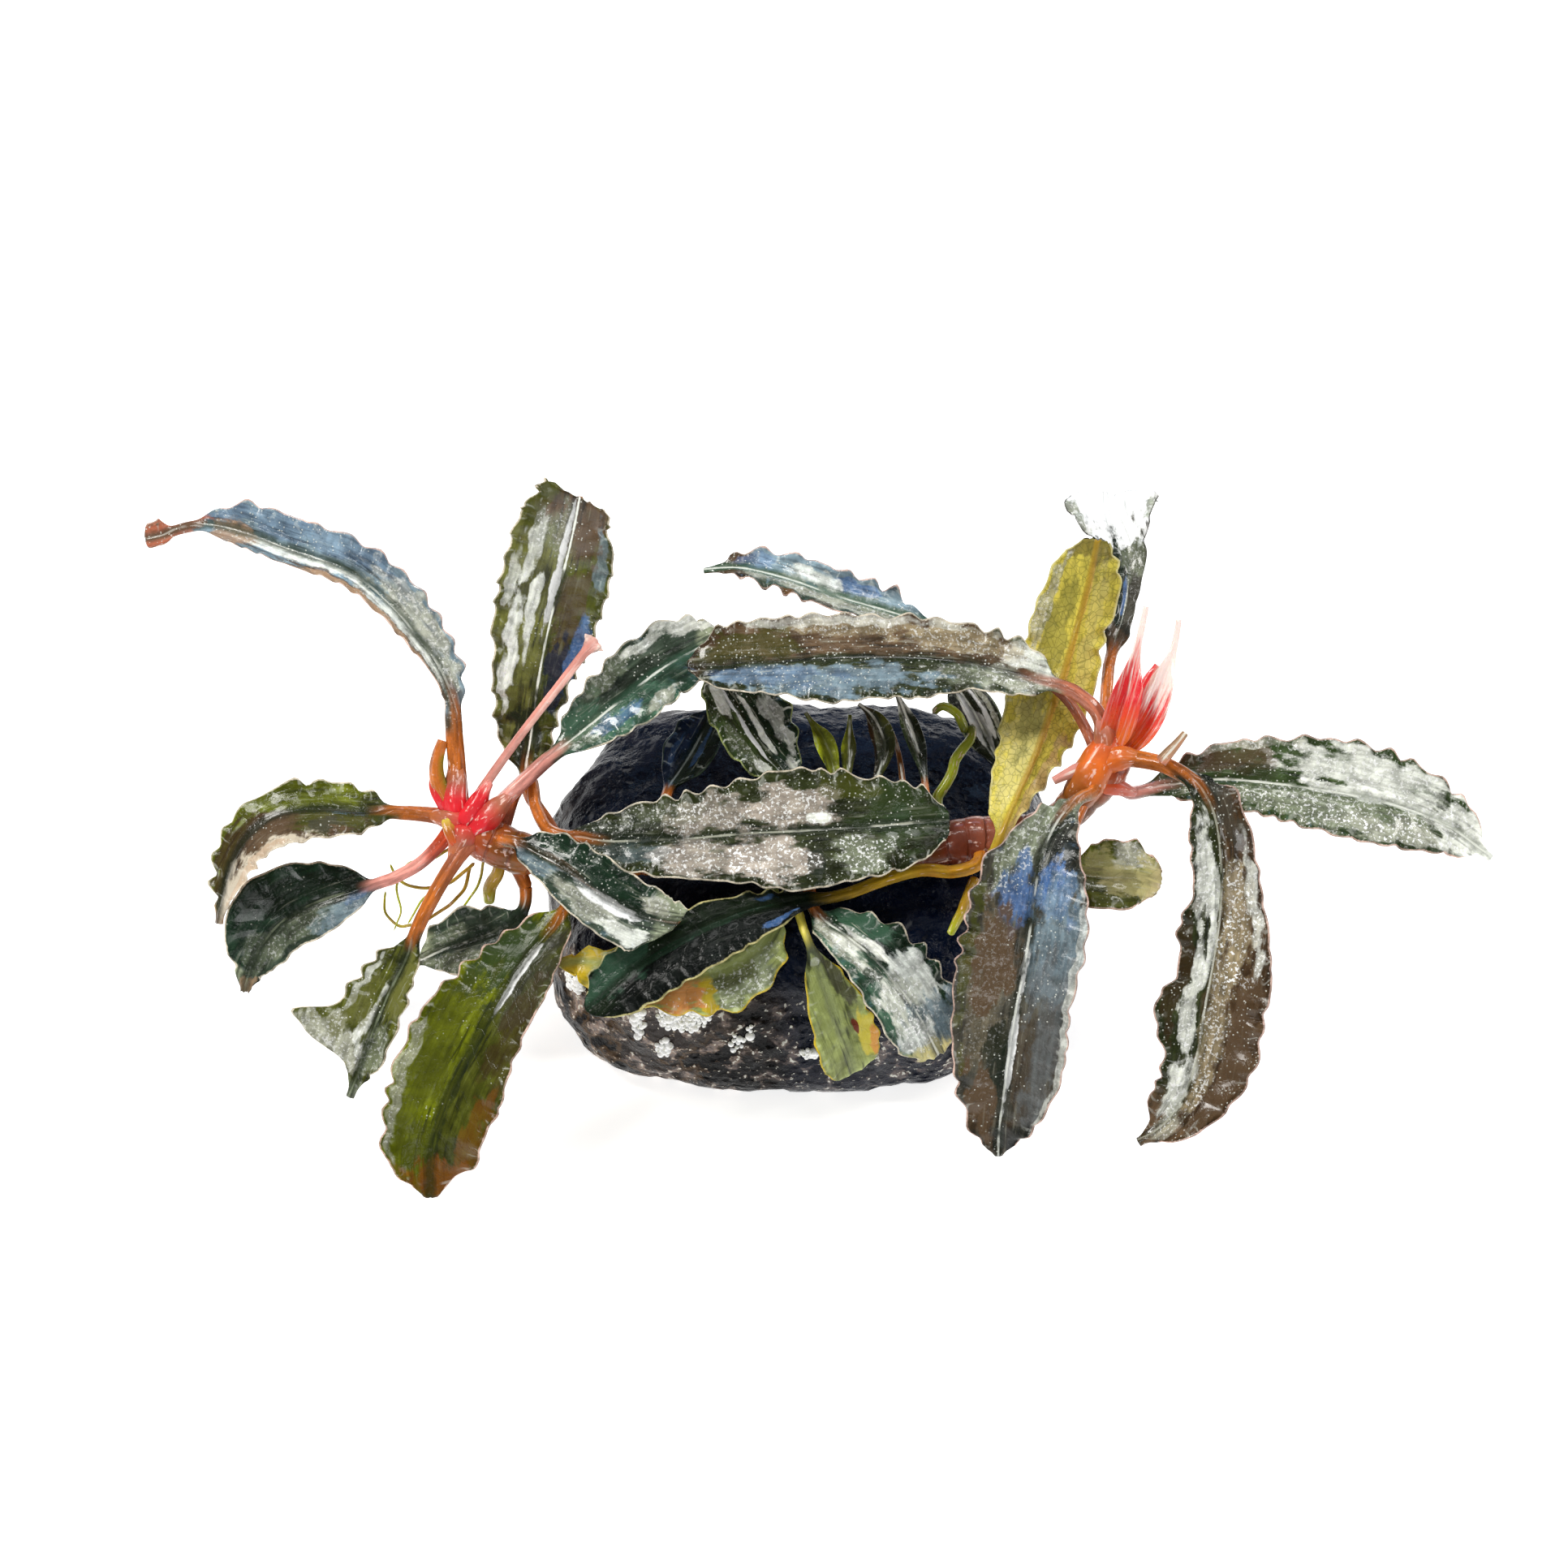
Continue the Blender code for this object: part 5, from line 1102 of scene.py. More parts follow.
MIDDLE_LEAVES = (
    Leaf("leaf_centre_large", (
        (-26.4, -5.4, 0.6, 0, 0),
        (-25.4, -2.4, -0.3, 0, 0),
        (-24.3, 0.3, -0.2, 0, 0),
        (-23.5, 0.5, 0.4, 0, 0),
        (-23.1, -1.6, 1.5, 0, 0),
        (-22.3, -3.6, 3.0, 0, 0),
        (-21.3, -4.5, 3.9, 0, 0),
        (-20.2, -4.8, 4.2, 0.7, 0.7),
        (-19.0, -4.9, 4.3, 1.3, 1.2),
        (-16.2, -5.3, 4.6, 2.7, 2.6),
        (-12.4, -5.2, 5.0, 3.8, 3.7),
        (-8.0, -5.0, 5.3, 4.4, 4.4),
        (-3.4, -4.6, 5.5, 5.2, 5.3),
        (1.0, -4.4, 5.6, 6.0, 6.2),
        (5.6, -4.1, 5.5, 5.4, 5.6),
        (10.0, -3.8, 5.2, 4.4, 4.8),
        (13.6, -3.5, 4.8, 3.3, 3.5),
        (15.3, -3.4, 4.6, 1.7, 2.2),
    ), face=HALFWAY, channel=5, curl=8),
    Leaf("leaf_across_top", (
        (29.6, 2.8, 1.4, 0, 0),
        (29.5, 5.2, 3.0, 0, 0),
        (28.4, 7.4, 3.6, 0, 0),
        (26.2, 8.8, 3.6, 0, 0),
        (25.0, 9.2, 3.6, 1.0, 1.0),
        (22.0, 10.1, 3.5, 2.3, 2.9),
        (17.6, 11.1, 3.4, 2.9, 3.5),
        (13.0, 11.6, 3.4, 4.3, 3.9),
        (8.6, 11.7, 3.4, 4.4, 4.0),
        (4.0, 11.6, 3.4, 4.8, 4.2),
        (-0.4, 11.3, 3.3, 3.6, 4.2),
        (-5.0, 11.1, 3.1, 2.9, 3.8),
        (-7.6, 11.0, 2.9, 2.0, 2.7),
        (-8.9, 10.9, 2.7, 0.8, 0.9),
    ), face=HALFWAY, channel=6, curl=14, stalk=0.7),
    Leaf("leaf_back_centre", (
        (29.2, 2.2, 1.2, 0, 0),
        (27.6, 5.6, -0.2, 0, 0),
        (25.4, 8.6, -0.1, 0, 0),
        (21.4, 11.0, 0.1, 0, 0),
        (17.0, 13.0, 0.0, 0, 0),
        (13.2, 14.8, -0.4, 0.9, 0.9),
        (8.6, 16.2, -0.7, 2.6, 2.3),
        (4.8, 17.3, -0.9, 3.0, 2.5),
        (1.8, 18.4, -1.1, 2.9, 2.6),
        (-1.2, 19.3, -1.4, 2.5, 2.3),
        (-4.2, 19.9, -1.8, 1.7, 1.7),
        (-7.4, 19.7, -2.2, 0.4, 0.4),
    ), channel=24, curl=10, stalk=0.5, fray=0.5),
    Leaf("leaf_middle_green", (
        (2.6, -6.4, 1.5, 0, 0),
        (2.0, -3.2, 0.6, 0, 0),
        (1.4, -1.0, -0.4, 0, 0),
        (0.4, 0.6, -1.2, 1.6, 1.6),
        (-1.2, 2.4, -1.8, 3.0, 3.2),
        (-2.8, 4.6, -2.4, 3.4, 4.2),
        (-4.4, 7.2, -2.8, 3.3, 4.0),
        (-6.0, 9.6, -3.2, 2.4, 2.8),
        (-7.2, 11.3, -3.4, 0.7, 0.7),
    ), channel=10),
    Leaf("leaf_middle_blue", (
        (-11.2, -6.9, 1.8, 0, 0),
        (-11.0, -4.0, 0.4, 0, 0),
        (-10.9, -1.4, -1.4, 0, 0),
        (-10.4, 0.0, -2.4, 1.2, 1.2),
        (-9.2, 1.8, -3.6, 2.3, 2.2),
        (-8.0, 3.8, -5.0, 2.6, 2.4),
        (-7.0, 5.8, -6.2, 1.8, 1.8),
        (-6.4, 7.2, -7.0, 0.5, 0.5),
    ), channel=14, ruffle=0.5),
    Leaf("leaf_narrow_dark", (
        (13.4, -6.0, 1.0, 0, 0),
        (13.3, -2.8, 0.6, 0, 0),
        (13.1, -0.6, -0.2, 0, 0),
        (12.9, 1.0, -0.8, 0.7, 0.7),
        (12.3, 3.4, -1.6, 1.2, 1.2),
        (11.2, 6.4, -2.4, 1.1, 1.1),
        (10.4, 8.4, -2.8, 0.3, 0.3),
    ), channel=20, ruffle=0, stalk=0.4),
    Leaf("leaf_striped_dark", (
        (20.6, -4.9, 0.2, 0, 0),
        (20.8, -2.6, -2.4, 0, 0),
        (20.4, 0.0, -3.0, 0, 0),
        (20.0, 1.4, -3.4, 0.8, 0.8),
        (18.9, 3.8, -4.0, 1.8, 1.8),
        (17.6, 6.5, -4.6, 2.2, 2.2),
        (16.1, 8.7, -5.2, 1.6, 1.6),
        (15.2, 10.0, -5.6, 0.4, 0.4),
    ), channel=12, ruffle=0),
    Leaf("leaf_tall_yellow", (
        (19.3, -7.3, 1.4, 0, 0),
        (19.5, -6.4, 3.0, 0, 0),
        (20.0, -5.0, 3.6, 0.6, 0.8),
        (20.6, -3.4, 3.2, 0.9, 1.8),
        (21.9, -0.3, 2.0, 1.7, 3.0),
        (23.2, 2.7, 0.6, 2.4, 3.7),
        (24.5, 6.5, -1.0, 3.3, 4.3),
        (25.8, 10.2, -2.0, 3.3, 4.1),
        (26.9, 14.0, -1.8, 2.8, 4.4),
        (27.9, 17.7, -0.8, 3.2, 3.9),
        (28.6, 20.7, 0.6, 2.5, 3.1),
        (29.0, 22.6, 1.6, 1.4, 1.6),
    ), face=BACKWARD, channel=8, curl=8, fray=0.4),
    Leaf("young_leaf_yellow_left", (
        (5.0, -6.5, 1.5, 0, 0),
        (5.1, -2.4, 0.9, 0, 0),
        (4.8, 0.4, 0.2, 0.8, 0.8),
        (3.9, 3.6, -0.6, 1.3, 1.3),
        (2.8, 5.4, -1.0, 0.8, 0.8),
        (2.0, 6.6, -1.2, 0.15, 0.15),
    ), face=FORWARD, channel=25, ruffle=0, stalk=0.35),
    Leaf("young_leaf_yellow_right", (
        (6.6, -6.4, 1.4, 0, 0),
        (6.4, -2.4, 0.2, 0, 0),
        (5.9, 0.6, -0.6, 0.7, 0.7),
        (6.0, 3.6, -1.4, 1.1, 1.1),
        (6.1, 6.4, -1.8, 0.2, 0.2),
    ), face=FORWARD, channel=25, ruffle=0, stalk=0.35),
    Leaf("young_leaf_curved", (
        (8.8, -6.2, 1.3, 0, 0),
        (8.6, -2.4, 0.6, 0, 0),
        (8.6, 0.4, -0.2, 0.7, 0.7),
        (9.3, 3.4, -1.0, 1.3, 1.3),
        (8.4, 6.0, -1.6, 1.2, 1.2),
        (6.9, 7.4, -2.0, 0.2, 0.2),
    ), face=FORWARD, channel=20, ruffle=0, stalk=0.35),
    Leaf("young_shoot_orange", (
        (11.2, -6.1, 1.1, 0, 0),
        (11.2, -2.8, 0.2, 0.3, 0.3),
        (11.0, 0.0, -1.2, 0.6, 0.6),
        (10.6, 2.8, -2.2, 0.5, 0.5),
        (10.0, 4.8, -2.6, 0.15, 0.15),
    ), face=FORWARD, channel=20, ruffle=0, stalk=0.35),
)

FRONT_LEAVES = (
    Leaf("leaf_front_centre", (
        (2.2, -6.5, 1.5, 0, 0),
        (2.2, -9.0, 3.4, 0, 0),
        (2.5, -10.9, 4.4, 0, 0),
        (3.3, -12.3, 5.4, 1.4, 1.4),
        (5.4, -13.8, 6.8, 3.0, 2.6),
        (8.0, -15.9, 7.8, 4.0, 3.5),
        (10.2, -18.3, 8.0, 4.4, 4.2),
        (12.2, -21.1, 7.4, 4.4, 4.4),
        (13.4, -23.4, 6.6, 4.2, 3.8),
        (14.2, -25.0, 6.0, 2.6, 2.6),
    ), channel=8, curl=6, fray=0.5),
    Leaf("leaf_front_long", (
        (18.2, -5.2, 0.3, 0, 0),
        (17.4, -8.0, 3.2, 0, 0),
        (13.2, -7.9, 4.0, 0, 0),
        (9.4, -8.8, 4.4, 0, 0),
        (6.2, -10.0, 5.2, 0, 0),
        (4.2, -10.5, 5.8, 0.8, 0.7),
        (1.0, -10.8, 6.3, 1.6, 1.2),
        (-3.5, -11.8, 6.9, 3.2, 1.8),
        (-8.0, -13.6, 7.7, 3.9, 2.5),
        (-11.8, -15.7, 8.3, 4.0, 2.8),
        (-14.8, -18.0, 8.5, 3.6, 2.8),
        (-16.9, -19.9, 8.4, 2.6, 2.2),
        (-18.2, -21.0, 8.2, 1.2, 1.0),
    ), face=HALFWAY, channel=6, curl=-6),
    Leaf("leaf_front_small", (
        (0.2, -6.6, 1.6, 0, 0),
        (0.8, -9.8, 3.4, 0, 0),
        (1.8, -13.4, 5.4, 0, 0),
        (2.5, -15.2, 6.0, 0.8, 0.8),
        (3.3, -17.6, 5.8, 1.9, 1.7),
        (4.1, -20.0, 5.0, 2.9, 2.5),
        (5.0, -22.6, 3.8, 3.5, 3.1),
        (5.9, -25.0, 2.6, 3.6, 3.4),
        (6.4, -26.7, 1.6, 3.0, 2.6),
    ), channel=10, ruffle=0.6, stalk=0.45),
    Leaf("leaf_old_yellow", (
        (-1.6, -6.7, 1.6, 0, 0),
        (-0.9, -9.8, 3.2, 0, 0),
        (-0.7, -12.2, 4.4, 0.7, 0.7),
        (-1.9, -14.6, 5.4, 2.6, 1.2),
        (-4.8, -16.9, 5.9, 3.9, 1.6),
        (-8.6, -17.8, 6.0, 3.7, 1.8),
        (-12.4, -17.6, 5.8, 3.2, 1.8),
        (-16.0, -16.8, 5.3, 2.7, 1.6),
        (-18.8, -16.4, 4.8, 2.3, 1.3),
        (-20.8, -16.6, 4.2, 0.8, 0.6),
    ), face=FORWARD, face_tip=HALFWAY, channel=6, ruffle=1.7, stalk=0.4, fray=0.7),
)

RIGHT_LEAVES = (
    Leaf("leaf_back_right", (
        (29.4, 2.6, 0.8, 0, 0),
        (29.8, 5.6, -1.6, 0, 0),
        (29.8, 8.6, -3.0, 0, 0),
        (30.1, 11.2, -4.4, 0, 0),
        (30.6, 13.2, -5.7, 1.4, 1.4),
        (31.4, 15.6, -7.0, 1.3, 1.3),
        (31.9, 19.0, -8.5, 1.6, 1.5),
        (31.6, 21.8, -9.8, 2.4, 2.0),
        (30.8, 24.2, -11.3, 4.1, 3.7),
        (30.5, 25.6, -12.4, 5.1, 4.6),
        (30.4, 26.8, -13.4, 4.8, 4.4),
    ), face=FORWARD, face_tip=SKYWARD, channel=16, curl=10, fray=0.5),
    Leaf("leaf_right_long", (
        (29.6, 0.4, 1.2, 0, 0),
        (32.2, -0.8, 0.2, 0, 0),
        (33.4, -0.6, -0.2, 0.9, 0.9),
        (35.6, -0.1, -0.8, 1.7, 1.5),
        (40.0, 0.4, -1.4, 3.3, 2.8),
        (44.6, 0.1, -1.6, 4.3, 3.5),
        (49.0, -0.5, -1.8, 4.9, 4.2),
        (53.6, -1.3, -2.2, 5.0, 4.6),
        (58.0, -2.5, -3.0, 4.2, 4.1),
        (61.8, -4.2, -4.0, 2.9, 2.8),
        (64.0, -5.8, -4.8, 1.4, 1.3),
        (65.3, -6.8, -5.4, 0.3, 0.3),
    ), face=HALFWAY, channel=8, curl=6),
    Leaf("leaf_right_drooping", (
        (30.2, 2.2, 1.4, 0, 0),
        (32.4, 2.4, 4.0, 0, 0),
        (34.2, 2.1, 4.8, 0, 0),
        (36.0, 1.4, 5.4, 0, 0),
        (37.2, 0.7, 5.8, 1.0, 1.0),
        (38.8, -0.8, 6.0, 2.0, 1.8),
        (39.8, -3.0, 5.9, 2.9, 2.8),
        (40.3, -6.3, 5.4, 3.3, 2.9),
        (40.4, -10.0, 4.8, 4.0, 2.7),
        (40.1, -13.8, 4.2, 5.2, 3.8),
        (39.5, -17.6, 3.6, 6.2, 3.1),
        (38.8, -21.3, 3.2, 6.0, 4.7),
        (38.2, -25.0, 2.8, 6.0, 3.3),
        (37.2, -28.4, 2.4, 4.9, 2.9),
        (35.6, -31.0, 2.0, 3.4, 2.9),
        (33.8, -32.5, 1.6, 1.4, 1.4),
        (32.8, -33.1, 1.4, 0.5, 0.5),
    ), channel=10, curl=8, stalk=0.8),
    Leaf("leaf_front_right_large", (
        (29.2, 1.0, 1.2, 0, 0),
        (28.4, -0.9, 4.4, 0, 0),
        (27.0, -1.6, 6.0, 1.0, 1.0),
        (25.2, -3.6, 7.6, 2.4, 2.4),
        (23.8, -6.9, 9.0, 4.1, 4.4),
        (23.2, -10.1, 9.6, 5.1, 5.8),
        (22.7, -13.8, 9.9, 5.6, 6.1),
        (22.1, -17.6, 9.6, 5.4, 6.3),
        (21.5, -20.6, 8.9, 5.4, 6.1),
        (20.9, -24.3, 7.8, 5.6, 5.5),
        (20.4, -28.1, 6.4, 4.9, 4.6),
        (20.0, -31.1, 5.2, 3.4, 3.3),
        (19.8, -33.3, 4.2, 1.9, 2.0),
        (19.8, -34.3, 3.7, 0.8, 0.8),
    ), channel=8, curl=6),
    Leaf("bract_crown_right", (
        (28.4, 1.6, 2.2, 0.5, 0.5),
        (27.3, 1.4, 3.0, 1.0, 1.0),
        (26.1, 0.9, 3.2, 0.8, 0.8),
        (24.9, 0.3, 3.3, 0.15, 0.15),
    ), face=FORWARD, channel=20, ruffle=0, stalk=0.7),
    Leaf("leaf_right_small", (
        (28.4, -0.2, 1.0, 0, 0),
        (27.4, -2.8, 3.2, 0, 0),
        (26.0, -6.0, 3.3, 0, 0),
        (26.2, -7.8, 3.4, 1.2, 1.2),
        (27.8, -8.4, 3.5, 2.9, 2.9),
        (29.6, -8.6, 3.4, 3.5, 3.5),
        (31.6, -8.6, 3.0, 3.5, 3.4),
        (33.6, -8.8, 2.6, 2.9, 2.9),
        (34.8, -9.2, 2.2, 1.3, 1.6),
    ), face=HALFWAY, channel=10, stalk=0.4),
    Leaf("bract_right", (
        (34.9, 2.1, 6.9, 0.4, 0.4),
        (35.5, 2.8, 7.1, 0.8, 0.8),
        (36.3, 3.7, 7.2, 0.5, 0.5),
        (37.1, 4.7, 7.1, 0.12, 0.12),
    ), face=FORWARD, channel=20, ruffle=0, stalk=0.6),
)

BUD = (
    Leaf("bud_sheath_left", (
        (29.9, 3.0, 2.4, 1.0, 1.0),
        (30.6, 4.8, 3.1, 1.8, 1.9),
        (31.2, 6.8, 3.5, 1.9, 2.1),
        (31.8, 8.8, 3.6, 1.6, 1.8),
        (32.3, 11.0, 3.5, 1.1, 1.2),
        (32.9, 13.6, 3.4, 0.5, 0.5),
        (33.5, 16.4, 3.4, 0.12, 0.12),
    ), face=FORWARD, channel=38, ruffle=0, stalk=0.5),
    Leaf("bud_sheath_right", (
        (30.9, 2.7, 2.2, 1.0, 1.0),
        (32.5, 4.4, 2.6, 1.8, 1.7),
        (33.9, 6.6, 2.7, 2.0, 1.8),
        (34.9, 9.0, 2.6, 1.7, 1.4),
        (35.7, 11.4, 2.4, 1.1, 0.9),
        (36.2, 13.2, 2.2, 0.4, 0.4),
        (36.5, 15.2, 2.2, 0.12, 0.12),
    ), face=FORWARD, channel=38, ruffle=0, stalk=0.5),
    Leaf("bud_core", (
        (31.4, 5.2, 1.0, 0.5, 0.5),
        (32.2, 6.8, 0.6, 0.8, 0.8),
        (33.1, 8.6, 0.5, 0.9, 0.9),
        (34.0, 10.2, 0.5, 0.9, 0.9),
        (34.5, 11.0, 0.5, 0.4, 0.4),
    ), face=FORWARD, channel=30, ruffle=0, stalk=0.5),
)

# The roots, from here on: across, up the view, towards, radius
ROOTS = {
    "root_left_hooked": (
        (-28.6, -7.2, -0.4, 0.35),
        (-30.6, -8.9, -1.2, 0.35),
        (-33.4, -9.6, -1.8, 0.32),
        (-35.6, -8.9, -2.2, 0.3),
        (-36.4, -7.4, -2.2, 0.22),
    ),
    "root_left_short": (
        (-26.2, -7.0, 0.7, 0.5),
        (-26.6, -8.6, -0.2, 0.62),
        (-27.2, -9.8, -1.4, 0.62),
        (-27.2, -11.0, -2.6, 0.5),
    ),
    "root_left_wandering": (
        (-29.0, -7.4, -2.0, 0.35),
        (-29.8, -10.0, -3.0, 0.35),
        (-32.4, -12.2, -3.6, 0.32),
        (-35.2, -13.2, -3.8, 0.3),
        (-36.8, -11.8, -4.0, 0.26),
        (-36.8, -9.8, -4.4, 0.2),
    ),
    "root_middle_green": (
        (14.3, -3.4, -1.2, 0.5),
        (14.2, -1.4, -2.0, 0.52),
        (15.4, 0.8, -2.2, 0.5),
        (15.9, 2.4, -2.2, 0.5),
        (17.1, 4.0, -2.3, 0.46),
        (17.4, 5.6, -2.4, 0.34),
    ),
    "root_middle_green_branch": (
        (16.9, 4.6, -2.4, 0.42),
        (16.0, 6.4, -2.5, 0.42),
        (14.8, 7.2, -2.7, 0.4),
        (13.8, 6.6, -2.9, 0.32),
    ),
    "root_front_yellow": (
        (17.6, -8.6, 1.2, 0.5),
        (16.8, -10.8, 2.6, 0.5),
        (16.1, -12.6, 4.2, 0.45),
        (15.3, -14.0, 5.2, 0.35),
    ),
}

YELLOW_ROOT = ("root_yellow", "root_yellow", "root_green")
GREEN_ROOT = ("moss", "root_green", "moss")
HAIR_ROOT = ("root_yellow", "root_green", "root_green")
THIN_ROOTS = ("root_left_hooked", "root_left_wandering")

# Thin young roots
ROOT_HAIRS = (
    (
        (-29.6, -5.2, 0.2, 0.16),
        (-32.0, -6.8, -0.6, 0.15),
        (-34.6, -7.4, -1.0, 0.13),
        (-35.8, -9.4, -1.2, 0.12),
        (-35.4, -11.6, -1.4, 0.10),
        (-36.2, -13.6, -1.6, 0.07),
    ),
    (
        (-28.8, -5.8, 0.0, 0.15),
        (-31.0, -8.6, -1.4, 0.14),
        (-33.4, -10.6, -1.9, 0.12),
        (-34.8, -13.0, -2.2, 0.09),
    ),
    (
        (-27.6, -6.2, -0.2, 0.14),
        (-28.4, -9.6, -1.6, 0.13),
        (-30.0, -12.2, -2.8, 0.10),
        (-29.6, -14.4, -3.4, 0.07),
    ),
)

# Fleshy collars round the feet of the crowns' stalks, with their colours
CROWN_COLLARS = {
    "left_collar_arching": (("crimson", "crimson", "brick", "amber", "amber"), (
        (-30.2, -3.2, 1.5, 0.9),
        (-30.4, -1.6, 1.4, 1.2),
        (-30.3, 0.0, 1.0, 1.0),
        (-30.3, 1.8, 0.7, 0.7),
        (-30.35, 3.4, 0.7, 0.35),
    )),
    "left_collar_cut": (("crimson", "crimson", "crimson", "rose"), (
        (-29.9, -3.9, 1.9, 0.8),
        (-28.8, -2.5, 2.3, 0.95),
        (-27.9, -1.0, 2.3, 0.72),
        (-27.1, 0.3, 1.9, 0.3),
    )),
    "left_collar_inner": (("crimson", "crimson", "brick", "rose"), (
        (-29.0, -4.6, 1.9, 0.9),
        (-27.6, -3.3, 2.5, 1.15),
        (-26.2, -1.9, 2.6, 0.9),
        (-24.8, -0.6, 2.2, 0.35),
    )),
    "left_collar_knob": (("coral", "crimson", "crimson"), (
        (-32.3, 0.7, 0.8, 0.4),
        (-32.1, -0.3, 1.0, 0.62),
        (-31.6, -1.5, 1.2, 0.66),
        (-30.8, -2.8, 1.3, 0.6),
    )),
    "left_collar_outer": (("crimson", "brick", "amber"), (
        (-29.4, -3.6, 1.8, 1.15),
        (-31.0, -3.2, 1.5, 1.0),
        (-32.9, -2.9, 0.7, 0.35),
    )),
    "left_collar_front": (("crimson", "brick", "amber"), (
        (-29.3, -3.8, 2.0, 1.2),
        (-29.8, -5.4, 2.3, 1.15),
        (-30.9, -7.6, 2.6, 0.4),
    )),
    "left_collar_pale": (("straw", "amber", "coral"), (
        (-31.2, -3.2, 2.0, 0.45),
        (-30.9, -4.4, 2.6, 0.55),
        (-30.3, -5.8, 2.9, 0.4),
    )),
    "right_crown": (("rust", "amber", "flame", "coral", "crimson"), (
        (26.6, -1.9, 1.4, 1.4),
        (27.8, -0.3, 2.2, 1.8),
        (28.7, 1.3, 2.6, 1.8),
        (29.7, 3.0, 2.5, 1.6),
        (30.8, 4.4, 1.8, 1.2),
        (31.8, 5.6, 1.3, 0.6),
    )),
    "right_collar_drooping": (("flame", "flame", "amber"), (
        (29.6, 1.9, 2.6, 1.2),
        (31.4, 2.5, 3.8, 1.05),
        (33.2, 2.4, 4.4, 0.5),
    )),
    "right_collar_across": (("flame", "brick", "rose"), (
        (29.6, 2.6, 2.6, 1.1),
        (29.6, 4.6, 3.2, 0.95),
        (28.9, 6.9, 3.4, 0.4),
    )),
    "right_collar_long": (("flame", "coral", "rose"), (
        (28.0, 0.0, 2.2, 1.0),
        (30.0, -0.1, 2.1, 0.9),
        (32.6, -0.9, 0.8, 0.35),
    )),
}

# Clusters of beads on the stone's front: across, up the view, half width, half height, how many
BEADS = (
    (-20.5, -19.4, 0.95, 1.2, 24),
    (-14.3, -23.3, 0.65, 1.6, 18),
    (-9.8, -22.7, 2.7, 1.5, 80),
    (-11.9, -26.0, 0.8, 0.9, 12),
    (-4.7, -25.4, 0.75, 0.9, 9),
    (-3.4, -24.2, 0.3, 0.6, 4),
    (2.5, -26.6, 0.8, 0.5, 10),
)

# Which nodes share each material slot
NODES_OF_SLOT = {
    "stone": ("stone",),
    "rhizome": ("rhizome",),
    "cut_stalk": ("cut_leaf_stalk", "bract_crown_right"),
    "leaf_blue_grey": ("leaf_arching_left", "leaf_back_centre"),
    "leaf_olive": ("leaf_upright", "leaf_left_upper", "leaf_front_left_large", "leaf_right_small"),
    "leaf_grey_green": (
        "leaf_inner_left", "leaf_left_drooping", "leaf_shaded_left", "leaf_front_centre",
        "leaf_back_right", "leaf_right_long",
    ),
    "leaf_dark_green": ("leaf_left_lower", "leaf_middle_green", "leaf_narrow_dark", "leaf_front_long"),
    "leaf_silver": ("leaf_silver_left", "leaf_centre_large"),
    "leaf_night_blue": ("leaf_middle_blue", "leaf_striped_dark"),
    "leaf_brown": (
        "leaf_across_top", "leaf_right_drooping", "leaf_front_right_large", "young_leaf_curved",
        "bract_right",
    ),
    "leaf_yellow": (
        "leaf_tall_yellow", "leaf_old_yellow", "young_leaf_yellow_left",
        "young_leaf_yellow_right", "bract_left",
    ),
    "leaf_pale_green": ("leaf_front_small",),
    "young_orange": ("young_shoot_orange",),
    "bud_red": ("bud_sheath_left", "bud_sheath_right", "bud_core"),
    "root": tuple(ROOTS),
}
SLOT_OF = {node: slot for slot, nodes in NODES_OF_SLOT.items() for node in nodes}
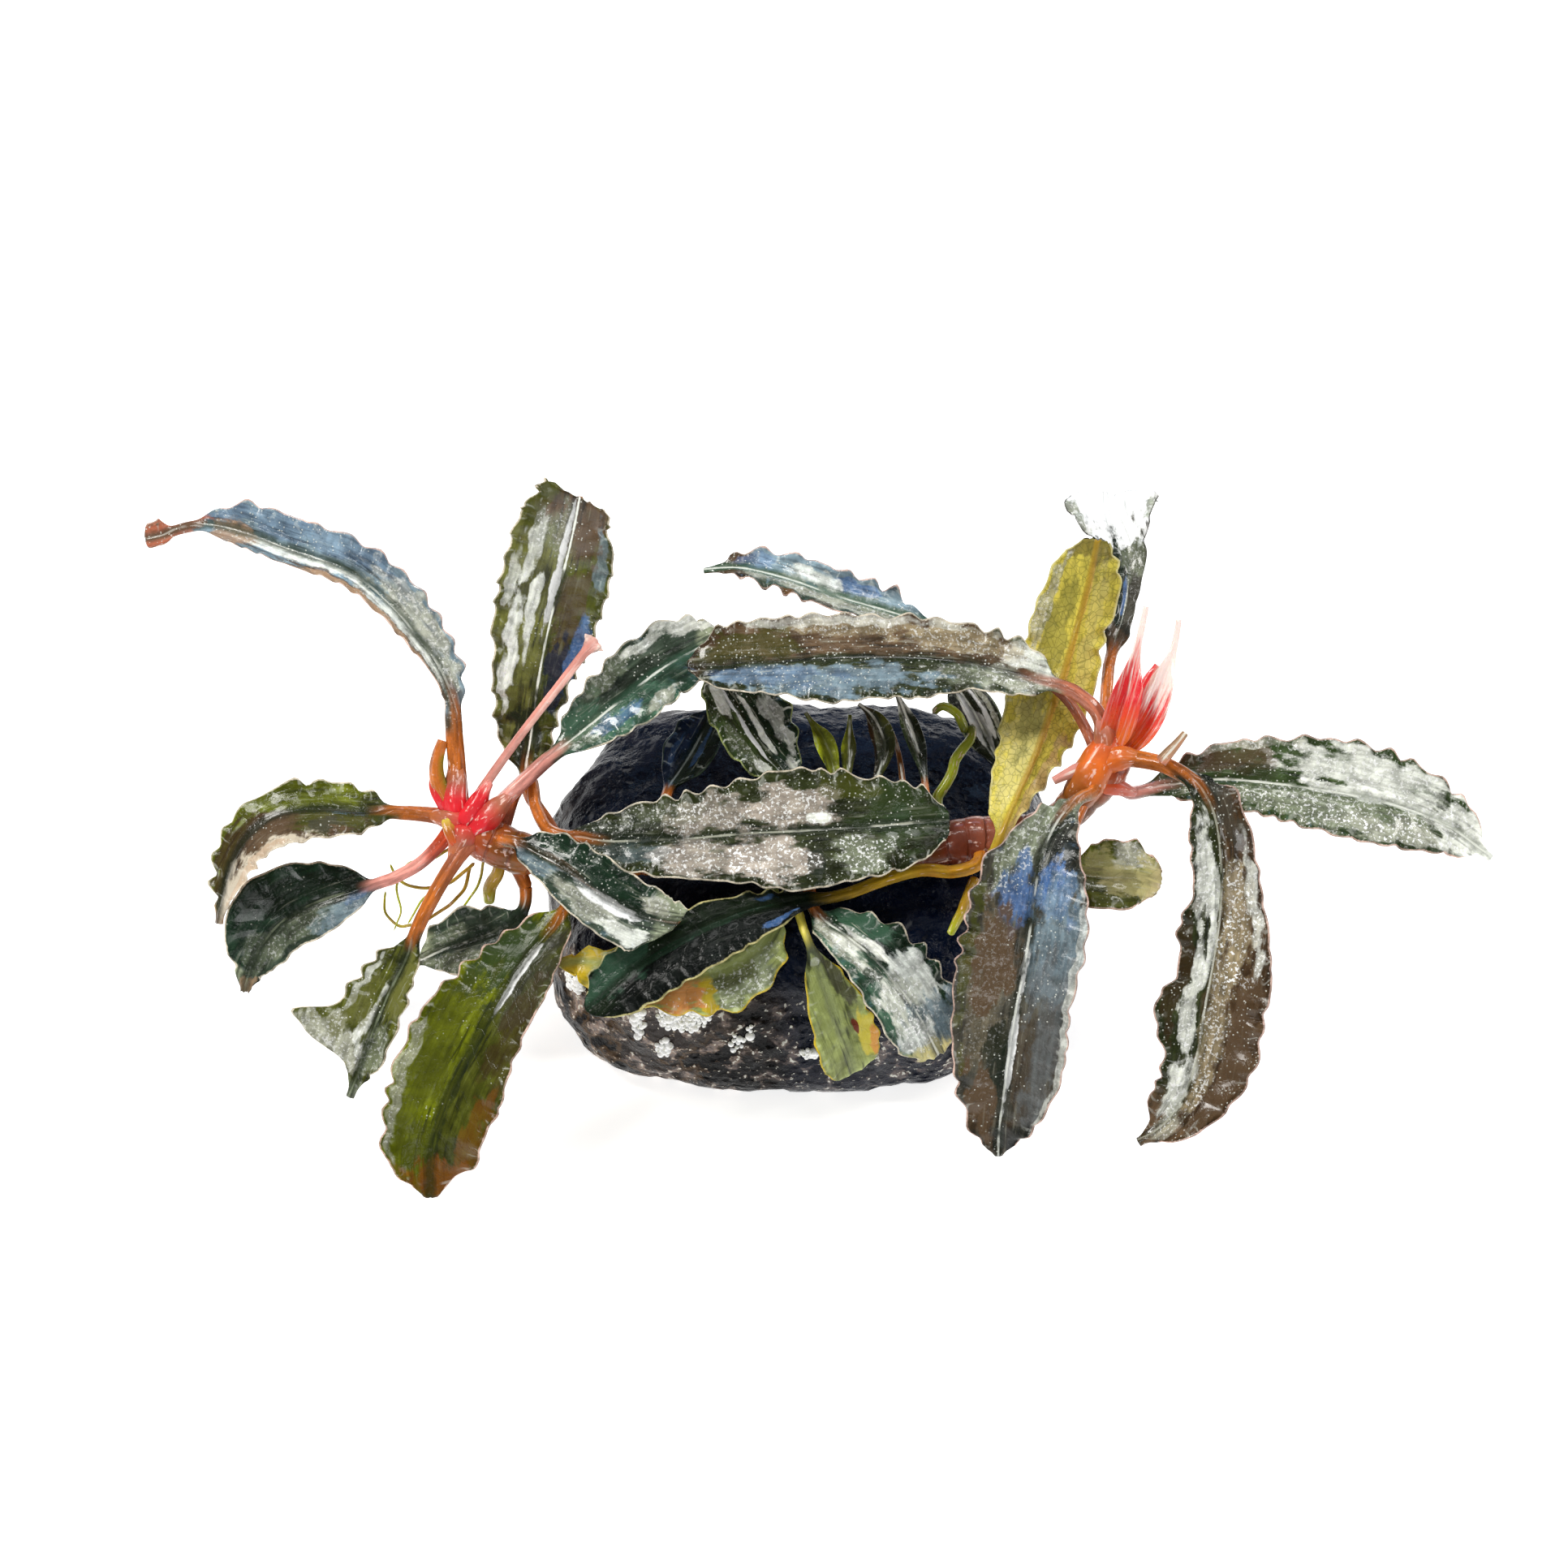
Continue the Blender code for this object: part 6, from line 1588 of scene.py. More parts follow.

# A patch in a sheen tint (frost, white, silver, pinkish silver, steel, sky, the tan-gold sheen, ash
# green) is painted sheen, highlight or blue reflection, and so are the steel halves and frost tips
LOOKS = {
    "leaf_arching_left": Look(
        "steel", "steel", base="bark", flank="grey_green", tip="bark", under="tan",
        stalk=("amber", "coral"), rim="rose_cream", rib_share=0.3, dots=0.8, streaks=0.2,
        patches=(
            (0.14, 0.3, 0.12, 0.7, "ash_green", 0.6),
            (0.3, 0.3, 0.2, 0.3, "frost", 0.8),
            (0.25, -0.4, 0.2, 0.5, "silver", 0.8),
            (0.62, 0.2, 0.2, 0.22, "frost", 0.9),
            (0.6, -0.6, 0.3, 0.4, "sky", 0.25),
            (0.42, 0.75, 0.36, 0.4, "bark", 0.9),
            (0.4, 0.7, 0.24, 0.25, "tan", 0.9),
            (0.78, 0.3, 0.06, 0.7, "tan", 0.7),
            (0.93, 0.0, 0.08, 1.6, "brick", 0.95),
        ),
    ),
    "leaf_upright": Look(
        "olive", "moss", tip="bark", under="olive", under_vein="moss", rib_share=0.95, dots=0.3,
        streaks=0.15, flank_share=0.4,
        patches=(
            (0.5, 0.62, 0.17, 0.14, "frost", 1.0),
            (0.36, 0.76, 0.1, 0.12, "frost", 0.9),
            (0.58, 0.36, 0.14, 0.1, "frost", 0.9),
            (0.7, 0.8, 0.12, 0.1, "frost", 0.6),
            (0.88, 0.3, 0.1, 0.3, "ash_green", 0.6),
            (0.16, 0.1, 0.12, 0.6, "night_green", 0.85),
            (0.82, 0.55, 0.12, 0.14, "frost", 0.7),
            (0.74, 0.08, 0.22, 0.07, "white", 0.9),
            (0.62, -0.35, 0.25, 0.3, "bark", 0.6),
            (0.4, -0.5, 0.14, 0.4, "night_blue", 0.8),
            (0.5, -0.75, 0.16, 0.18, "sky", 0.7),
            (0.84, -0.75, 0.12, 0.16, "steel", 0.6),
            (0.9, -0.4, 0.12, 0.3, "bark", 0.8),
            (0.95, 0.8, 0.08, 0.3, "moss", 0.7),
        ),
    ),
    "cut_leaf_stalk": Look(
        "rose", "blush", base="coral", flank="rose", tip="blush", under="rose", under_vein="coral",
        stalk=("rose", "crimson"), rim="blush", rib="blush", dots=0.1,
    ),
    "leaf_inner_left": Look(
        "grey_green", "sea_green", base="sea_green", flank="sea_green", tip="ash_green",
        under="ash_green", under_vein="grey_green", stalk=("rose", "coral"), streaks=0.2,
        flank_share=0.5,
        patches=(
            (0.2, 0.55, 0.14, 0.5, "sea_green", 0.8),
            (0.2, -0.3, 0.15, 0.5, "ash_green", 0.35),
            (0.42, 0.7, 0.2, 0.25, "ash_green", 0.4),
            (0.34, -0.4, 0.12, 0.35, "sky", 0.5),
            (0.55, -0.7, 0.1, 0.2, "silver", 0.7),
            (0.58, 0.15, 0.18, 0.3, "night_green", 0.8),
            (0.85, 0.8, 0.16, 0.3, "frost", 0.8),
            (0.75, -0.3, 0.14, 0.4, "night_green", 0.5),
            (0.66, 0.75, 0.12, 0.16, "frost", 0.7),
        ),
    ),
    "leaf_left_upper": Look(
        "bark", "yellow_olive", base="moss", tip="tan", under="tan", rib="smoke", dots=0.4,
        streaks=0.2,
        patches=(
            (0.3, 0.3, 0.16, 0.6, "moss", 0.8),
            (0.3, 0.55, 0.08, 0.3, "smoke", 0.7),
            (0.58, 0.2, 0.18, 0.5, "bark", 0.8),
            (0.75, -0.3, 0.2, 0.6, "umber", 0.8),
            (0.6, 0.95, 0.26, 0.35, "cream", 0.75),
            (0.88, 0.75, 0.2, 0.7, "cream", 0.7),
            (0.7, 0.85, 0.2, 0.2, "tan", 0.5),
        ),
    ),
    "leaf_left_lower": Look(
        "grey_green", "deep_green", tip="ash_green", under="grey_green", rib="ash_green",
        rib_share=0.5, dots=0.15, streaks=0.2, comb=0.0, gloss=0.5, stalk=("rose", "coral"),
        patches=(
            (0.2, 0.65, 0.24, 0.4, "steel", 0.75),
            (0.12, 0.3, 0.1, 0.3, "sky", 0.4),
            (0.4, -0.4, 0.25, 0.4, "night_green", 0.6),
            (0.55, 0.4, 0.25, 0.4, "ash_green", 0.3),
            (0.8, 0.1, 0.15, 0.6, "ash_green", 0.3),
            (0.97, 0.0, 0.05, 1.2, "tan", 0.6),
        ),
    ),
    "leaf_left_drooping": Look(
        "moss", "moss", tip="ash_green", under="ash_green", under_vein="dark_olive",
        rib="ash_green", dots=0.3, gloss=0.7,
        patches=(
            (0.32, 0.5, 0.22, 0.5, "olive", 0.9),
            (0.72, 0.3, 0.2, 0.5, "ash_green", 0.6),
            (0.74, -0.6, 0.16, 0.45, "silver", 0.8),
            (0.55, -0.15, 0.2, 0.1, "frost", 0.8),
            (0.4, -0.75, 0.2, 0.12, "frost", 0.6),
            (0.5, -0.5, 0.2, 0.35, "olive", 0.6),
            (0.93, 0.2, 0.06, 0.8, "ash_green", 0.5),
        ),
    ),
    "leaf_front_left_large": Look(
        "moss", "yellow_olive", flank="dark_olive", tip="rust", rim="rose_cream", rib="moss",
        rib_share=0.5, dots=0.2, streaks=0.05, gloss=0.25,
        patches=(
            (0.22, -0.4, 0.18, 0.7, "leaf_green", 0.9),
            (0.26, 0.45, 0.2, 0.6, "smoke", 0.5),
            (0.45, 0.7, 0.2, 0.35, "umber", 0.5),
            (0.6, -0.5, 0.3, 0.4, "moss", 0.5),
            (0.82, 0.75, 0.2, 0.3, "rust", 0.5),
            (0.95, 0.3, 0.07, 0.9, "rust", 0.8),
            (0.96, -0.3, 0.05, 0.6, "rust", 0.5),
            (0.27, 0.1, 0.14, 0.1, "white", 0.9),
            (0.55, 0.1, 0.3, 0.05, "night_green", 0.6),
            (0.7, -0.85, 0.2, 0.12, "silver", 0.45),
        ),
    ),
    "leaf_silver_left": Look(
        "deep_green", "grey_green", tip="ash_green", under="ash_green", rib="bark", dots=0.9,
        patches=(
            (0.22, -0.45, 0.14, 0.5, "steel", 0.7),
            (0.55, -0.5, 0.24, 0.35, "silver", 0.6),
            (0.62, -0.12, 0.22, 0.18, "white", 0.9),
            (0.8, -0.6, 0.14, 0.3, "frost", 0.7),
            (0.6, 0.45, 0.2, 0.3, "deep_green", 0.7),
            (0.86, 0.5, 0.1, 0.4, "silver", 0.7),
            (0.28, 0.1, 0.2, 0.12, "bark", 0.7),
        ),
    ),
    "leaf_shaded_left": Look(
        "grey_green", "grey_green", base="deep_green", tip="ash_green", under="ash_green",
        under_vein="dark_olive", dots=0.1, gloss=0.4,
        patches=(
            (0.75, 0.6, 0.25, 0.4, "ash_green", 0.6),
            (0.75, -0.3, 0.2, 0.3, "ash_green", 0.3),
        ),
    ),
    "bract_left": Look(
        "amber", "yellow_olive", base="coral", flank="amber", tip="amber", under="amber",
        rim="rose_cream", rib="amber", stalk=("amber", "coral"), dots=0.0,
    ),
    "leaf_centre_large": Look(
        "dark_olive", "dark_olive", tip="deep_green", under="ash_green", rib="silver", dots=0.9,
        streaks=0.15, flank_share=0.6, glint_share=0.9, gloss=0.7,
        patches=(
            (0.4, 0.45, 0.13, 0.4, "pink_silver", 0.5),
            (0.6, 0.4, 0.12, 0.4, "pink_silver", 0.7),
            (0.25, 0.6, 0.15, 0.3, "ash_green", 0.25),
            (0.37, -0.45, 0.12, 0.45, "pink_silver", 0.65),
            (0.54, -0.45, 0.12, 0.42, "pink_silver", 0.85),
            (0.2, -0.4, 0.1, 0.4, "steel", 0.3),
            (0.78, -0.5, 0.08, 0.4, "ash_green", 0.8),
            (0.67, 0.2, 0.03, 0.1, "frost", 1.0),
            (0.88, 0.2, 0.12, 0.8, "leaf_green", 0.6),
            (0.75, 0.75, 0.08, 0.25, "moss", 0.6),
            (0.66, -0.6, 0.02, 0.4, "night_green", 0.8),
            (0.1, 0.0, 0.12, 0.9, "night_green", 0.7),
        ),
    ),
    "leaf_across_top": Look(
        "dark_olive", "bark", base="ash_green", rib="night", stalk=("brick", "rose"),
        flank_share=0.5, dots=1.0, streaks=0.4,
        patches=(
            (0.1, 0.3, 0.13, 0.6, "silver", 0.75),
            (0.25, 0.4, 0.12, 0.35, "ash_green", 0.5),
            (0.65, 0.5, 0.3, 0.42, "steel", 1.0),
            (0.8, 0.45, 0.2, 0.3, "sky", 0.3),
            (0.1, -0.5, 0.1, 0.4, "frost", 0.7),
            (0.3, -0.55, 0.2, 0.35, "gold_sheen", 0.6),
            (0.55, -0.7, 0.2, 0.2, "gold_sheen", 0.5),
            (0.85, -0.4, 0.15, 0.5, "moss", 0.5),
            (0.6, -0.85, 0.3, 0.12, "frost", 0.4),
        ),
    ),
    "leaf_back_centre": Look(
        "grey_green", "steel", base="night_blue", flank="sea_green", rim="rose_cream", dots=0.4,
        patches=(
            (0.45, 0.4, 0.22, 0.45, "silver", 0.85),
            (0.35, 0.0, 0.15, 0.5, "ash_green", 0.6),
            (0.7, 0.2, 0.2, 0.4, "silver", 0.8),
            (0.45, -0.5, 0.1, 0.3, "sky", 0.6),
            (0.62, -0.4, 0.12, 0.35, "frost", 0.7),
            (0.82, -0.4, 0.1, 0.4, "sky", 0.4),
            (0.55, 0.85, 0.05, 0.25, "umber", 0.8),
            (0.68, 0.85, 0.04, 0.25, "rust", 0.7),
        ),
    ),
    "leaf_middle_green": Look(
        "leaf_green", "deep_green", tip="leaf_green", under="leaf_green", rim="lime",
        rib="night_green", dots=1.0, streaks=0.5, flank_share=0.3, glint_share=0.8, comb=0.6,
        patches=(
            (0.5, 0.14, 0.32, 0.07, "white", 1.0),
            (0.5, -0.16, 0.3, 0.08, "frost", 1.0),
            (0.45, 0.6, 0.2, 0.25, "ash_green", 0.35),
            (0.5, -0.6, 0.2, 0.2, "frost", 0.4),
            (0.75, 0.4, 0.14, 0.2, "frost", 0.9),
            (0.3, -0.7, 0.14, 0.16, "frost", 0.7),
            (0.25, 0.5, 0.08, 0.2, "frost", 0.7),
            (0.2, -0.5, 0.06, 0.3, "frost", 0.7),
        ),
    ),
    "leaf_middle_blue": Look(
        "night_blue", "night_green", tip="night_green", under="night_green", rim="grey_green",
        dots=0.1, streaks=0.3, gloss=0.4, rib_share=0.2,
        patches=(
            (0.6, -0.3, 0.3, 0.12, "sky", 0.4),
            (0.45, 0.6, 0.2, 0.12, "sky", 0.25),
        ),
    ),
    "leaf_narrow_dark": Look(
        "leaf_green", "night_green", tip="frost", under="night_green", rim="ash_green", dots=0.0,
        streaks=0.5,
        patches=(
            (0.6, 0.4, 0.35, 0.3, "ash_green", 0.7),
            (0.65, -0.1, 0.25, 0.15, "frost", 0.9),
        ),
    ),
    "leaf_striped_dark": Look(
        "night_green", "night_green", tip="ash_green", under="night_green", rim="ash_green",
        dots=0.1, streaks=1.0,
        patches=(
            (0.35, -0.12, 0.3, 0.18, "white", 1.0),
            (0.6, 0.25, 0.35, 0.2, "white", 1.0),
            (0.65, -0.4, 0.3, 0.14, "white", 0.8),
            (0.6, -0.7, 0.2, 0.14, "silver", 0.8),
        ),
    ),
    "leaf_tall_yellow": Look(
        "dark_olive", "moss", under="straw", under_vein="moss", stalk=("root_yellow", "coral"),
        rib="silver", rim="pale_straw", dots=0.1, web=0.45, on_both_sides=True,
        patches=(
            (0.3, -0.4, 0.25, 0.5, "pale_straw", 0.5),
            (0.75, -0.8, 0.2, 0.16, "silver", 0.6),
            (0.2, 0.7, 0.2, 0.35, "tan", 0.6),
            (0.5, 0.06, 0.6, 0.08, "orange", 0.4),
            (0.98, 0.0, 0.05, 1.2, "umber", 0.6),
            (0.7, 0.5, 0.25, 0.3, "pale_straw", 0.3),
            (0.6, -0.4, 0.3, 0.3, "olive", 0.5),
        ),
    ),
    "young_leaf_yellow_left": Look(
        "root_green", "root_green", base="root_green", flank="moss", tip="moss", under="root_green",
        rim="root_green", stalk=("root_green", "amber"), dots=0.0,
    ),
    "young_leaf_yellow_right": Look(
        "root_green", "moss", base="straw", flank="moss", tip="root_green", under="root_green",
        rim="yellow", stalk=("straw", "amber"), dots=0.0,
    ),
    "young_leaf_curved": Look(
        "umber", "moss", base="rust", tip="bark", under="rust", rim="bark", stalk=("rust", "amber"),
        dots=0.3,
        patches=(
            (0.6, 0.3, 0.3, 0.4, "ash_green", 0.6),
        ),
    ),
    "young_shoot_orange": Look(
        "rust", "amber", base="rust", flank="rust", tip="yellow", under="amber", rim="amber",
        stalk=("rust", "amber"), dots=0.0,
    ),
    "leaf_front_centre": Look(
        "deep_green", "sea_green", base="deep_green", tip="pale_straw", under="ash_green",
        under_vein="grey_green", dots=0.6, streaks=0.7, flank_share=0.5,
        patches=(
            (0.26, -0.4, 0.22, 0.5, "silver", 0.85),
            (0.3, -0.3, 0.14, 0.3, "frost", 0.7),
            (0.37, 0.2, 0.18, 0.13, "frost", 1.0),
            (0.25, 0.6, 0.18, 0.35, "sea_green", 0.8),
            (0.65, 0.35, 0.17, 0.5, "steel", 0.6),
            (0.65, 0.35, 0.17, 0.5, "frost", 0.6),
            (0.74, -0.25, 0.2, 0.55, "ash_green", 0.9),
            (0.74, -0.25, 0.2, 0.55, "frost", 0.55),
            (0.86, 0.1, 0.14, 0.9, "steel", 0.8),
            (0.86, -0.3, 0.1, 0.5, "frost", 0.6),
            (0.5, -0.4, 0.04, 0.5, "deep_green", 0.8),
            (0.96, -0.3, 0.05, 0.6, "pale_straw", 0.6),
        ),
    ),
    "leaf_front_long": Look(
        "night", "night_green", base="night", tip="night_green", under="grey_green",
        rim="pale_straw", rib="deep_green", stalk=("root_yellow", "amber"), dots=0.0, streaks=0.05,
        comb=0.0, gloss=0.15,
        patches=(
            (0.27, 0.7, 0.07, 0.14, "sky", 0.7),
            (0.29, -0.5, 0.04, 0.25, "sky", 0.5),
            (0.85, -0.4, 0.17, 0.6, "sea_green", 0.6),
            (0.6, 0.05, 0.25, 0.1, "sea_green", 0.4),
        ),
    ),
    "leaf_front_small": Look(
        "lime", "lime", flank="ash_green", tip="lime", under="lime", under_vein="straw",
        stalk=("straw", "amber"), rim="yellow", rib="smoke", rib_share=0.4, dots=0.0, streaks=0.1,
        flank_share=0.3, gloss=0.5,
        patches=(
            (0.35, 0.65, 0.22, 0.3, "smoke", 0.8),
            (0.4, -0.3, 0.25, 0.5, "lime", 0.9),
            (0.8, 0.7, 0.2, 0.25, "straw", 0.9),
            (0.88, 0.85, 0.1, 0.15, "orange", 0.8),
            (0.7, 0.45, 0.06, 0.08, "sheath", 1.0),
            (0.22, -0.2, 0.03, 0.5, "frost", 0.4),
        ),
    ),
    "leaf_old_yellow": Look(
        "lime", "lime", flank="lime", tip="yellow", under="straw", stalk=("lime", "amber"),
        rim="yellow", rib="lime", dots=0.1, streaks=0.2, gloss=0.6,
        patches=(
            (0.34, 0.4, 0.14, 0.7, "ash_green", 0.8),
            (0.36, 0.2, 0.08, 0.3, "moss", 0.6),
            (0.47, 0.5, 0.03, 0.8, "yellow", 0.9),
            (0.58, 0.4, 0.1, 1.0, "orange", 0.95),
            (0.78, 0.2, 0.08, 1.0, "leaf_green", 0.8),
            (0.93, 0.0, 0.09, 1.2, "yellow", 0.9),
        ),
    ),
    "leaf_back_right": Look(
        "night_green", "smoke", base="bark", flank="night", tip="white", under="ash_green",
        rim="smoke", rib="silver", rib_share=0.0, dots=0.1, streaks=0.0, flank_share=0.0,
        patches=(
            (0.1, 0.0, 0.16, 1.3, "bark", 0.8),
            (0.36, 0.25, 0.14, 0.2, "sky", 0.7),
            (0.3, 0.05, 0.2, 0.1, "silver", 0.6),
            (0.6, -0.3, 0.15, 0.8, "ash_green", 0.5),
            (0.94, 0.0, 0.26, 2.4, "white", 1.0),
            (0.94, 0.0, 0.26, 2.4, "white", 0.9),
            (0.86, 1.0, 0.1, 0.3, "ash_green", 0.8),
            (0.86, -1.0, 0.1, 0.3, "ash_green", 0.8),
        ),
    ),
    "leaf_right_long": Look(
        "leaf_green", "leaf_green", stalk=("rose", "brick"), base="bark", flank="leaf_green",
        tip="frost", under="ash_green", rim="rose_cream", dots=0.8, streaks=0.2, flank_share=0.5,
        glint_share=0.7,
        patches=(
            (0.62, 0.5, 0.26, 0.42, "frost", 0.8),
            (0.5, -0.4, 0.4, 0.5, "ash_green", 0.85),
            (0.75, -0.6, 0.2, 0.3, "silver", 0.6),
            (0.68, 0.08, 0.26, 0.16, "frost", 1.0),
            (0.91, 0.1, 0.1, 0.9, "frost", 0.85),
            (0.28, 0.5, 0.1, 0.4, "bark", 0.7),
            (0.33, 0.2, 0.08, 0.2, "dark_olive", 0.7),
            (0.3, 0.88, 0.12, 0.12, "silver", 0.6),
        ),
    ),
    "leaf_right_drooping": Look(
        "umber", "dark_olive", flank="dark_olive", tip="bark", rim="rose_cream", rib="silver",
        dots=0.9, streaks=0.15, glint_share=0.9, flank_share=0.4, gloss=0.8, stalk=("amber", "amber"),
        patches=(
            (0.15, 0.5, 0.1, 0.4, "smoke", 0.6),
            (0.4, 0.4, 0.15, 0.4, "gold_sheen", 0.6),
            (0.65, 0.2, 0.3, 0.25, "gold_sheen", 0.6),
            (0.72, 0.65, 0.25, 0.3, "bark", 0.8),
            (0.28, -0.5, 0.16, 0.4, "frost", 0.7),
            (0.42, -0.14, 0.16, 0.12, "frost", 1.0),
            (0.55, -0.75, 0.2, 0.2, "umber", 0.6),
            (0.62, -0.35, 0.2, 0.2, "frost", 0.7),
            (0.84, -0.3, 0.12, 0.4, "frost", 0.8),
            (0.36, 0.75, 0.14, 0.16, "frost", 0.5),
            (0.93, 0.2, 0.06, 0.6, "silver", 0.5),
        ),
    ),
    "leaf_front_right_large": Look(
        "smoke", "smoke", base="ash_green", rim="rose_cream", rib_share=0.5, streaks=0.15,
        gloss=0.7, flank_share=0.6,
        patches=(
            (0.55, 0.6, 0.4, 0.35, "steel", 0.35),
            (0.6, -0.5, 0.3, 0.4, "gold_sheen", 0.2),
            (0.06, 0.0, 0.1, 1.0, "ash_green", 0.6),
            (0.2, 0.5, 0.1, 0.5, "night", 0.8),
            (0.32, 0.4, 0.09, 0.4, "sky", 1.0),
            (0.42, 0.5, 0.16, 0.5, "steel", 0.6),
            (0.5, 0.3, 0.16, 0.3, "steel", 0.4),
            (0.7, 0.5, 0.25, 0.5, "bark", 0.3),
            (0.2, -0.5, 0.13, 0.45, "ash_green", 0.7),
            (0.34, -0.3, 0.1, 0.3, "sky", 0.7),
            (0.5, -0.45, 0.14, 0.4, "bark", 0.9),
            (0.76, -0.25, 0.12, 0.25, "night_green", 0.8),
            (0.87, -0.5, 0.12, 0.35, "bark", 0.9),
            (0.7, 0.03, 0.2, 0.07, "white", 1.0),
            (0.6, 0.92, 0.3, 0.08, "frost", 0.4),
            (0.95, 0.3, 0.06, 0.7, "night", 0.7),
            (0.5, -0.85, 0.25, 0.1, "moss", 0.6),
        ),
    ),
    "leaf_right_small": Look(
        "yellow_olive", "moss", base="moss", tip="gold_sheen", under="moss", rim="rose_cream",
        rib="pale_straw", dots=0.4, flank_share=0.2,
        patches=(
            (0.45, 0.3, 0.2, 0.5, "pale_straw", 0.4),
            (0.75, 0.55, 0.2, 0.35, "silver", 0.75),
            (0.7, -0.2, 0.25, 0.5, "pale_straw", 0.45),
            (0.9, 0.0, 0.12, 1.0, "pale_straw", 0.6),
        ),
    ),
    "bract_crown_right": Look(
        "tan", "rose", base="coral", flank="rose", tip="cream", under="rose", under_vein="rose",
        rim="rose_cream", stalk=("amber", "coral"), dots=0.0,
    ),
    "bract_right": Look(
        "bark", "brick", base="brick", flank="tan", tip="bark", under="brick",
        stalk=("brick", "coral"), dots=0.0,
    ),
}


# The pieces


def grow_rhizome():
    """The creeping stem, ringed by the scars of old leaves."""
    depth = size("ring_depth")

    def swell(s, angle):
        ring = abs(((s + 0.25 * math.sin(angle * 2 + s)) / RING_SPACING) % 1.0 - 0.5) * 2
        lump = noise.noise(Vector((s * 0.5, math.cos(angle) * 0.8, math.sin(angle) * 0.8)))
        return -depth * (1 - ring) ** 3 + 0.12 * lump

    points, faces, values = tube_mesh(RHIZOME, RHIZOME_STEP, RHIZOME_SIDES, swell)
    finish = stem_finish("rhizome", RHIZOME_TINTS, rings=0.55)
    new_piece("rhizome_fine", points, faces, values, finish, "rhizome")


def grow_roots():
    """The roots that have solids of their own."""
    plump = share_of("root_plumpness")
    wander = size("root_wander")
    for seed, (node, rows) in enumerate(ROOTS.items()):
        tints = GREEN_ROOT if "green" in node else YELLOW_ROOT
        if node in THIN_ROOTS:
            rows = [(*row[:3], row[3] * plump) for row in rows]
        points, faces, values = tube_mesh(rows, ROOT_STEP, ROOT_SIDES, wander=wander, seed=seed)
        new_piece(node + "_fine", points, faces, values, stem_finish(node, tints), node)


def grow_root_hairs():
    """Thin young roots that hang from the left crown."""
    points = []
    faces = []
    values = {"along": [], "run_mm": [], "turn": []}
    for seed, rows in enumerate(ROOT_HAIRS):
        one, sides, extra = tube_mesh(rows, HAIR_STEP, HAIR_SIDES, wander=HAIR_WANDER, seed=seed + 50)
        faces += [tuple(corner + len(points) for corner in face) for face in sides]
        points += one.tolist()
        for key in values:
            values[key] += extra[key].tolist()
    finish = stem_finish("root_hairs", HAIR_ROOT)
    new_piece("root_hairs_fine", np.array(points), faces, values, finish)


def grow_bud():
    """The red growing tip: two sheaths, clear at their points, round a core."""
    for seed, leaf in enumerate(BUD):
        points, faces, values = leaf_mesh(leaf, seed + 3)
        clear_tip = 0.0 if leaf.node == "bud_core" else 1.0
        pale_from = 0.3 if leaf.node == "bud_sheath_right" else 0.48
        finish = bud_finish(leaf.node, clear_tip, pale_from)
        new_piece(leaf.node + "_fine", points, faces, values, finish, leaf.node)


def grow_crown_collars():
    """Short fleshy collars, folded lengthwise, round the foot of each crown's stalks."""
    for seed, (name, (tints, rows)) in enumerate(CROWN_COLLARS.items()):
        def swell(s, angle):
            round_it = (math.cos(angle) * 1.1, math.sin(angle) * 1.1 + seed * 3.7)
            lump = noise.noise(Vector((s * 0.7, *round_it)))
            return 0.05 * math.cos(angle * 5 + seed) + 0.14 * lump

        points, faces, values = tube_mesh(rows, COLLAR_STEP, COLLAR_SIDES, swell)
        new_piece(name, points, faces, values, stem_finish(name, tints))


# The stone, in millimetres: half its sizes, and its flat underside below its middle
STONE_HALF = (24.0, 18.0, 12.121)
STONE_FLOOR = -7.879
STONE_SQUARENESS = 3.3
STONE_BACK_STRETCH = 1.1
STONE_CUTS = 70
STONE_LUMP_SPACING = 11.0
STONE_CHIP_SPACING = 4.5
STONE_CREASE_SPACING = 6.0
GOLDEN_ANGLE = 2.399963


def stone_spot(direction):
    """Where the stone's surface is, in millimetres, on the way out from its middle."""
    spread = sum(abs(c) ** STONE_SQUARENESS for c in direction) ** (1 / STONE_SQUARENESS)
    rounded = Vector(direction) / spread
    spot = Vector(rounded[i] * STONE_HALF[i] for i in range(3))
    lump = noise.noise(spot / STONE_LUMP_SPACING) * 1.6
    spot += rounded.normalized() * min(lump, 0.0)
    return spot, rounded


def points_and_faces(bm, name):
    """What a bmesh holds. It is freed."""
    mesh = bpy.data.meshes.new(name)
    bm.to_mesh(mesh)
    bm.free()
    points = np.array([v.co[:] for v in mesh.vertices])
    return points, [tuple(p.vertices) for p in mesh.polygons]


def set_stone():
    """The stone with its chips and creases, flat below."""
    bm = bmesh.new()
    bmesh.ops.create_cube(bm, size=2.0)
    bmesh.ops.subdivide_edges(bm, edges=bm.edges, cuts=STONE_CUTS, use_grid_fill=True)
    grain = size("stone_grain")
    for vert in bm.verts:
        spot, rounded = stone_spot(vert.co)
        chips = noise.fractal(spot / STONE_CHIP_SPACING, 1.0, 2.0, 4) - 0.15
        creases = abs(noise.noise(spot / STONE_CREASE_SPACING + Vector((3, 1, 7)))) * 1.6
        chipped = grain * (min(chips, 0.25) - 0.3)
        creased = 0.5 * grain * (1 - min(creases * 4, 1))
        spot += rounded.normalized() * (chipped - creased)
        spot.y *= STONE_BACK_STRETCH if spot.y > 0 else 1.0
        spot.z = max(spot.z, STONE_FLOOR) - STONE_FLOOR
        vert.co = spot * MM
    points, faces = points_and_faces(bm, "stone_fine")
    return new_piece("stone_fine", points, faces, {}, stone_finish("stone"), "stone")


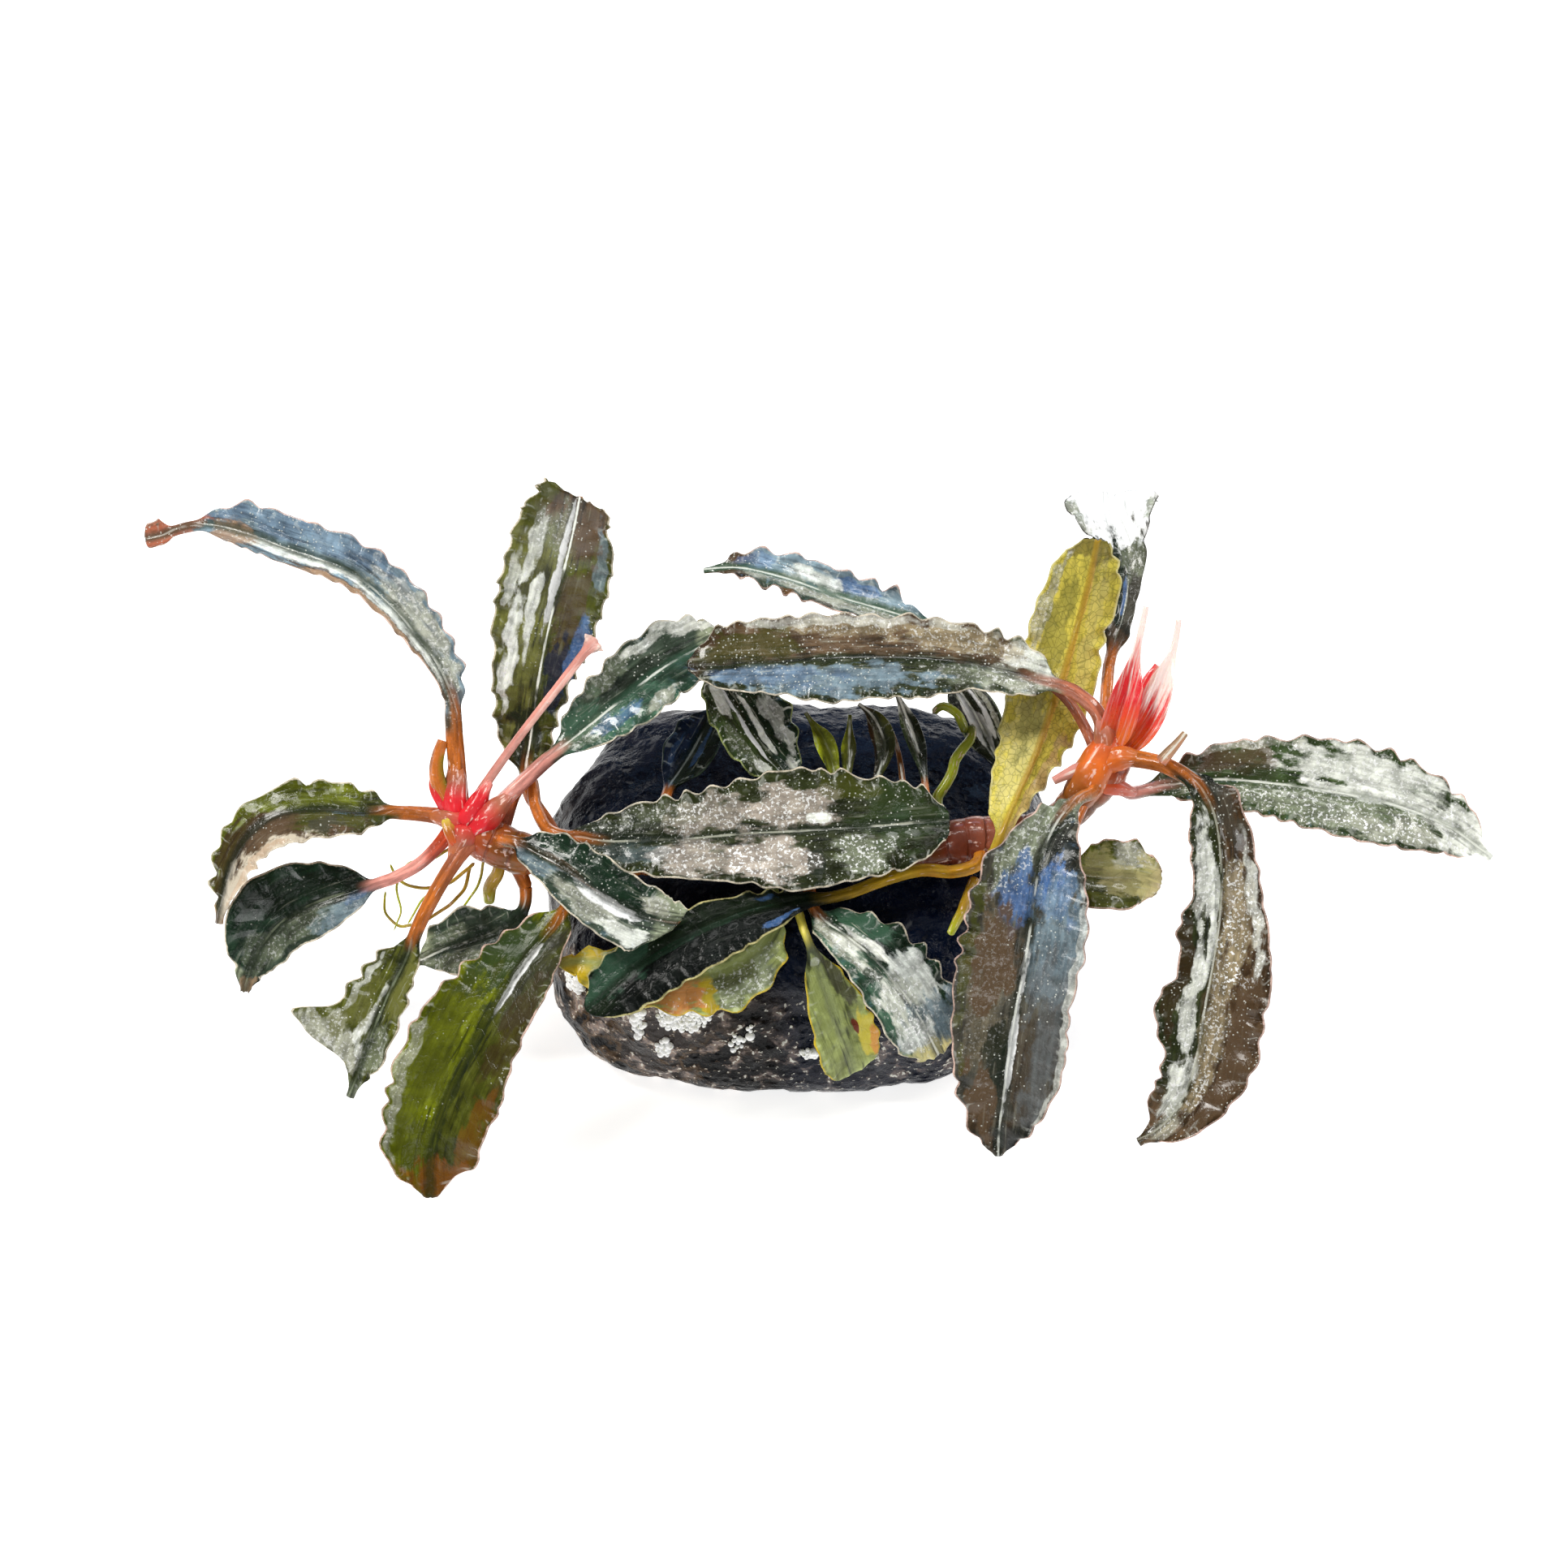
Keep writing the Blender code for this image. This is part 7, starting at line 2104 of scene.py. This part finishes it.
def set_beads(stone):
    """Clusters of tiny pale beads on the front of the stone."""
    largest = size("bead_size")
    corners = [v.co for v in stone.data.vertices]
    surface = BVHTree.FromPolygons(corners, [p.vertices for p in stone.data.polygons])
    bm = bmesh.new()
    for cluster, (u, v, wide, high, count) in enumerate(BEADS):
        for n in range(count):
            turn = n * GOLDEN_ANGLE
            far = math.sqrt((n + 0.5) / count)
            spot = (u + far * wide * math.cos(turn), v + far * high * math.sin(turn), 30.0)
            start = Vector(place([spot])[0])
            where, normal, _, _ = surface.ray_cast(start, Vector(-TOWARDS))
            if where is None:
                continue
            radius = largest * (0.5 + 0.7 * abs(wobble(n * 1.7, cluster + 5))) * MM
            made = bmesh.ops.create_icosphere(bm, subdivisions=2, radius=radius)
            for vert in made["verts"]:
                vert.co += where + normal * radius * 0.35
    points, faces = points_and_faces(bm, "beads")
    new_piece("stone_beads", points, faces, {}, bead_finish("stone_beads"))


def aim(thing, target):
    """Turns a lamp or the camera to a point."""
    thing.rotation_euler = (Vector(target) - thing.location).to_track_quat("-Z", "Y").to_euler()


def add_lamp(name, direction, distance, width, height, power, tint):
    """A soft rectangular lamp that shines on the plant."""
    lamp = bpy.data.lights.new(name, "AREA")
    lamp.shape = "RECTANGLE"
    lamp.size = width
    lamp.size_y = height
    lamp.energy = power
    lamp.color = tint
    thing = bpy.data.objects.new(name, lamp)
    bpy.context.scene.collection.objects.link(thing)
    thing.location = Vector(LOOK_AT * MM) + Vector(direction).normalized() * distance
    aim(thing, LOOK_AT * MM)


def set_stage():
    """The pale floor, the studio's light and the camera."""
    scene = bpy.context.scene
    looks = scene.stage_looks
    floor = bpy.data.meshes.new("floor")
    reach = 6.0
    below = -0.0001
    corners = [(-reach, -reach, below), (reach, -reach, below), (reach, reach, below),
               (-reach, reach, below)]
    floor.from_pydata(corners, [], [(0, 1, 2, 3)])
    floor.materials.append(floor_finish("floor"))
    ground = bpy.data.objects.new("floor", floor)
    scene.collection.objects.link(ground)

    world = bpy.data.worlds.new("studio")
    world.use_nodes = True
    backing = world.node_tree.nodes["Background"]
    backing.inputs["Color"].default_value = (1.0, 1.0, 0.98, 1.0)
    backing.inputs["Strength"].default_value = looks.sky_light
    scene.world = world
    add_lamp("main_softbox", (-0.5, 0.05, 0.86), 0.7, 0.20, 0.20, 3.8, (1.0, 0.98, 0.94))
    add_lamp("top_strip", (0.22, 0.1, 0.97), 0.7, 0.05, 0.40, 1.0, (1.0, 1.0, 0.98))
    add_lamp("window", (0.1, 0.8, 0.6), 0.8, 0.30, 0.16, 0.9, tuple(looks.window_blue))
    add_lamp("right_softbox", (0.8, 0.2, 0.6), 0.7, 0.16, 0.16, 1.4, (1.0, 0.97, 0.93))
    add_lamp("front_fill", (-0.2, -0.8, 0.6), 0.9, 0.2, 0.2, 1.2, (1.0, 1.0, 1.0))

    camera = bpy.data.cameras.new("camera")
    camera.sensor_width = SENSOR_WIDTH
    camera.lens = SENSOR_WIDTH * LOOK_FROM / VIEW_WIDTH
    camera.clip_start = 0.01
    camera.clip_end = 50.0
    viewer = bpy.data.objects.new("camera", camera)
    scene.collection.objects.link(viewer)
    viewer.location = (LOOK_AT + TOWARDS * LOOK_FROM) * MM
    aim(viewer, LOOK_AT * MM)
    scene.camera = viewer
    scene.view_settings.view_transform = "Standard"


# The add-on


class GrowLeftLeaves(bpy.types.Operator):
    """Grow the leaves of the left crown"""

    bl_idname = "plant.grow_left_leaves"
    bl_label = "Left crown's leaves"

    def execute(self, context):
        grow_leaves(LEFT_LEAVES)
        return {"FINISHED"}


class GrowMiddleLeaves(bpy.types.Operator):
    """Grow the leaves along the middle of the stem"""

    bl_idname = "plant.grow_middle_leaves"
    bl_label = "Middle leaves"

    def execute(self, context):
        grow_leaves(MIDDLE_LEAVES)
        return {"FINISHED"}


class GrowFrontLeaves(bpy.types.Operator):
    """Grow the leaves that hang over the stone's front"""

    bl_idname = "plant.grow_front_leaves"
    bl_label = "Front leaves"

    def execute(self, context):
        grow_leaves(FRONT_LEAVES)
        return {"FINISHED"}


class GrowRightLeaves(bpy.types.Operator):
    """Grow the leaves of the right crown"""

    bl_idname = "plant.grow_right_leaves"
    bl_label = "Right crown's leaves"

    def execute(self, context):
        grow_leaves(RIGHT_LEAVES)
        return {"FINISHED"}


class GrowBud(bpy.types.Operator):
    """Grow the red bud and the collars of both crowns"""

    bl_idname = "plant.grow_bud"
    bl_label = "Bud and collars"

    def execute(self, context):
        grow_bud()
        grow_crown_collars()
        return {"FINISHED"}


class GrowStem(bpy.types.Operator):
    """Grow the creeping stem"""

    bl_idname = "plant.grow_stem"
    bl_label = "Creeping stem"

    def execute(self, context):
        grow_rhizome()
        return {"FINISHED"}


class GrowRoots(bpy.types.Operator):
    """Grow the roots and the fine young roots"""

    bl_idname = "plant.grow_roots"
    bl_label = "Roots"

    def execute(self, context):
        grow_roots()
        grow_root_hairs()
        return {"FINISHED"}


class SetStone(bpy.types.Operator):
    """Lay the wet stone with its pale beads"""

    bl_idname = "plant.set_stone"
    bl_label = "Stone"

    def execute(self, context):
        stone = set_stone()
        set_beads(stone)
        return {"FINISHED"}


class SetStage(bpy.types.Operator):
    """Lay the floor and set the lamps and the camera"""

    bl_idname = "plant.set_stage"
    bl_label = "Floor, lamps and camera"

    def execute(self, context):
        set_stage()
        return {"FINISHED"}


STEPS = (SetStone, GrowStem, GrowLeftLeaves, GrowMiddleLeaves, GrowFrontLeaves, GrowRightLeaves,
         GrowBud, GrowRoots, SetStage)


class PlantPanel(bpy.types.Panel):
    """The plant's sizes, colours and steps"""

    bl_idname = "VIEW3D_PT_bucephalandra"
    bl_label = "Bucephalandra"
    bl_space_type = "VIEW_3D"
    bl_region_type = "UI"
    bl_category = "Bucephalandra"

    def draw(self, context):
        scene = context.scene
        for group in (scene.plant_sizes, scene.plant_colours, scene.stage_looks):
            box = self.layout.box()
            for name in group.bl_rna.properties.keys():
                if name not in ("rna_type", "name"):
                    box.prop(group, name)
        for step in STEPS:
            self.layout.operator(step.bl_idname)


CLASSES = (PlantSizes, PlantColours, StageLooks, *STEPS, PlantPanel)


def register():
    for made in CLASSES:
        bpy.utils.register_class(made)
    bpy.types.Scene.plant_sizes = bpy.props.PointerProperty(type=PlantSizes)
    bpy.types.Scene.plant_colours = bpy.props.PointerProperty(type=PlantColours)
    bpy.types.Scene.stage_looks = bpy.props.PointerProperty(type=StageLooks)


def unregister():
    del bpy.types.Scene.stage_looks
    del bpy.types.Scene.plant_colours
    del bpy.types.Scene.plant_sizes
    for made in reversed(CLASSES):
        bpy.utils.unregister_class(made)


def main():
    register()
    bpy.ops.plant.set_stone()
    bpy.ops.plant.grow_stem()
    bpy.ops.plant.grow_left_leaves()
    bpy.ops.plant.grow_middle_leaves()
    bpy.ops.plant.grow_front_leaves()
    bpy.ops.plant.grow_right_leaves()
    bpy.ops.plant.grow_bud()
    bpy.ops.plant.grow_roots()
    bpy.ops.plant.set_stage()
    bpy.context.view_layer.update()


if __name__ == "__main__":
    main()
